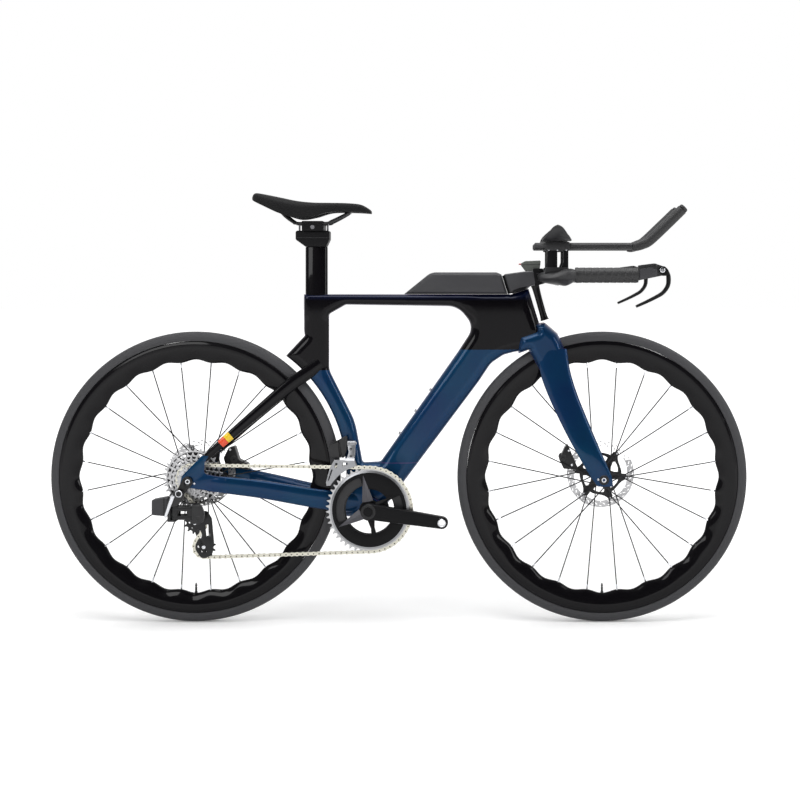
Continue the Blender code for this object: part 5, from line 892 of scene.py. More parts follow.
def span(start, end, side=ACROSS):
    """Place whose z runs from one point to another and whose x lies near a side direction."""
    z = (Vector(end) - Vector(start)).normalized()
    y = z.cross(Vector((1, 0, 0)) if z.cross(side).length < 1e-6 else side).normalized()
    turn = Matrix((y.cross(z), y, z)).transposed().to_4x4()
    return Matrix.Translation(start) @ turn


ONCE = (1, 1, 1)
print("tree inputs", [i.name for i in COPIES.interface.items_tree if i.in_out == "INPUT"])

# %% [markdown]
# ## Rims
# The inner edge of each rim waves in and out, 24 times round, and each spoke ends at a deep place. A plain
# ring is turned first. A second tree then pulls its points inwards by a cosine of their angle, fully at the
# inner edge and not at all at the tyre, so the wave fades out over the depth of the rim as it does on the
# real one.

# %% Tree of waves
RIM_RADIUS, RIM_INNER, WAVE, WAVES = 0.3165, 0.2702, 0.0030, 24


def wave_tree():
    tree, given, result = new_tree("waves_round_a_ring", "Ring", Ring="Geometry", Waves="Float",
                                   Height="Float", Inner="Float", Outer="Float", Finish="Material")
    axes = new_nodes(tree, "ShaderNodeSeparateXYZ")
    tree.links.new(new_nodes(tree, "GeometryNodeInputPosition").outputs[0], axes.inputs[0])
    x, y = axes.outputs["X"], axes.outputs["Y"]

    def product(*pair):
        return calc(tree, "MULTIPLY", *pair)

    radius = calc(tree, "SQRT", calc(tree, "ADD", product(x, x), product(y, y)))
    phase = calc(tree, "SUBTRACT", product(calc(tree, "ARCTAN2", y, x), given["Waves"]), pi)
    share = ranged(tree, radius, given["Outer"], given["Inner"], 0.0, 1.0, interpolation_type="SMOOTHSTEP")
    pull = product(product(calc(tree, "COSINE", phase), given["Height"]), share)
    factor = calc(tree, "DIVIDE", product(pull, -1.0), radius)
    shift = new_nodes(tree, "ShaderNodeCombineXYZ")
    move = new_nodes(tree, "GeometryNodeSetPosition")
    coat = new_nodes(tree, "GeometryNodeSetMaterial")
    linked(tree, (product(x, factor), shift.inputs[0]), (product(y, factor), shift.inputs[1]),
           (given["Ring"], move.inputs["Geometry"]), (shift.outputs[0], move.inputs["Offset"]),
           (move.outputs[0], coat.inputs["Geometry"]), (given["Finish"], coat.inputs["Material"]),
           (coat.outputs[0], result[0]))
    return tree


WAVE_TREE = wave_tree()


def both_flanks(side):
    """Profile of a ring from one half of it, whose last point is the middle."""
    return side + [(r, -h) for r, h in reversed(side[:-1])]


def make_rim(here):
    side = at(RIM_RADIUS, 0, (0, 12.2), (-0.8, 13), (-4.5, 13.4), (-5.6, 13.9))
    side += [(RIM_RADIUS - 0.0056 - 0.0395 * t, 0.0036 + 0.0104 * (1 - t ** 2.1) ** 0.75)
             for t in [k / 18 for k in range(1, 19)]]
    side += [(RIM_INNER + 0.0012 * (1 - sin(a)), 0.0036 * cos(a))
             for a in [pi / 2 * k / 4 for k in range(1, 5)]]
    ring = lathe(both_flanks(side), 16 * WAVES, LEVEL)
    bm = run_tree(WAVE_TREE, to_mesh(ring, "ring"), {"Waves": float(WAVES), "Height": WAVE,
                                                     "Inner": RIM_INNER + 0.002, "Outer": RIM_RADIUS - 0.020,
                                                     "Finish": finishes["rim_gloss"]})
    bm.transform(here)
    return bm


# %% [markdown]
# ## Tyres, hubs and valves
# A racing tyre is nearly round in section, with a slightly raised tread and a moulded line above the rim.
# The hub is turned in one profile: two flanges for the spokes, a slim barrel between, and the seat of the
# rotor.

# %% Turned parts of a wheel
WHEEL_HUBS = {
    "front": (AXLE_FRONT, mm((9.5, -49.7), (9.5, -42.5), (14.8, -42.5), (14.8, -33.5), (20, -30), (20, -25),
                             (11.5, -20), (11.5, 28), (19.5, 31), (19.5, 36), (11, 38), (9.5, 49.7))),
    "rear": (AXLE_REAR, mm((10, -70.7), (10, -59.5), (14.8, -59.5), (14.8, -50.5), (21.5, -39), (21.5, -34),
                           (12.5, -28), (12.5, 12), (22.5, 15), (22.5, 20), (11.5, 21.5), (11.5, 69),
                           (9, 69.2), (9, 70.7)))}
SPOKES, SPOKE_LEAN, FLANGE_OVER, EASE = 24, radians(64), 0.0190, 0.0008


def eased(profile):
    """Turned profile whose corners are chamfered."""
    out = [profile[0]]
    for before, here, after in zip(profile, profile[1:], profile[2:]):
        here = Vector(here)
        for other in (before, after):
            way = Vector(other) - here
            out.append(tuple(here + way.normalized() * min(EASE, way.length * 0.4)))
    return out + [profile[-1]]


def make_tyre(here):
    side = at(RIM_RADIUS, 0, (0.4, 10.6), (1, 12.2), (1.7, 12.7), (2.1, 12.6), (5, 13.7))
    for k in range(15):
        a = radians(90) * k / 14
        swell = 0.00025 * smooth_step((a - radians(36)) / radians(3))
        side.append((RIM_RADIUS + 0.0085 + (0.01375 + swell) * sin(a), (0.0139 + swell) * cos(a)))
    return lathe(both_flanks(side), 240, here)


def spoke_ends(hub):
    """Inner and outer end of each spoke, in the wheel's own plane."""
    flanges = [(r, h) for r, h in hub if r > FLANGE_OVER]
    ends = []
    for k in range(SPOKES):
        angle = 2 * pi * (k + 0.5) / SPOKES
        side = [p for p in flanges if (p[1] > 0) == bool(k % 2)]
        leading = 1 if (k // 2) % 2 else -1
        middle = sum(h for _, h in side) / len(side)
        inner = (*polar(side[0][0] - 0.003, angle + leading * SPOKE_LEAN), middle + leading * 0.0013)
        outer = (*polar(RIM_INNER - WAVE + 0.001, angle), -0.0022 if k % 2 else 0.0022)
        ends.append((Vector(inner), Vector(outer)))
    return ends


# %% Wheels
def make_wheel(which):
    axle, hub = WHEEL_HUBS[which]
    here = side_at(axle)
    node = which + "_hub_spokes"
    piece(which + "_tyre_round", make_tyre(here), "rubber", which + "_tyre", sharp=30)
    piece(which + "_rim_wavy", make_rim(here), "rim_gloss", which + "_rim", sharp=24)
    bored = [(0.0067, hub[0][1])] + eased(hub) + [(0.0067, hub[-1][1])]
    piece(which + "_hub", lathe(bored, 48, here), "black_alloy", node, sharp=30)
    spots, collars = [], []
    for inner, outer in spoke_ends(hub):
        place = here @ span(inner, outer, Vector((0, 0, 1)))
        length = (outer - inner).length
        spots.append((place, (1, 1, length)))
        collars.append((place @ Matrix.Translation((0, 0, length - 0.0125)), ONCE))
    bar = loft([[Vector((x, y, z)) for x, y in oval(0.0006, 0.0014, 8)] for z in (0, 1)])
    repeated(which + "_spokes", bar, spots, "spoke", node, sharp=50)
    collar = lathe(mm((1.1, 0), (1.9, 0.8), (1.9, 12), (1.5, 12.8)), 8, LEVEL, ring=False)
    repeated(which + "_nipples", collar, collars, "silver", node, sharp=40)
    foot = Matrix.Translation(axle + Vector((0, 0, -RIM_INNER - 0.004)))
    thread = [(2.6 - 0.3 * (k % 2), 5.2 + 0.7 * k) for k in range(14)]
    stem = mm((3.4, 0), (3.4, 4), (2.6, 4.6), *thread, (1.9, 15.5), (1.9, 17.2), (2.6, 17.6), (2.6, 20),
              (1.4, 20.6), (1.4, 23.8))
    beside(which + "_valve", lathe(stem, 16, foot, ring=False), "black_alloy", which + "_rim")


for which in WHEEL_HUBS:
    make_wheel(which)
print("wheels", len(made_pieces), "pieces so far")

# %% [markdown]
# ## Brake rotors
# A rotor is two parts: a thin steel track full of slots, and a black carrier with six hooked arms that
# holds it. Both are outlines with a thickness. The slots repeat round the track in three rows that lean
# forward.

# %% Rotors
ROTOR_SIDES = {"front": -0.038, "rear": -0.055}
SLOT_ROWS = ((0.0762, 0.00, 0.0034, 0.0011, 70), (0.0718, 0.11, 0.0040, 0.0012, 52),
             (0.0672, 0.01, 0.0028, 0.0010, 36))
HOOK = ((0.00, 0.0500), (0.16, 0.0500), (0.34, 0.0495), (0.52, 0.0505), (0.66, 0.0535), (0.76, 0.0590),
        (0.80, 0.0655), (0.90, 0.0655), (0.99, 0.0590), (1.0, 0.0520))
OPENING = ((0.10, 0.0415), (0.30, 0.0432), (0.50, 0.0440), (0.66, 0.0445), (0.72, 0.0400), (0.62, 0.0300),
           (0.42, 0.0250), (0.26, 0.0258), (0.12, 0.0330))


def slot_loop(radius, angle, long, wide, lean):
    c, s = cos(angle + lean), sin(angle + lean)
    x, y = polar(radius, angle)
    return [(x + px * c - py * s, y + px * s + py * c) for px, py in oval(long, wide, 8, 2.6)]


def track_loops():
    edge = [polar(0.0796 + 0.0004 * cos(12 * a), a) for a in [2 * pi * k / 144 for k in range(144)]]
    inner = [polar(0.0640 - 0.0009 * cos(6 * a), a) for a in [2 * pi * k / 72 for k in range(72)]]
    return [edge, inner] + [slot_loop(radius, 2 * pi * k / 24 + ahead, long, wide, radians(lean))
                            for k in range(24) for radius, ahead, long, wide, lean in SLOT_ROWS]


def carrier_loops():
    sixths = [[[polar(radius, pi / 3 * (k + turn)) for turn, radius in line] for line in (HOOK, OPENING)]
              for k in range(6)]
    return [[p for hook, _ in sixths for p in hook], circle(0.0152, 36)] + [opening for _, opening in sixths]


def make_rotor(which):
    side, here, node = ROTOR_SIDES[which], side_at(WHEEL_HUBS[which][0]), which + "_rotor"
    piece(node + "_track", sheet(track_loops(), side - 0.0009, side + 0.0009, here), "steel", node)
    beside(node + "_carrier", rounded(carrier_loops(), side - 0.0013, side + 0.0013, here, 0.4, 1),
           "black_alloy", node)
    rivet = lathe(mm((2.2, -1.8), (2.5, -1.4), (2.5, 1.4), (2.2, 1.8)), 12, LEVEL, ring=False)
    spots = [(here @ Matrix.Translation((*polar(radius, pi / 3 * (k + ahead)), side)), (size, size, 1))
             for k in range(6) for radius, ahead, size in ((0.0615, 0.845, 1), (0.0215, 0.2, 0.9))]
    repeated(node + "_rivets", rivet, spots, "silver", node)


for which in ROTOR_SIDES:
    make_rotor(which)

# %% [markdown]
# Each thru axle is a bar with a bright turned head on the drive side, round the bar's dark end.

# %% Thru axles
for which, reach in (("front", 56.2), ("rear", 77.2)):
    here, node = side_at(WHEEL_HUBS[which][0]), which + "_thru_axle"
    piece(which + "_axle_bar", lathe(mm((6, -reach), (6, reach), (5.6, reach + 0.6)), 32, here, ring=False),
          "black_alloy", node)
    ring = lathe(at(0, reach * MM, (2.8, 0.2), (6, 0.2), (6, 1), (5.4, 1.6), (3.4, 1.6), (2.8, 0.8)), 32,
                 here)
    beside(which + "_axle_head", ring, "silver", node)
print("rotors and axles ready")

# %% [markdown]
# ## Chain path
# A chain is a loop of straight runs and arcs round four toothed wheels. The path is worked out as a drawing
# would be: the common tangents of neighbouring pitch circles, joined by arcs. The lower pulley's place is
# read from the CAD model, and the pins stand at equal steps along the loop.

# %% Tangents and arcs
PITCH, CHAIN_SIDE = 0.0127, 0.0445
COGS = [10, 11, 12, 13, 14, 15, 16, 18, 21, 24, 28, 33]
COG_IN_USE, COG_PITCH, RING_TEETH, PULLEY_TEETH, PIN_COUNT = 16, 0.0037, 48, 12, 108


def node_centre(name):
    low, high = (Vector(p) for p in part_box(name))
    return flat((low + high) / 2)


def pitch_radius(teeth):
    return PITCH / (2 * sin(pi / teeth))


GUIDE, TENSION = node_centre("guide_pulley"), node_centre("tension_pulley")
WHEEL_ROW = [(flat(BB), pitch_radius(RING_TEETH), 1), (flat(AXLE_REAR), pitch_radius(COG_IN_USE), 1),
             (GUIDE, pitch_radius(PULLEY_TEETH), -1), (TENSION, pitch_radius(PULLEY_TEETH), 1)]


def tangent(one, two):
    """Ends of the line from wheel to wheel. A turn of 1 is anticlockwise."""
    (c1, r1, t1), (c2, r2, t2) = one, two
    d = c2 - c1
    way = atan2(d.y, d.x) + asin((t1 * r1 - t2 * r2) / d.length)
    normal = Vector((sin(way), -cos(way)))
    return c1 + normal * t1 * r1, c2 + normal * t2 * r2


def chain_points(count):
    joins = [tangent(WHEEL_ROW[k], WHEEL_ROW[(k + 1) % 4]) for k in range(4)]
    dense = []
    for k in range(4):
        leave, meet = joins[k]
        dense += [leave.lerp(meet, j / 400) for j in range(400)]
        c, r, turn = WHEEL_ROW[(k + 1) % 4]
        out = joins[(k + 1) % 4][0]
        start = atan2(meet.y - c.y, meet.x - c.x)
        swing = (atan2(out.y - c.y, out.x - c.x) - start) * turn % (2 * pi)
        dense += [c + Vector(polar(r, start + turn * swing * j / 200)) for j in range(200)]
    dense.append(dense[0])
    far = np.cumsum([0.0] + [(b - a).length for a, b in zip(dense, dense[1:])])
    goal = far[-1] * np.arange(count) / count
    xs, ys = (np.interp(goal, far, [p[i] for p in dense]) for i in (0, 1))
    return [Vector(p) for p in zip(xs, ys)], far[-1]


PINS, chain_length = chain_points(PIN_COUNT)
print("chain", round(chain_length, 4), "m, pitch", round(chain_length / PIN_COUNT * 1000, 3), "mm")

# %% [markdown]
# ## Chain links
# Outer and inner links take turns. Each link is two waisted side plates, and each pin carries a roller.
# These are three small shapes, and the tree of copies stands them along the loop: the chain's real
# repetition, made by one rule. The pins' ends are darker than the plates, so they are a piece of their own.

# %% Plates, rollers and pins
PLATE_THICK, OUTER_GAP, INNER_GAP = 0.00065, 0.00190, 0.00125


def waisted(high=0.0042, waist=0.0030, sides=5):
    """Outline of a side plate between two pins."""
    half = PITCH / 2
    right = arc(half, 0, high, radians(-112), radians(112), 2 * sides)
    left = arc(-half, 0, high, radians(68), radians(292), 2 * sides)
    return right + [(0, waist)] + left + [(0, -waist)]


spots = []
for k, (a, b) in enumerate(zip(PINS, PINS[1:] + PINS[:1])):
    way, middle = b - a, (a + b) / 2
    gap, tall = (INNER_GAP, 1) if k % 2 else (OUTER_GAP, 1.04)
    for side in (gap, -gap - PLATE_THICK):
        place = side_at((middle.x, -(CHAIN_SIDE + side), middle.y), atan2(way.y, way.x))
        spots.append((place, (1, tall, 1)))
on_pins = [(side_at((p.x, -CHAIN_SIDE, p.y)), ONCE) for p in PINS]
plates = copies(thin([waisted()], PLATE_THICK / 2, PLATE_THICK / 2 / MM, LEVEL, 0.2), spots, "chain")
roller = lathe(mm((2, -1.2), (3.6, -1.2), (3.6, 1.2), (2, 1.2)), 10, LEVEL)
piece("chain_links", join(plates, copies(roller, on_pins, "chain")), "chain", "chain", sharp=30)
pin = lathe(mm((1.1, -2.9), (1.6, -2.7), (1.6, 2.7), (1.1, 2.9)), 8, LEVEL, ring=False)
repeated("chain_pins", pin, on_pins, "pins", "chain", sharp=30)

# %% [markdown]
# ## Toothed wheels
# Every toothed wheel is the same outline with another number of teeth: a round seat for each roller, and a
# tooth between seats that leans in towards its tip. The seats of the wheels in use are set to the chain's
# pins, so the chain really sits in them.

# %% Teeth
def seat_phase(centre, teeth):
    r = pitch_radius(teeth)
    best = min(PINS, key=lambda p: abs((p - centre).length - r))
    return atan2(best.y - centre.y, best.x - centre.x)


def teeth_loop(teeth, phase=0.0, tip=0.0036, seat=0.0040):
    r, gap = pitch_radius(teeth), pi / teeth
    points = []
    for k in range(teeth):
        a = phase + 2 * pi * k / teeth
        for t in (radians(turn) for turn in (-58, -20, 20, 58)):
            x, y = r - seat * cos(t), seat * sin(t)
            points.append(polar(hypot(x, y), a + atan2(y, x)))
        for rise, aside in ((0.55, -0.0017), (1, -0.0006), (1, 0.0006), (0.55, 0.0017)):
            points.append(polar(r + tip * rise, a + gap + aside / r))
    return points


def window(start, end, inner, outer, ease):
    """Opening between two angles in degrees and two radii, with rounded corners."""
    a, b = radians(start), radians(end)
    corners = ([(*polar(outer, a + (b - a) * k / 12), ease if k in (0, 12) else 0) for k in range(13)]
               + [(*polar(inner, b - (b - a) * k / 6), ease if k in (0, 6) else 0) for k in range(7)])
    return fillet(corners, radians(30))


# %% Cassette
def make_cassette(here, centre):
    bright, dark = [], []
    for k, teeth in enumerate(COGS):
        side = CHAIN_SIDE + (COGS.index(COG_IN_USE) - k) * COG_PITCH
        phase = seat_phase(centre, teeth) if teeth == COG_IN_USE else 0.37 * k
        r = pitch_radius(teeth)
        loops = [teeth_loop(teeth, phase), circle(max(0.0127, r - 0.0068), 40)]
        bright.append(thin(loops, side, 0.75, here, 0.35))
        if r > 0.030:
            rim = r - 0.0062
            holes = [window(60 * j + 9 * k + 9, 60 * j + 9 * k + 51, 0.0165, rim - 0.003, 0.002)
                     for j in range(6)]
            dark.append(sheet([circle(rim + 0.0008, 48), circle(0.0127, 24)] + holes, side - 0.0007,
                              side + 0.0005, here))
    low, high = CHAIN_SIDE - 5 * COG_PITCH - 0.0014, CHAIN_SIDE + 6 * COG_PITCH + 0.0012
    core = at(0, low, (12.7, 0), (14.8, 0)) + at(0, high, (14.8, -0.4), (14.3, 0), (12.7, 0))
    piece("cassette_cogs", join(*bright), "steel", "cassette", sharp=25)
    beside("cassette_arms", join(*dark, lathe(core, 48, here)), "black_alloy", "cassette", sharp=25)
    notches = [polar(0.0142 if j % 2 else 0.0128, 2 * pi * (j // 2 * 2 + j % 2 * 1.1) / 24)
               for j in range(24)]
    ring = rounded([circle(0.0165, 48), notches], high - 0.0004, high + 0.0010, here, 0.4, 2)
    beside("cassette_lock_ring", ring, "silver", "cassette", sharp=25)


make_cassette(side_at(AXLE_REAR), flat(AXLE_REAR))

# %% [markdown]
# ## Crankset
# Two toothed rings stand on one black carrier with wide openings. Its arms are ridges that end in a point;
# the two long ones are grey all over, a painted highlight. The crank arms are tapered bars with soft edges,
# a grey painted highlight on the lower flank and a pedal eye.

# %% Chainrings
INNER_TEETH, INNER_SIDE, DISC = 35, CHAIN_SIDE - 0.0070, 0.0008
here = side_at(BB)
ring_phase = seat_phase(flat(BB), RING_TEETH)
rings = [thin([teeth_loop(RING_TEETH, ring_phase), circle(0.0840, 144)], CHAIN_SIDE, 0.9, here),
         thin([teeth_loop(INNER_TEETH), circle(0.0640, 96)], INNER_SIDE, 0.9, here)]
discs = [sheet([circle(outer, count), circle(inner, 96)], side - DISC, side + DISC, here)
         for outer, count, inner, side in ((0.0842, 144, 0.0600, CHAIN_SIDE),
                                           (0.0642, 96, 0.0560, INNER_SIDE))]
web = lathe(at(0, CHAIN_SIDE, (58.2, -7.6), (63.2, -7.6), (63.2, 0.6), (58.2, 0.6)), 96, here)
machined = lathe(at(0, CHAIN_SIDE, (85.8, 0), (90.5, 0), (90.5, 1.2), (89.8, 1.6), (85.8, 3)), 144, here)
piece("toothed_rings", join(*rings), "steel", "chainrings", sharp=25)
beside("ring_discs", join(*discs, web), "matte_carbon", "chainrings", sharp=25)
beside("ring_shoulder", machined, "satin", "chainrings", sharp=25)

# %% Carrier and ridges
FACE, RIDGE_START = CHAIN_SIDE + 0.0012, 0.0200
windows = [window(*row) for row in ((106, 203, 0.0235, 0.0775, 0.005), (215, 275, 0.0250, 0.0570, 0.006),
                                    (287, 345, 0.0250, 0.0570, 0.006), (34, 91, 0.0240, 0.0480, 0.008),
                                    (1, 26, 0.0460, 0.0775, 0.004))]
carrier = rounded([circle(0.0858, 144), circle(0.0183, 48)] + windows, FACE, FACE + 0.0042, here, steps=2)
piece("ring_carrier", carrier, "crank", "chainring_spider", sharp=30)


def ridge(angle, length, wide, rise):
    """Pointed arm with a crest along its middle."""
    a = radians(angle)
    way, across = Vector((*polar(1, a), 0)), Vector((*polar(1, a + pi / 2), 0))
    rows = []
    for t in (0.0, 0.15, 0.35, 0.6, 0.85, 1.0):
        half = across * (wide * (1 - t) ** 0.9 + 0.0004)
        middle = way * (RIDGE_START + (length - RIDGE_START) * t) + Vector((0, 0, FACE + 0.0038))
        top = middle + Vector((0, 0, rise * (1 - 0.75 * t)))
        rows.append([here @ p for p in (middle - half, middle + half, top + half * 0.12, top - half * 0.12)])
    return loft(rows)


# The two long ridges are grey, a painted highlight; the two short ones keep the crank's black.
for name, look, angles, sizes in (("carrier_ridges", "painted_highlight_grey", (100, 209), (0.0815, 0.0125, 0.0052)),
                                  ("carrier_low_ridges", "crank", (281, 30), (0.060, 0.0085, 0.0030))):
    beside(name, join(*[ridge(a, *sizes) for a in angles]), look, "chainring_spider", sharp=20)

# %% Crank arms
CRANK, DROOP, ARM_SIDE, ARM_THICK = 0.170, radians(-8.7), 0.0590, 0.0140
ARM_TOP, ARM_NEAR, ARM_FAR = ARM_SIDE + ARM_THICK, 0.0185, 0.0140
PEDAL_EYE = Matrix.Translation((CRANK, 0, 0))


def crank_arm(place, tube_low, middle):
    """Bar with a root boss, a painted highlight on its lower flank and a threaded eye for the pedal."""
    lean = acos((ARM_NEAR - ARM_FAR) / CRANK)
    line = arc(0, 0, ARM_NEAR, lean, 2 * pi - lean, 40) + arc(CRANK, 0, ARM_FAR, -lean, lean, 28)
    layers = [(0.0012, ARM_SIDE), (0, ARM_SIDE + 0.0012)]
    layers += [(i, ARM_TOP - h) for i, h in reversed(rim_curve(0.0040, 6))]
    body = plate([densely(line, 0.010), circle(0.0078, 32, CRANK)], layers, place)
    boss = lathe(mm((14.6, tube_low), (18, tube_low), (18, 60), (14.6, 60)), 48, middle)
    # A grey patch over the lower flank is a painted highlight.
    flank = fillet(mm((62, -12.5, 2), (100, -11.8, 2), (93, -15.2, 2), (72, -16, 2)))
    highlight_patch = plate([flank], [(0.0003, ARM_TOP - 0.0042), (0.0003, ARM_TOP - 0.0010)], place)
    eye = lathe(at(0, ARM_TOP, (7.1, -14.2), (9.5, -14.2), (9.5, -0.3), (8.8, 0.3), (7.4, 0.3), (7.1, 0)),
                40, place @ PEDAL_EYE)
    return join(body, boss), highlight_patch, eye


right = side_at(BB, DROOP)
LEFT = Matrix.Translation(BB) @ Matrix.Rotation(-2 * DROOP, 4, "Y") @ Matrix.Rotation(pi, 4, "Z")
left = LEFT @ Matrix.Translation(-BB) @ right
spindle = lathe(mm((12.5, -72.8), (14.5, -72.2), (14.5, 60), (12.5, 60)), 48, here, ring=False)
hub_cap = at(0, ARM_TOP, (16.5, -0.6), (17.2, -0.6), (17.2, 0.4), (16.6, 1), (11.2, 1), (10.6, -0.4))
screw = at(0, ARM_TOP, (4, -3), (10, -3), (10, -1.2), (9.4, -0.6), (4.6, -0.6), (4, -1.4))
body, highlight_patch, eye = crank_arm(right, 45.3, here)
piece("crank_right", join(body, spindle), "crank", "crank_arm_right", sharp=30)
for name, bm, look in (("cap", lathe(hub_cap, 48, here), "black_alloy"), ("flank", highlight_patch, "painted_highlight_grey"),
                       ("eye", eye, "silver"), ("screw", lathe(screw, 36, here), "plastic")):
    beside("crank_right_" + name, bm, look, "crank_arm_right", sharp=30)
body, highlight_patch, eye = crank_arm(left, 46, LEFT @ Matrix.Translation(-BB) @ here)
piece("crank_left", body, "crank", "crank_arm_left", sharp=30)
pinch = lathe(mm((1.2, 0), (2.8, 0), (2.8, 29), (2.2, 29.6), (1.2, 29.6)), 16, (
    left @ Matrix.Translation((0.0175, -0.0148, ARM_SIDE + 0.007)) @ Matrix.Rotation(-pi / 2, 4, "X")))
for name, bm, look in (("flank", highlight_patch, "painted_highlight_grey"), ("eye", eye, "silver"), ("pinch_bolt", pinch, "steel")):
    beside("crank_left_" + name, bm, look, "crank_arm_left", sharp=30)
print("drive", len(made_pieces), "pieces so far")

# %% [markdown]
# ## Rear derailleur
# A derailleur is a parallelogram: a fixed knuckle on the hanger, two links, and a moving knuckle that
# carries the sprung cage with its two pulleys. The two knuckles are the same shape turned round, so one
# function makes both. Each link is two rails between upright posts, so daylight shows through it as in the
# photograph.

# %% Hanger, knuckles and links
ax, az = AXLE_REAR.x, AXLE_REAR.z
HANGER_SIDE, KNUCKLE_SIDE = 0.0783, 0.0836
BOLT = (ax - 0.0165, az - 0.0254)
HINGES = (ax - 0.0295, ax + 0.0105)
LINK_SIDES, LINK_LOW, LINK_HIGH, EAR = (0.0650, 0.0840), az - 0.0850, az - 0.0560, 0.0045


def belt(one, two, count=14):
    """Outline round two circles, each given as (x, y, radius)."""
    (x1, y1, r1), (x2, y2, r2) = one, two
    way = atan2(y2 - y1, x2 - x1)
    lean = acos((r1 - r2) / hypot(x2 - x1, y2 - y1))
    return (arc(x1, y1, r1, way + lean, way + 2 * pi - lean, count)
            + arc(x2, y2, r2, way - lean, way + lean, count))


def round_bar(start, end, radius, sides=16):
    """Bar with chamfered ends."""
    length = (Vector(end) - Vector(start)).length
    ease = min(0.0005, radius * 0.3)
    return lathe([(radius - ease, 0), (radius, ease), (radius, length - ease), (radius - ease, length)],
                 sides, span(start, end), ring=False)


def cross_bar(x, z, start, end, radius, sides=16):
    """Round bar across the bicycle, between two distances to the drive side."""
    return round_bar((x, -start, z), (x, -end, z), radius, sides)


def knuckle(x, toward):
    """Two ears joined by a web on the side away from the links."""
    back, near, far = x + toward * 0.0135, -(LINK_SIDES[0] - 0.0062), -(LINK_SIDES[1] + 0.0058)
    tip, inside = x - toward * 0.0055, x + toward * 0.0066
    ear = fillet([(back, near, 0.002), (tip, near, 0.003), (tip, far, 0.003), (back, far, 0.002)])
    web = fillet([(inside, near), (back, near, 0.002), (back, far, 0.002), (inside, far)])
    return [rounded([ear], LINK_LOW - EAR, LINK_LOW - 0.0003, LEVEL, 1),
            rounded([ear], LINK_HIGH + 0.0003, LINK_HIGH + EAR, LEVEL, 1),
            rounded([web], LINK_LOW - EAR + 0.0004, LINK_HIGH + EAR - 0.0004, LEVEL, 0.6, 2)]


def head(x, z, side, radius, high=0.0014, socket=0.45):
    """Bolt head with a socket, on a face that looks out to the drive side."""
    return lathe([(radius * socket, side), (radius, side), (radius, side + high * 0.7),
                  (radius * 0.88, side + high), (radius * socket, side + high)], 24, side_at((x, z)))


hanger = rounded([belt((ax, az, 0.0120), (*BOLT, 0.0085)), circle(0.0072, 32, ax, az),
                  circle(0.0040, 24, *BOLT)], HANGER_SIDE, HANGER_SIDE + 0.0050, edge=0.6, steps=2)
piece("hanger", hanger, "black_alloy", "derailleur_hanger")

arm = slab(at(ax, az, (-28.5, -21, 5), (-6.5, -19, 9), (-5.5, -33, 9), (-20.5, -55, 2), (-42.5, -55, 2),
              (-43, -41, 3)), KNUCKLE_SIDE, KNUCKLE_SIDE + 0.0080, edge=2, steps=4)
stub = cross_bar(*BOLT, HANGER_SIDE, KNUCKLE_SIDE + 0.002, 0.0036)
battery = slab(at(ax, az, (-79, -40, 4), (-79, -74, 4), (-42, -77.5, 2), (-42, -33, 5)), 0.0660, 0.0900,
               edge=2.6, steps=4)
latch = slab(at(ax, az, (-52, -35.5, 1), (-52, -76, 1), (-49, -76.5, 1), (-49, -34.5, 1)), 0.0652, 0.0908,
             edge=0.5, steps=2)
piece("derailleur_fixed_body", join(*knuckle(HINGES[0], -1), arm, stub), "plastic", "derailleur_knuckle")
beside("derailleur_battery", battery, "box_shell", "derailleur_knuckle")
beside("derailleur_battery_latch", latch, "black_alloy", "derailleur_knuckle")
side = KNUCKLE_SIDE + 0.0078
ring = lathe(at(0, side, (6.2, 0), (8, 0), (8, 1), (7.4, 1.6), (6.2, 1.6)), 40, side_at(BOLT))
rod = rounded([belt(*at(ax, az, (-30.5, -32, 4.4), (-46.2, -76.5, 3)))], side - 0.0004, side + 0.0012,
              edge=0.6, steps=2)
beside("derailleur_bright_parts", join(ring, rod), "silver", "derailleur_knuckle")
beside("derailleur_hanger_bolt", head(*BOLT, side - 0.0002, 0.0060), "black_alloy", "derailleur_knuckle")


def make_link(side):
    """Two rails between round posts, in plan a bar round both hinges."""
    plan = belt((HINGES[0], -side, 0.0050), (HINGES[1], -side, 0.00499))
    holes = [circle(0.0026, 12, x, -side) for x in HINGES]
    rails = [rounded([plan] + holes, low, high, LEVEL, 0.9, 2)
             for low, high in ((LINK_LOW, LINK_LOW + 0.0090), (LINK_HIGH - 0.0095, LINK_HIGH))]
    posts = [sheet([belt((x, -side, 0.0048), (x + shift, -side, 0.00475)), hole], LINK_LOW + 0.006,
                   LINK_HIGH - 0.006, LEVEL) for x, shift, hole in zip(HINGES, (0.0060, -0.0060), holes)]
    return join(*rails, *posts)


for which, side in zip(("outer", "inner"), reversed(LINK_SIDES)):
    piece(f"derailleur_{which}_link_frame", make_link(side), "black_alloy", f"derailleur_{which}_link")
reach = EAR + 0.0004
for x, name, node in zip(HINGES, ("fixed", "moving"), ("derailleur_knuckle", "derailleur_moving_knuckle")):
    pins = [round_bar((x, -side, LINK_LOW - reach), (x, -side, LINK_HIGH + reach), 0.0020)
            for side in LINK_SIDES]
    beside(f"derailleur_{name}_pins", join(*pins), "silver", node)

# %% [markdown]
# The moving knuckle ends in a barrel with the cage spring. A moulded cover hides its side. The cage is one
# long plate outside and a short one inside; small windows round the lower pulley let the white background
# through.

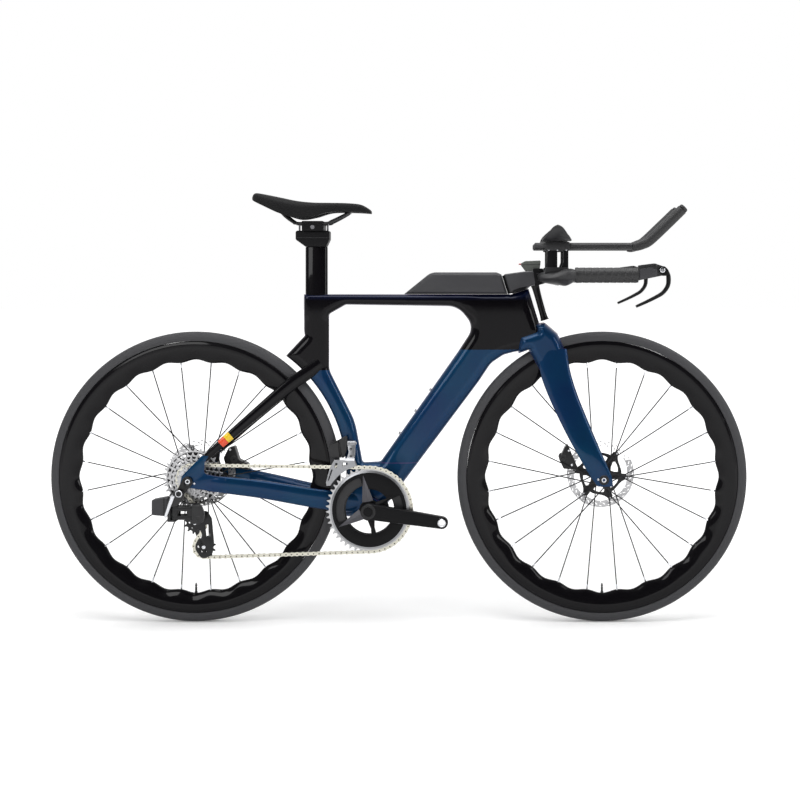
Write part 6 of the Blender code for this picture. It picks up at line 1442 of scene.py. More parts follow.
# %% Moving knuckle, cage and pulleys
CAGE_PIVOT = Vector((ax + 0.0265, az - 0.0850))
CAGE_OUT, CAGE_IN, CAGE_PLATE, BARREL_OUT = 0.0515, 0.0375, 0.0018, 0.0906
barrel = (at(0, CAGE_OUT, (6.4, 1.2), (8.8, 1.2), (10, 2.4))
          + at(0, BARREL_OUT, (10, -2.4), (9.4, -0.9), (8.2, 0), (3, 0), (3, -14), (6.4, -14.6)))
cover = slab(at(ax, az, (16, -51, 6), (33, -50, 14), (40.5, -70, 14), (37.5, -93, 8), (12, -95, 4),
                (12, -56, 4)), 0.0785, 0.0900, edge=3, steps=5)
piece("derailleur_moving_body", join(*knuckle(HINGES[1], 1), lathe(barrel, 40, side_at(CAGE_PIVOT)), cover),
      "plastic", "derailleur_moving_knuckle")

toward = TENSION - CAGE_PIVOT
cage_turn = Matrix.Rotation(atan2(toward.y, toward.x) - atan2(-0.0704, -0.0028), 2)


def around(*rows):
    """Outline of corners given from the cage's pivot, turned with the cage."""
    return fillet([(*(CAGE_PIVOT + cage_turn @ Vector(p[:2])), p[2]) for p in mm(*rows)])


cage_loops = [around((-7, 12, 10), (13, 13, 10), (22, -6, 10), (22, -64, 30), (15, -90, 12), (-7, -98, 14),
                     (-19, -84, 12), (-3, -46, 20), (-7, -30, 8), (-25, -26, 10), (-30, -8, 10)),
              around((5, -19, 3), (14, -19, 3), (14, -48, 3), (6, -48, 3))]
for angle in (118, 162, 206, 250, 300):
    x, y = TENSION + Vector(polar(0.0098, radians(angle)))
    cage_loops.append([(x + px, y + py) for px, py in oblong(0, 0, -1.8, -2.2, 1.8, 2.2, 1)])
outer = rounded(cage_loops, CAGE_OUT - CAGE_PLATE, CAGE_OUT, edge=0.4, steps=2)
gap = belt((*GUIDE.lerp(TENSION, 0.35), 0.0040), (*GUIDE.lerp(TENSION, 0.68), 0.0045))
inner = rounded([belt((*GUIDE, 0.0100), (*TENSION, 0.0120)), gap], CAGE_IN, CAGE_IN + 0.0016, edge=0.4,
                steps=2)
stub = cross_bar(*CAGE_PIVOT, CAGE_OUT - 0.001, 0.0752, 0.0058, 32)
axles = [cross_bar(*p, CAGE_IN - 0.0004, CAGE_OUT + 0.0002, 0.0027) for p in (GUIDE, TENSION)]
heads = [head(*p, CAGE_OUT - 0.0002, 0.0042) for p in (GUIDE, TENSION)]
piece("cage_plates", join(outer, inner, stub), "black_alloy", "derailleur_cage")
beside("cage_bolts", join(*axles, *heads), "silver", "derailleur_cage")

for name, centre in (("guide", GUIDE), ("tension", TENSION)):
    here = side_at(centre)
    windows = [circle(0.0024, 12, *polar(0.0135, 2 * pi * k / 6)) for k in range(6)]
    teeth = teeth_loop(PULLEY_TEETH, seat_phase(centre, PULLEY_TEETH), 0.0024)
    piece(name + "_pulley_wheel", thin([teeth, circle(0.0070, 24)] + windows, CHAIN_SIDE, 1, here),
          "plastic", name + "_pulley", sharp=25)
    hub = at(0, CHAIN_SIDE, (3.1, -4.2), (6.8, -4.2), (7.5, -3.4), (7.5, 3.4), (6.8, 4.2), (3.1, 4.2))
    beside(name + "_pulley_hub", lathe(hub, 32, here), "black_alloy", name + "_pulley")
print("rear derailleur", len(made_pieces), "pieces so far")

# %% [markdown]
# ## Front derailleur
# A battery and a motor sit side by side in one black body with a seam between them. Below, a bright arm
# carries the cage, two thin plates that follow the chainring with long slots at the tail.

# %% Front derailleur
bx, bz = BB.x, BB.z
FD_SPLIT, FD_FRONT = bx - 0.0535, bx - 0.0340
FD_AXIS = Vector((0, -0.0300, bz + 0.1510))
FD_IN, FD_OUT, FD_PLATE = 0.0390, 0.0500, 0.0011
cell = slab(at(bx, bz, (-96.4, 146.8, 5), (-90, 118, 5), (-67.2, 118, 1), (-73.7, 158.8, 1)), 0.0180, 0.0380,
            edge=2.2, steps=4)
motor = slab(at(bx, bz, (-72.3, 159.6, 1), (-66, 118, 1), (-59.5, 118, 4), (-53.5, 137, 3),
                (-53.5, 170.5, 4), (-64.4, 164, 10)), 0.0186, 0.0374, edge=2.2, steps=4)
core = sheet([at(bx, bz, (-78, 124), (-64, 124), (-64, 156), (-78, 150))], 0.0200, 0.0360)
piece("front_derailleur_body", join(cell, motor, core), "plastic", "front_derailleur")
pin = round_bar((FD_SPLIT - 0.004, FD_AXIS.y, FD_AXIS.z), (FD_FRONT + 0.0023, FD_AXIS.y, FD_AXIS.z), 0.0027)
beside("front_derailleur_pin", pin, "steel", "front_derailleur")

back = FD_SPLIT + 0.0006
boss_ring = lathe(mm((3.1, 0), (5.6, 0), (6.2, 0.6))
                  + at(0, FD_FRONT - back, (6.2, -0.6), (5.6, 0), (3.1, 0)), 32,
                  Matrix.Translation((back, FD_AXIS.y, FD_AXIS.z)) @ Matrix.Rotation(pi / 2, 4, "Y"))


def level_loop(tail, inner, outer, rise):
    edge, soft = FD_FRONT - 0.0003, 0.0008
    return [Vector((x, -side, bz + rise)) for x, side in fillet(
        [(tail, inner, soft), (edge, inner, soft), (edge, outer, soft), (tail, outer, soft)], radians(30))]


web = loft([level_loop(*row) for row in (
    (back, 0.0262, 0.0338, 0.1482), (back + 0.0020, 0.0280, 0.0360, 0.1420),
    (back + 0.0040, 0.0320, 0.0395, 0.1300), (back, 0.0380, 0.0425, 0.1190),
    (back - 0.0100, 0.0394, 0.0496, 0.1125))])
clear = pitch_radius(RING_TEETH) + 0.0036 + 0.0049
low_a, high_a = radians(106), radians(148)
cage_side = ([(bx - 0.0990, bz + clear * sin(high_a))]
             + at(bx, bz, (-99.5, 64), (-91.5, 95), (-81.5, 114), (-34, 114))
             + [(bx + clear * cos(low_a), bz + clear * sin(low_a) + 0.0002)]
             + arc(bx, bz, clear, low_a, high_a, 24)[1:])
slots = [fillet(at(bx, bz, *row)) for row in (
    ((-96.2, 66, 1), (-93.5, 66.8, 1), (-84, 93, 1), (-88, 93, 1)),
    ((-80, 96.5, 1), (-74.5, 97.5, 1), (-73, 108, 1), (-78.5, 108, 1)),
    ((-62, 101, 1), (-50, 104, 1), (-50, 109, 1), (-62, 109, 1)))]
plates = [rounded([cage_side] + slots, low, low + FD_PLATE, edge=0.3, steps=1)
          for low in (FD_IN, FD_OUT - FD_PLATE)]
bridge = slab(at(bx, bz, (-82.5, 110.6, 1), (-35, 110.6, 1), (-35, 113.7, 1), (-81.2, 113.7, 1)),
              FD_IN + 0.0002, FD_OUT - 0.0002, edge=0.4, steps=1)
piece("front_cage", join(boss_ring, web, bridge, *plates), "satin", "front_derailleur_cage")
screws = [head(*row) for row in ((bx - 0.0440, bz + 0.1385, 0.0365, 0.0030),
                                 (bx - 0.0430, bz + 0.1225, 0.0408, 0.0026))]
beside("front_cage_screws", join(*screws), "black_alloy", "front_derailleur_cage")

# %% [markdown]
# ## Brake calipers
# Each caliper keeps the CAD shape, with its slot for the rotor, and gets rounded edges. A round piston cap
# is set on each face, and two mounting bolts go through it.

# %% Calipers
def facing(place, distance, way):
    """The place moved out along its z, turned over where way is -1."""
    return place @ Matrix.Translation((0, 0, distance)) @ Matrix.Rotation(0 if way > 0 else pi, 4, "X")


CAP = mm((2, 0), (8.8, 0), (8.8, 0.8), (7.8, 1.6), (3, 1.6))
for which, cap, bolts in (("front", (-90.5, 39.5), ((-76, 56), (-69, 22))),
                          ("rear", (79, 33), ((70, 56), (102, 18)))):
    axle, rotor, node = flat(WHEEL_HUBS[which][0]), ROTOR_SIDES[which], which + "_brake_caliper"
    dress(node, width=0.0014, steps=3)
    place = side_at(at(*axle, cap)[0])
    caps = [lathe(CAP, 40, facing(place, rotor + way * 0.0121, way)) for way in (1, -1)]
    beside(node + "_caps", join(*caps), "plastic", node)
    bars = [cross_bar(*p, rotor - 0.0136, rotor + 0.0136, 0.0026) for p in at(*axle, *bolts)]
    beside(node + "_bolts", join(*bars), "silver", node)
print("mechanisms", len(made_pieces), "pieces so far")

# %% [markdown]
# ## Stem and base bar
# The stem is a block whose side continues the line of the storage box, with well-rounded edges, and a round
# black barrel shows behind it. The base bar is a carbon wing, thick at the stem and round at the hands.
# Between them it has a keel, so its section there is nearly a diamond, and the edges of the keel catch the
# light.

# %% Stem, collar and base bar
BAR_Z = TOP_TUBE_Z + 0.0435
BAR_C = Vector((HEAD_TOP.x + 0.06055, 0, BAR_Z - 0.004))
BAR_RADIUS, TAPE_RADIUS, BAR_HALF = 0.0125, 0.0168, 0.200
GRIP_START = BAR_C.x + 0.055
GRIP_END = GRIP_START + 0.137
HEAD_UP = (HEAD_TOP - CROWN_POINT).dot(STEER_UP)
STEM_LOW, PAD_UP, STEM_SWEEP = HEAD_UP + 0.0050, 0.0612, 0.0296


def pair(name, bm, look, node, sharp=34, hide=True):
    """A piece on the right and its mirror image on the left."""
    other = mirrored(bm)
    return [piece(f"{name}_{side}", mesh, look, f"{node}_{side}", sharp, hide)
            for side, mesh in (("right", bm), ("left", other))]


low_rear, low_front = (flat(on_steer(ahead, STEM_LOW)) for ahead in (-0.0262, 0.0735))
stem_line = [(*low_rear, 0.002), (*low_front, 0.006),
             *at(HEAD_TOP.x, BAR_Z, (64.2, 12.2, 4), (9.7, 9.8, 60), (-42, 2.7, 6))]
stem_block = slab(stem_line, -0.0200, 0.0200, edge=4.6, steps=6)
for vertex in stem_block.verts:
    there = vertex.co - HEAD_TOP
    ahead, reach = there.dot(STEER_AHEAD), hypot(there.dot(STEER_AHEAD), there.y)
    if ahead < 0 and reach > STEM_SWEEP and there.dot(STEER_UP) < 0.06:
        vertex.co -= (STEER_AHEAD * ahead + Vector((0, there.y, 0))) * (1 - STEM_SWEEP / reach)
piece("stem_block", stem_block, "box_shell", "stem")
collar = at(0, HEAD_UP, (12, 0.3), (18.4, 0.3), (19, 1)) + at(0, STEM_LOW, (25.5, -0.6), (25.5, 0), (12, 0))
beside("headset_cover", lathe(collar, 64, STEER), "black_alloy", "stem")
nose = [(-0.0300 * cos(radians(a)), 0.0300 * sin(radians(a))) for a in range(-34, 35, 4)]
barrel = plate([nose + mm((-18, 16.8), (-18, -16.8))],
               [(0.0006, STEM_LOW - 0.0024), (0, STEM_LOW - 0.0018), (0, HEAD_UP + 0.0470),
                (0.0006, HEAD_UP + 0.0476)], STEER)
beside("stem_rear_barrel", barrel, "crank", "stem", sharp=30)
cap = lathe(mm((3, 0), (9, 0), (9, 1.2), (8, 2.2), (3.6, 2.2)), 32,
            Matrix.Translation(on_steer(0.0010, 0.1752)) @ Matrix.Rotation(-radians(8), 4, "Y"))
beside("stem_top_bolt", cap, "silver", "stem")

stations = [
    (BAR_C.x, 0.0, BAR_C.z, 0.0210, 0.0125, 2.4), (BAR_C.x, 0.026, BAR_C.z, 0.0210, 0.0125, 2.4),
    (BAR_C.x + 0.010, 0.062, BAR_C.z - 0.002, 0.0258, 0.0124, 2.2),
    (BAR_C.x + 0.026, 0.110, BAR_C.z - 0.003, 0.0262, 0.0150, 1.55),
    (BAR_C.x + 0.036, 0.155, BAR_C.z - 0.001, 0.0228, 0.0186, 1.4),
    (BAR_C.x + 0.046, BAR_HALF - 0.016, BAR_Z - 0.001, 0.0180, 0.0158, 1.7),
    (GRIP_START - 0.007, BAR_HALF, BAR_Z, BAR_RADIUS, BAR_RADIUS, 2.0)]
half_rows = smooth_stations(stations, 6) + [(GRIP_END, BAR_HALF, BAR_Z, BAR_RADIUS, BAR_RADIUS, 2.0)]
rows = [(x, -side, *rest) for x, side, *rest in reversed(half_rows[1:])] + half_rows
bar = sweep([(x, -side, z) for x, side, z, *_ in rows],
            [[(px * deep, py * high) for px, py in oval(1, 1, 40, power)] for *_, deep, high, power in rows])
piece("base_bar_skin", bar, "matte_carbon", "base_bar", sharp=50)

# %% [markdown]
# ## Bar tape
# Tape is wound in a spiral. Where a turn meets the one before, there is a soft groove, and each turn stands
# a little higher at its leading edge. Both depend on height plus angle, so they run round the grip as one
# line.

# %% Bar tape
TAPE_TURN, TAPE_DEPTH, TAPE_ROWS, TAPE_SOFT = 0.0150, 0.0011, 0.0011, 0.0006


def wound_tape(place, length):
    count = ceil(length / TAPE_ROWS)
    heights = [0.0] + [0.0005 + (length - 0.001) * k / count for k in range(count + 1)] + [length]
    inner = BAR_RADIUS + 0.0003
    profile = [(inner, 0.0)] + [(TAPE_RADIUS, h) for h in heights] + [(inner, length)]

    def radius_at(i, r, a):
        if i in (0, len(profile) - 1):
            return r
        h = profile[i][1]
        soft = TAPE_SOFT if h < 0.0004 or h > length - 0.0004 else 0.0
        turn = (h / TAPE_TURN + a / (2 * pi)) % 1.0
        groove = 1 - smooth_step(min(turn, 1 - turn) / 0.13)
        return r - soft - TAPE_DEPTH * (0.30 * (1 - turn) + 0.70 * groove)

    return lathe(profile, 40, place, radius_at=radius_at)


along = Matrix.Translation((GRIP_START, -BAR_HALF, BAR_Z)) @ Matrix.Rotation(pi / 2, 4, "Y")
pair("bar_tape", wound_tape(along, GRIP_END - GRIP_START), "tape", "grip_tape", sharp=60)
band = lathe(at(TAPE_RADIUS, 0, (-1.2, 0.8), (0.1, 1.2), (0.1, 7), (-1.2, 7.4)), 48, along)
pair("tape_band", band, "plastic", "grip_tape", hide=False)

# %% [markdown]
# ## Brake levers
# The body is a dark core with a grey flank over its lower half and a thin grey rim along the top, which
# leaves the dark hollow between them. The lever is a slim hooked blade with a crest along its middle.

# %% Brake lever bodies
PIVOT = Vector((GRIP_END + 0.052, -BAR_HALF, BAR_Z + 0.0110))
px, pz = PIVOT.x, PIVOT.z
start = GRIP_END + 0.0003
here = side_at((0, -BAR_HALF, 0))
core = [*at(start, BAR_Z, (0, -11.5, 1)),
        *at(px, pz, (0.5, -11.8, 6), (7.4, -6, 6), (4.2, 8, 8), (-17, 15, 20)),
        *at(start, BAR_Z, (0, 21.5, 3))]
wide = [*at(start, BAR_Z, (0, -11.3, 2)),
        *at(px, pz, (-11.7, -12.4, 1), (-11.7, 12.8, 1), (-17, 14.8, 10)),
        *at(start, BAR_Z, (0, 21.3, 3))]
flank = [*at(start, BAR_Z, (0.4, -11.1, 2)),
         *at(px, pz, (-11.7, -12, 1), (-11.7, 1, 4), (-25, 6.2, 10)),
         *at(start, BAR_Z, (0.4, 12.5, 3))]
rim = [*at(start, BAR_Z, (0.4, 17.6, 1)),
       *at(px, pz, (-18, 11.2, 10), (-11.7, 9.2, 1), (-11.7, 12.8, 1), (-17, 14.8, 10)),
       *at(start, BAR_Z, (0.4, 21.3, 2))]
body = join(slab(core, -0.0055, 0.0055, here, 2, 4), slab(wide, -0.0104, 0.0104, here, 2.2, 4))
pair("lever_body", body, "plastic", "brake_lever_body")
sides = [slab(line, low, low + 0.0030, here, 1) for line in (flank, rim) for low in (-0.0125, 0.0095)]
pair("lever_body_flanks", join(*sides), "box_shell", "brake_lever_body", hide=False)
pins = cross_bar(px, pz, BAR_HALF + 0.0093, BAR_HALF - 0.0093, 0.0033, 24)
pair("lever_pin", pins, "silver", "brake_lever_body", hide=False)

# %% Brake levers
centre = side_at(PIVOT)
cheek_line = fillet(mm((-8.5, 0, 6), (-5, -7.8, 5), (2, -12.5, 3), (13.2, -12.2, 4), (12.5, 1, 4),
                       (5, 8.5, 5), (-4, 8.5, 6)))
cheeks = [rounded([cheek_line, circle(0.0037, 24)], low, low + 0.0036, centre, 0.9)
          for low in (-0.0094, 0.0058)]
rows = smooth_stations(mm((11.2, 0, 8.6, 2.4), (14, -14, 8.8, 5), (12.8, -33, 8.3, 4.8), (2, -49, 8, 4.4),
                          (-14, -59, 7.8, 4), (-33, -68.5, 7.5, 3.6), (-54.5, -78.3, 7, 3),
                          (-56, -79, 5.2, 2.2)), 6)
finger = sweep([PIVOT + Vector((x, 0, z)) for x, z, _, _ in rows],
               [[(sx * t, sy * w) for sx, sy in oval(1, 1, 24, 1.7)] for *_, w, t in rows], ACROSS)
pair("lever_blade", join(finger, *cheeks), "crank", "brake_lever", sharp=40)
shine = mm((3.7, 0), (5.6, 0), (5.6, 0.5), (5, 0.9), (3.7, 0.9))
shine = [lathe(shine, 32, facing(centre, way * 0.0092, way)) for way in (1, -1)]
pair("lever_pivot_rings", join(*shine), "silver", "brake_lever", hide=False)

# %% [markdown]
# ## Arm rests
# Two pillars stand on the bar and hold a clamp round each extension. On the clamp sits a curved cup for the
# forearm, which narrows to a fin on the outside. The foam pad in it is thickest in the middle and has a
# seam near its edge, where the cover is stitched to the backing.

# %% Risers
EXT_Y, EXT_Z = 0.055, BAR_Z + 0.0675
x0 = BAR_C.x
here = side_at((0, -EXT_Y, 0))
shelf = slab(at(x0, BAR_Z, (-6, 4.5, 1), (45, 4.5, 1), (50, 19.2, 3), (-4, 19.2, 3)), -0.0130, 0.0130, here,
             1.2)
rear = rounded([oblong(x0, BAR_Z, -0.8, 15, 22.9, 63, 0)], -0.0110, 0.0110, here, 1.6)
front = slab(at(x0, BAR_Z, (30.9, 15), (48.2, 15), (48.2, 63), (36.7, 63), (36.7, 31, 6)), -0.0110, 0.0110,
             here, 1.4)
clamp = [rounded([oblong(x0, EXT_Z, -5, -11, 51, 9.7, 3, 4)], a, b, here, 1.2)
         for a, b in ((-0.0140, -0.0114), (0.0114, 0.0140))]
bands = [rounded([oblong(x0, EXT_Z, -5, a, 51, b, 1)], -0.0130, 0.0130, here, 0.7, 2)
         for a, b in ((-10.8, -8.2), (8.2, 9.6))]
pair("riser_pillars", join(rear, front), "crank", "arm_riser")
pair("riser_shelf_and_clamp", join(shelf, *clamp, *bands), "matte_carbon", "arm_riser", hide=False)
bolts = [cross_bar(*p, EXT_Y + 0.0147, EXT_Y + 0.0120, 0.0019)
         for p in at(x0, EXT_Z, (3, -9.4), (23, -9.4), (43, -9.4))]
pair("riser_bolts", join(*bolts), "silver", "arm_riser", hide=False)

# %% Cups and pads
CUP_AXIS = Vector((x0 + 0.0210, -EXT_Y - 0.0280, EXT_Z + 0.0635))
CUP_RADIUS, CUP_WALL, CUP_HALF, PAD_THICK = 0.0530, 0.0025, 0.0330, 0.0085


def across_cup(count, section):
    """Loft round the forearm, from the inner edge to the fin on the outside."""
    rows = []
    for k in range(count + 1):
        t = k / count
        angle = radians(-48 + 116 * t)
        fade = max(0.0, abs(2 * t - 0.90) - 0.35) / 0.75
        half = CUP_HALF * (1 - 0.62 * min(1.0, fade) ** 2.2)
        if t > 0.5:
            up = (t - 0.5) / 0.5
            fin = sqrt(max(0.0, 1 - (max(0.0, up - 0.55) / 0.46) ** 2))
            half = max(CUP_HALF * (1 - 0.44 * smooth_step(up * 1.15)) * fin, 0.0030)
        down = Vector((0, -sin(angle), -cos(angle)))
        rows.append([CUP_AXIS + down * r + Vector((x, 0, 0)) for x, r in section(half, t)])
    return loft(rows)


def cup_section(half, _):
    out, soft = CUP_RADIUS, 0.0009
    within = out - CUP_WALL
    return [(-half, out - soft), (-half + soft, out), (half - soft, out), (half, out - soft),
            (half, within + soft), (half - soft, within), (-half + soft, within), (-half, within + soft)]


def pad_section(half, t):
    """Crowned foam: flat underneath, full in the middle, with a stitched dip near its edge."""
    swell = min(1.0, 5.0 * min(t, 1 - t) + 0.18) ** 0.5
    under, wide = CUP_RADIUS - CUP_WALL - 0.0003, half - 0.002
    top = [(-1.0, 0.0), (-1.0, 0.30), (-0.97, 0.52), (-0.92, 0.66), (-0.86, 0.70), (-0.83, 0.64),
           (-0.80, 0.72), (-0.70, 0.88), (-0.50, 0.97), (-0.25, 1.02), (0.0, 1.04)]
    line = top + [(-x, h) for x, h in reversed(top[:-1])]
    return [(wide * x, under - PAD_THICK * swell * h) for x, h in line]


pair("forearm_cup", across_cup(40, cup_section), "matte_carbon", "arm_cup", sharp=50)
for pad in pair("forearm_pad", across_cup(48, pad_section), "cover", "arm_pad", sharp=70):
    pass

# %% [markdown]
# ## Extensions
# Straight oval tubes run forward from the clamps. Beyond them plain moulded grips sweep up and end square.
# A dark button closes each grip, and a plug closes the tube behind.

# %% Extensions, grips and buttons
TUBE_LONG, TUBE_BACK = 0.2237, x0 - 0.0290
EXT_END = TUBE_BACK + TUBE_LONG
TIP = Vector((x0 + 0.3100, -EXT_Y, EXT_Z + 0.0840))
BEND = Vector((x0 + 0.2784, -EXT_Y, EXT_Z + 0.0534))


def straight_tube(start, ends, count):
    """Level oval tube; each of its ends is (distance, share of the full size)."""
    return sweep([(start + x, -EXT_Y, EXT_Z) for x, _ in ends],
                 [oval(0.0110 * k, 0.0078 * k, count, 2.2) for _, k in ends])


tube = straight_tube(TUBE_BACK, [(0.0, 0.80), (0.0006, 0.92), (0.0020, 1.0), (TUBE_LONG, 1.0)], 36)
pair("extension_tube", tube, "matte_carbon", "extension")
plug = straight_tube(TUBE_BACK - 0.0012, [(0.0, 0.55), (0.0004, 0.70), (0.0020, 0.74), (0.0032, 0.74)], 24)
pair("extension_plug", plug, "rubber", "extension", hide=False)

rows = [(EXT_END + 0.0010, EXT_Z, 0.84), (EXT_END + 0.0103, EXT_Z, 0.94),
        (EXT_END + 0.0253, EXT_Z + 0.0050, 1.0), (EXT_END + 0.0423, EXT_Z + 0.0143, 1.0),
        (*flat(BEND), 1.0), (*flat(TIP), 0.98)]
rows = smooth_stations(rows, 6)
grip = sweep([(x, -EXT_Y, z) for x, z, _ in rows], [oval(0.0119 * k, 0.0119 * k, 40, 2.2) for *_, k in rows])
pair("extension_grip_skin", grip, "grip", "extension_grip", sharp=60)

out = (TIP - BEND).normalized()
rise = -ACROSS.cross(out)
button = loft([[TIP + out * (0.0011 + far * MM) + Vector((0, -x * 0.0112 * k, 0)) + rise * (y * 0.0112 * k)
                for x, y in oval(1, 1, 32, 2.2)]
               for far, k in ((0, 0.90), (0.4, 0.94), (4.4, 0.94), (5.8, 0.88), (6.8, 0.78), (7.3, 0.62))])
pair("button_cap", button, "plastic", "shift_button")

# %% [markdown]
# ## Control box and brace
# A small wireless unit is strapped to the top of the stem, with a red tab at its rear. The strap is a dark
# band with a row of slots. In front of the head a slim brace joins the crown to the underside of the stem.

# %% Control box, strap and fork brace
top = HEAD_TOP.x
case = slab(at(top, BAR_Z, (11.6, 10.4, 1), (44.6, 11.6, 2), (47.6, 35.5, 3), (11.1, 34, 3), (1.6, 29, 2),
               (1.4, 24, 2)), -0.0125, 0.0125, edge=1.8, steps=4)
piece("control_box_case", case, "unit_shell", "control_box")
seam = sheet([at(top, BAR_Z, (3, 24.6), (46.4, 25.6), (46.6, 26.6), (2.6, 25.6))], -0.0127, 0.0127)
beside("control_box_seam", seam, "black_alloy", "control_box")
tab = slab(at(top, BAR_Z, (-4, 25.4, 1), (3, 25, 1), (3, 28.4, 1), (-4, 28, 1)), -0.0060, 0.0060, edge=0.6,
           steps=2)
beside("control_box_tab", tab, "red", "control_box")

strap_line = [(top + 0.0285, BAR_Z + 0.0165), (top + 0.0350, BAR_Z - 0.0236), (top + 0.0588, BAR_Z - 0.0168),
              (top + 0.0525, BAR_Z + 0.0165)]
SLOT_LONG, SLOT_SOFT = 0.065, 0.0006


def in_strap(u, v):
    """Point of the strap's side, u across it and v down it, both from 0 to 1."""
    a, b, c, d = (Vector(p) for p in strap_line)
    return tuple(a.lerp(d, u).lerp(b.lerp(c, u), v))


slots = [fillet([(*in_strap(u, v + down), SLOT_SOFT)
                 for u, down in ((0.28, 0), (0.80, 0), (0.80, SLOT_LONG), (0.28, SLOT_LONG))], radians(45))
         for v in (0.28, 0.42, 0.56, 0.70)]
strap_sides = [rounded([fillet([(*p, 0.002) for p in strap_line])] + slots, low, low + 0.0014, edge=0.3,
                       steps=1)
               for low in (-0.0213, 0.0199)]
a, b = in_strap(0, 1), in_strap(1, 1)
under = slab(at(*a, (0, -0.6, 0.4)) + at(*b, (0, -0.6, 0.4), (0, 1, 0.4)) + at(*a, (0, 1, 0.4)), -0.0208,
             0.0208, edge=0.3, steps=1)
beside("control_strap", join(*strap_sides, under), "crank", "stem")

low, high = PAD_UP + 0.0003, STEM_LOW - 0.0003
rows = smooth_stations([(low, 0.0345, 0.0105, 0.0085), (low + 0.010, 0.0345, 0.0085, 0.0080),
                        ((low + high) / 2, 0.0355, 0.0080, 0.0075), (high - 0.010, 0.0368, 0.0088, 0.0080),
                        (high, 0.0372, 0.0105, 0.0090)], 8)
brace = loft([[on_steer(ahead + x * deep, up, y * half) for x, y in oval(1, 1, 32, 2.2)]
              for up, ahead, deep, half in rows])
piece("brace_tube", brace, "lacquer", "fork_brace")

# %% Storage box
foot = HEAD_TOP + STEER_AHEAD * -0.0305
slope = STEER_UP.x / STEER_UP.z
z0, z1, z2, tail = TOP_TUBE_Z + 0.0003, TOP_TUBE_Z + 0.0465, TOP_TUBE_Z + 0.0513, HEAD_TOP.x - 0.2725
box_outline = fillet([(tail, z0), (foot.x + slope * (z0 - foot.z), z0),
                      (foot.x + slope * (z1 - foot.z), z1, 0.004), (HEAD_TOP.x - 0.0559, z2, 0.010),
                      (tail + 0.0630, z2, 0.034)])


def box_half(x, y, d):
    return (0.0100 + 0.0095 * smooth_step((x - tail + 0.002) / 0.10)) * bulge(d, 0.009, 2.4)


piece("storage_box_case", pillow([densely(box_outline)], box_half, 0.0045), "box_shell", "storage_box",
      sharp=45)
print("cockpit", len(made_pieces), "pieces so far")

# %% [markdown]
# ## Seatpost and clamp
# The post is a flat carbon blade that slides in the seat tube. Its head is a block with a cradle for the
# two rails, drawn together by side bolts.

# %% Seatpost, clamp and rails
x0, POST_TOP = BB.x - 0.1285, TOP_TUBE_Z + 0.1105
RAIL_Z = POST_TOP + 0.0546
post = loft([[Vector((x0 + x * k, y * k, z)) for x, y in oval(0.0260, 0.0100, 56, 2.6)]
             for z, k in ((TOP_TUBE_Z - 0.105, 1.0), (POST_TOP - 0.0012, 1.0), (POST_TOP - 0.0003, 0.98),
                          (POST_TOP, 0.95))])
piece("seatpost_blade", post, "lacquer", "seatpost")
block = slab(at(x0, POST_TOP, (-24, 0.3, 2), (24, 0.3, 2), (31.7, 17.2, 6), (31.7, 38.1, 5),
                (-47.4, 38.1, 5), (-47.4, 17.2, 6)), -0.0150, 0.0150, edge=2.8, steps=5)
cradles = [rounded([oblong(x0, POST_TOP, -31, a, 19, b, 2, 4)], -0.0270, 0.0270, edge=1.6)
           for a, b in ((37, 54), (55, 60))]
piece("saddle_clamp_block", join(block, *cradles), "crank", "saddle_clamp")
bolts = [cross_bar(x0 - 0.0060, RAIL_Z - 0.0088, way * 0.0262, way * 0.0276, 0.0050, 28) for way in (1, -1)]
bolts += [round_bar((x0 + x, 0, POST_TOP + 0.0341), (x0 + x, 0, POST_TOP + 0.0586), 0.0022)
          for x in (-0.0400, 0.0262)]
beside("saddle_clamp_bolts", join(*bolts), "grey", "saddle_clamp")
band = rounded([oblong(x0, POST_TOP, -46.6, 20.7, 30.9, 22.2, 1)], -0.0152, 0.0152, edge=0.4, steps=1)
beside("saddle_clamp_seam", band, "matte_carbon", "saddle_clamp")

bends = off(x0, RAIL_Z, (-108, 26, 44), (-86, 25, 33), (-69, 24, 16), (-52, 22, 3.4), (-41, 22, 0),
            (23, 22, 0), (37, 21, 4.4), (63, 16, 17.4), (78, 10, 26.4))
path = smooth_stations(bends + [(x, -y, z) for x, y, z in reversed(bends)], 6)
piece("saddle_rail_wire", sweep(path, oval(0.0035, 0.0035, 16)), "black_alloy", "saddle_rails")

# %% [markdown]
# ## Saddle
# The padding and the shell are two skins of the same form, lofted from tail to nose. The padding is foam
# under a cover: it is crowned, has a shallow relief channel along its middle, and a seam runs round its
# skirt.

# %% Saddle
SADDLE_LONG, SADDLE_HALF, SADDLE_HIGH, SADDLE_TAIL = 0.271, 0.0655, 0.070, x0 - 0.143
SHARES = [(0.0000, 0.6107, 0.8914, 0.7629), (0.0295, 0.8550, 0.9886, 0.6914),
          (0.1144, 0.9847, 0.9414, 0.5343), (0.2435, 1.0000, 0.8414, 0.3057),
          (0.3764, 0.8550, 0.7386, 0.1629), (0.5092, 0.6565, 0.6914, 0.2200),
          (0.6494, 0.5038, 0.6857, 0.3629), (0.7970, 0.4351, 0.6771, 0.3771),
          (0.9151, 0.4046, 0.6271, 0.3629), (0.9815, 0.3282, 0.4914, 0.3414),
          (1.0000, 0.2290, 0.4200, 0.3343)]
PADDING, SHELL, SKIN_GAP = 0.0085, 0.0030, 0.0012
SEAM_DEEP, CHANNEL_DEEP, CHANNEL_HALF = 0.0006, 0.0034, 0.0085
saddle_rows = smooth_stations([(SADDLE_TAIL + SADDLE_LONG * t, SADDLE_HALF * w,
                                RAIL_Z + SADDLE_HIGH * top, RAIL_Z + SADDLE_HIGH * low)
                               for t, w, top, low in SHARES], 7)


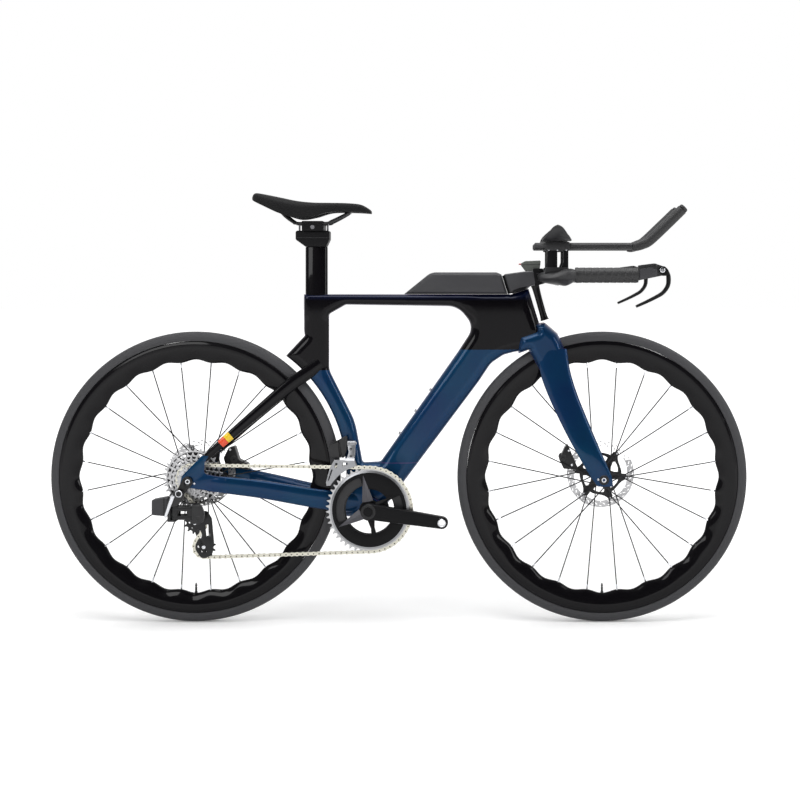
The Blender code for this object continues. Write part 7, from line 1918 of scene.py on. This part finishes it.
def cap_curve(w, top, low):
    rise = top - low
    half = [(0.97 * w, low), (w, low + 0.40 * rise), (0.95 * w, low + 0.76 * rise),
            (0.76 * w, low + 0.955 * rise), (0.40 * w, top)]
    return smooth_stations(half + [(0.0, top - 0.0012)] + [(-y, z) for y, z in reversed(half)], 6)


def offset(points, distance):
    moved, last = [], len(points) - 1
    for k, (y, z) in enumerate(points):
        way = (Vector(points[min(k + 1, last)]) - Vector(points[max(k - 1, 0)])).normalized()
        moved.append((y - way.y * distance, z + way.x * distance if 0 < k < last else z))
    return moved


def sewn(curve, scale, t):
    """The cover's line with a seam near both of its ends and the channel along its middle."""
    deep = CHANNEL_DEEP * smooth_step((t - 0.16) / 0.12) * smooth_step((0.90 - t) / 0.12)
    seams = (5, len(curve) - 6)
    inner = offset(curve, 0.0007 * scale)
    return [(a[0] + (b[0] - a[0]) * (SEAM_DEEP / 0.0007 if k in seams else 0),
             a[1] - deep * 2.718 ** (-(a[0] / CHANNEL_HALF) ** 2))
            for k, (a, b) in enumerate(zip(curve, inner))]


def saddle_skin(start, thickness, dressed=False):
    rows = []
    first, length = saddle_rows[0][0], saddle_rows[-1][0] - saddle_rows[0][0]
    for x, w, top, low in saddle_rows:
        scale = min(1.0, w / 0.030, (top - low) / 0.020)
        curve = cap_curve(w, top, low)
        gap = SKIN_GAP if start else 0.0
        near, far = (offset(curve, depth * scale + gap) for depth in (start, start + thickness))
        if dressed:
            near = sewn(near, scale, (x - first) / length)
        rows.append([Vector((x, y, z)) for y, z in near + far[::-1]])
    return loft(rows)


cushion = piece("saddle_cushion", saddle_skin(0.0, PADDING, dressed=True), "cover", "saddle_padding",
                sharp=75)
piece("saddle_hull", saddle_skin(PADDING, SHELL), "matte_carbon", "saddle_shell", sharp=60)
print("seat", len(made_pieces), "pieces so far")

# %% [markdown]
# ## Small things on the frame
# Three bosses for a bottle cage stand on the down tube, the seat stays carry a yellow and an orange band,
# and a bright screw sits near each axle. They are small, but they are what the eye uses to judge the scale.

# %% Bosses, bands and screws
edge_low, edge_high = (Vector(at(p.x, p.z, c)[0])
                       for p, c in ((BB, (21.5, 105)), (CROWN_POINT, (-190, -6))))
way = (edge_high - edge_low).normalized()
normal = Vector((-way.y, way.x))
bosses = []
for run in (0.2045, 0.1442, 0.0802):
    a, b = (edge_low + way * run + normal * rise for rise in (-0.0030, 0.0042))
    bosses.append(round_bar((a.x, 0, a.y), (b.x, 0, b.y), 0.0034, 20))
beside("bottle_bosses", join(*bosses), "steel", "frame")


def stay_at(x):
    return [float(np.interp(-x, [-r[0] for r in seatstay_rows], [r[i] for r in seatstay_rows]))
            for i in range(5)]


def stay_band(start, end):
    """Thin film over the outer half of each seat stay between two places along it."""
    half = sorted((p for p in oval(1.0, 1.0, 48, 2.4) if p[0] < 0.05), key=lambda p: p[1])
    rows = [stay_at(start + (end - start) * k / 4) for k in range(5)]
    shapes = [[(px * (w + film), py * (h + film)) for film, line in ((0.0004, half), (-0.0004, half[::-1]))
               for px, py in line] for *_, h, w in rows]
    return both_sides(sweep([(x, -side, z) for x, side, z, *_ in rows], shapes))


beside("stay_band_yellow", stay_band(-0.3800, -0.3905), "yellow", "frame")
beside("stay_band_orange", stay_band(-0.3906, -0.4020), "orange", "frame")
screw_head = mm((0.8, 0), (2.4, 0), (2.4, 0.5), (1.8, 1), (0.8, 1))
for name, node, axle, x, side, z in (("dropout_screw", "frame", AXLE_REAR, 0.0150, 0.0776, -0.0045),
                                     ("fork_screw", "fork", AXLE_FRONT, -0.0130, 0.0568, 0.0010)):
    place = side_at(axle + Vector((x, -side, z)))
    repeated(name, lathe(screw_head, 20, LEVEL), [(place, ONCE)], "silver", node)
for which in ("right", "left"):
    dress("bb_cup_" + which, width=0.0004)
print("details", len(made_pieces), "pieces so far")

# %% Closing lines
low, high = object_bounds()
list(low)
list(high)
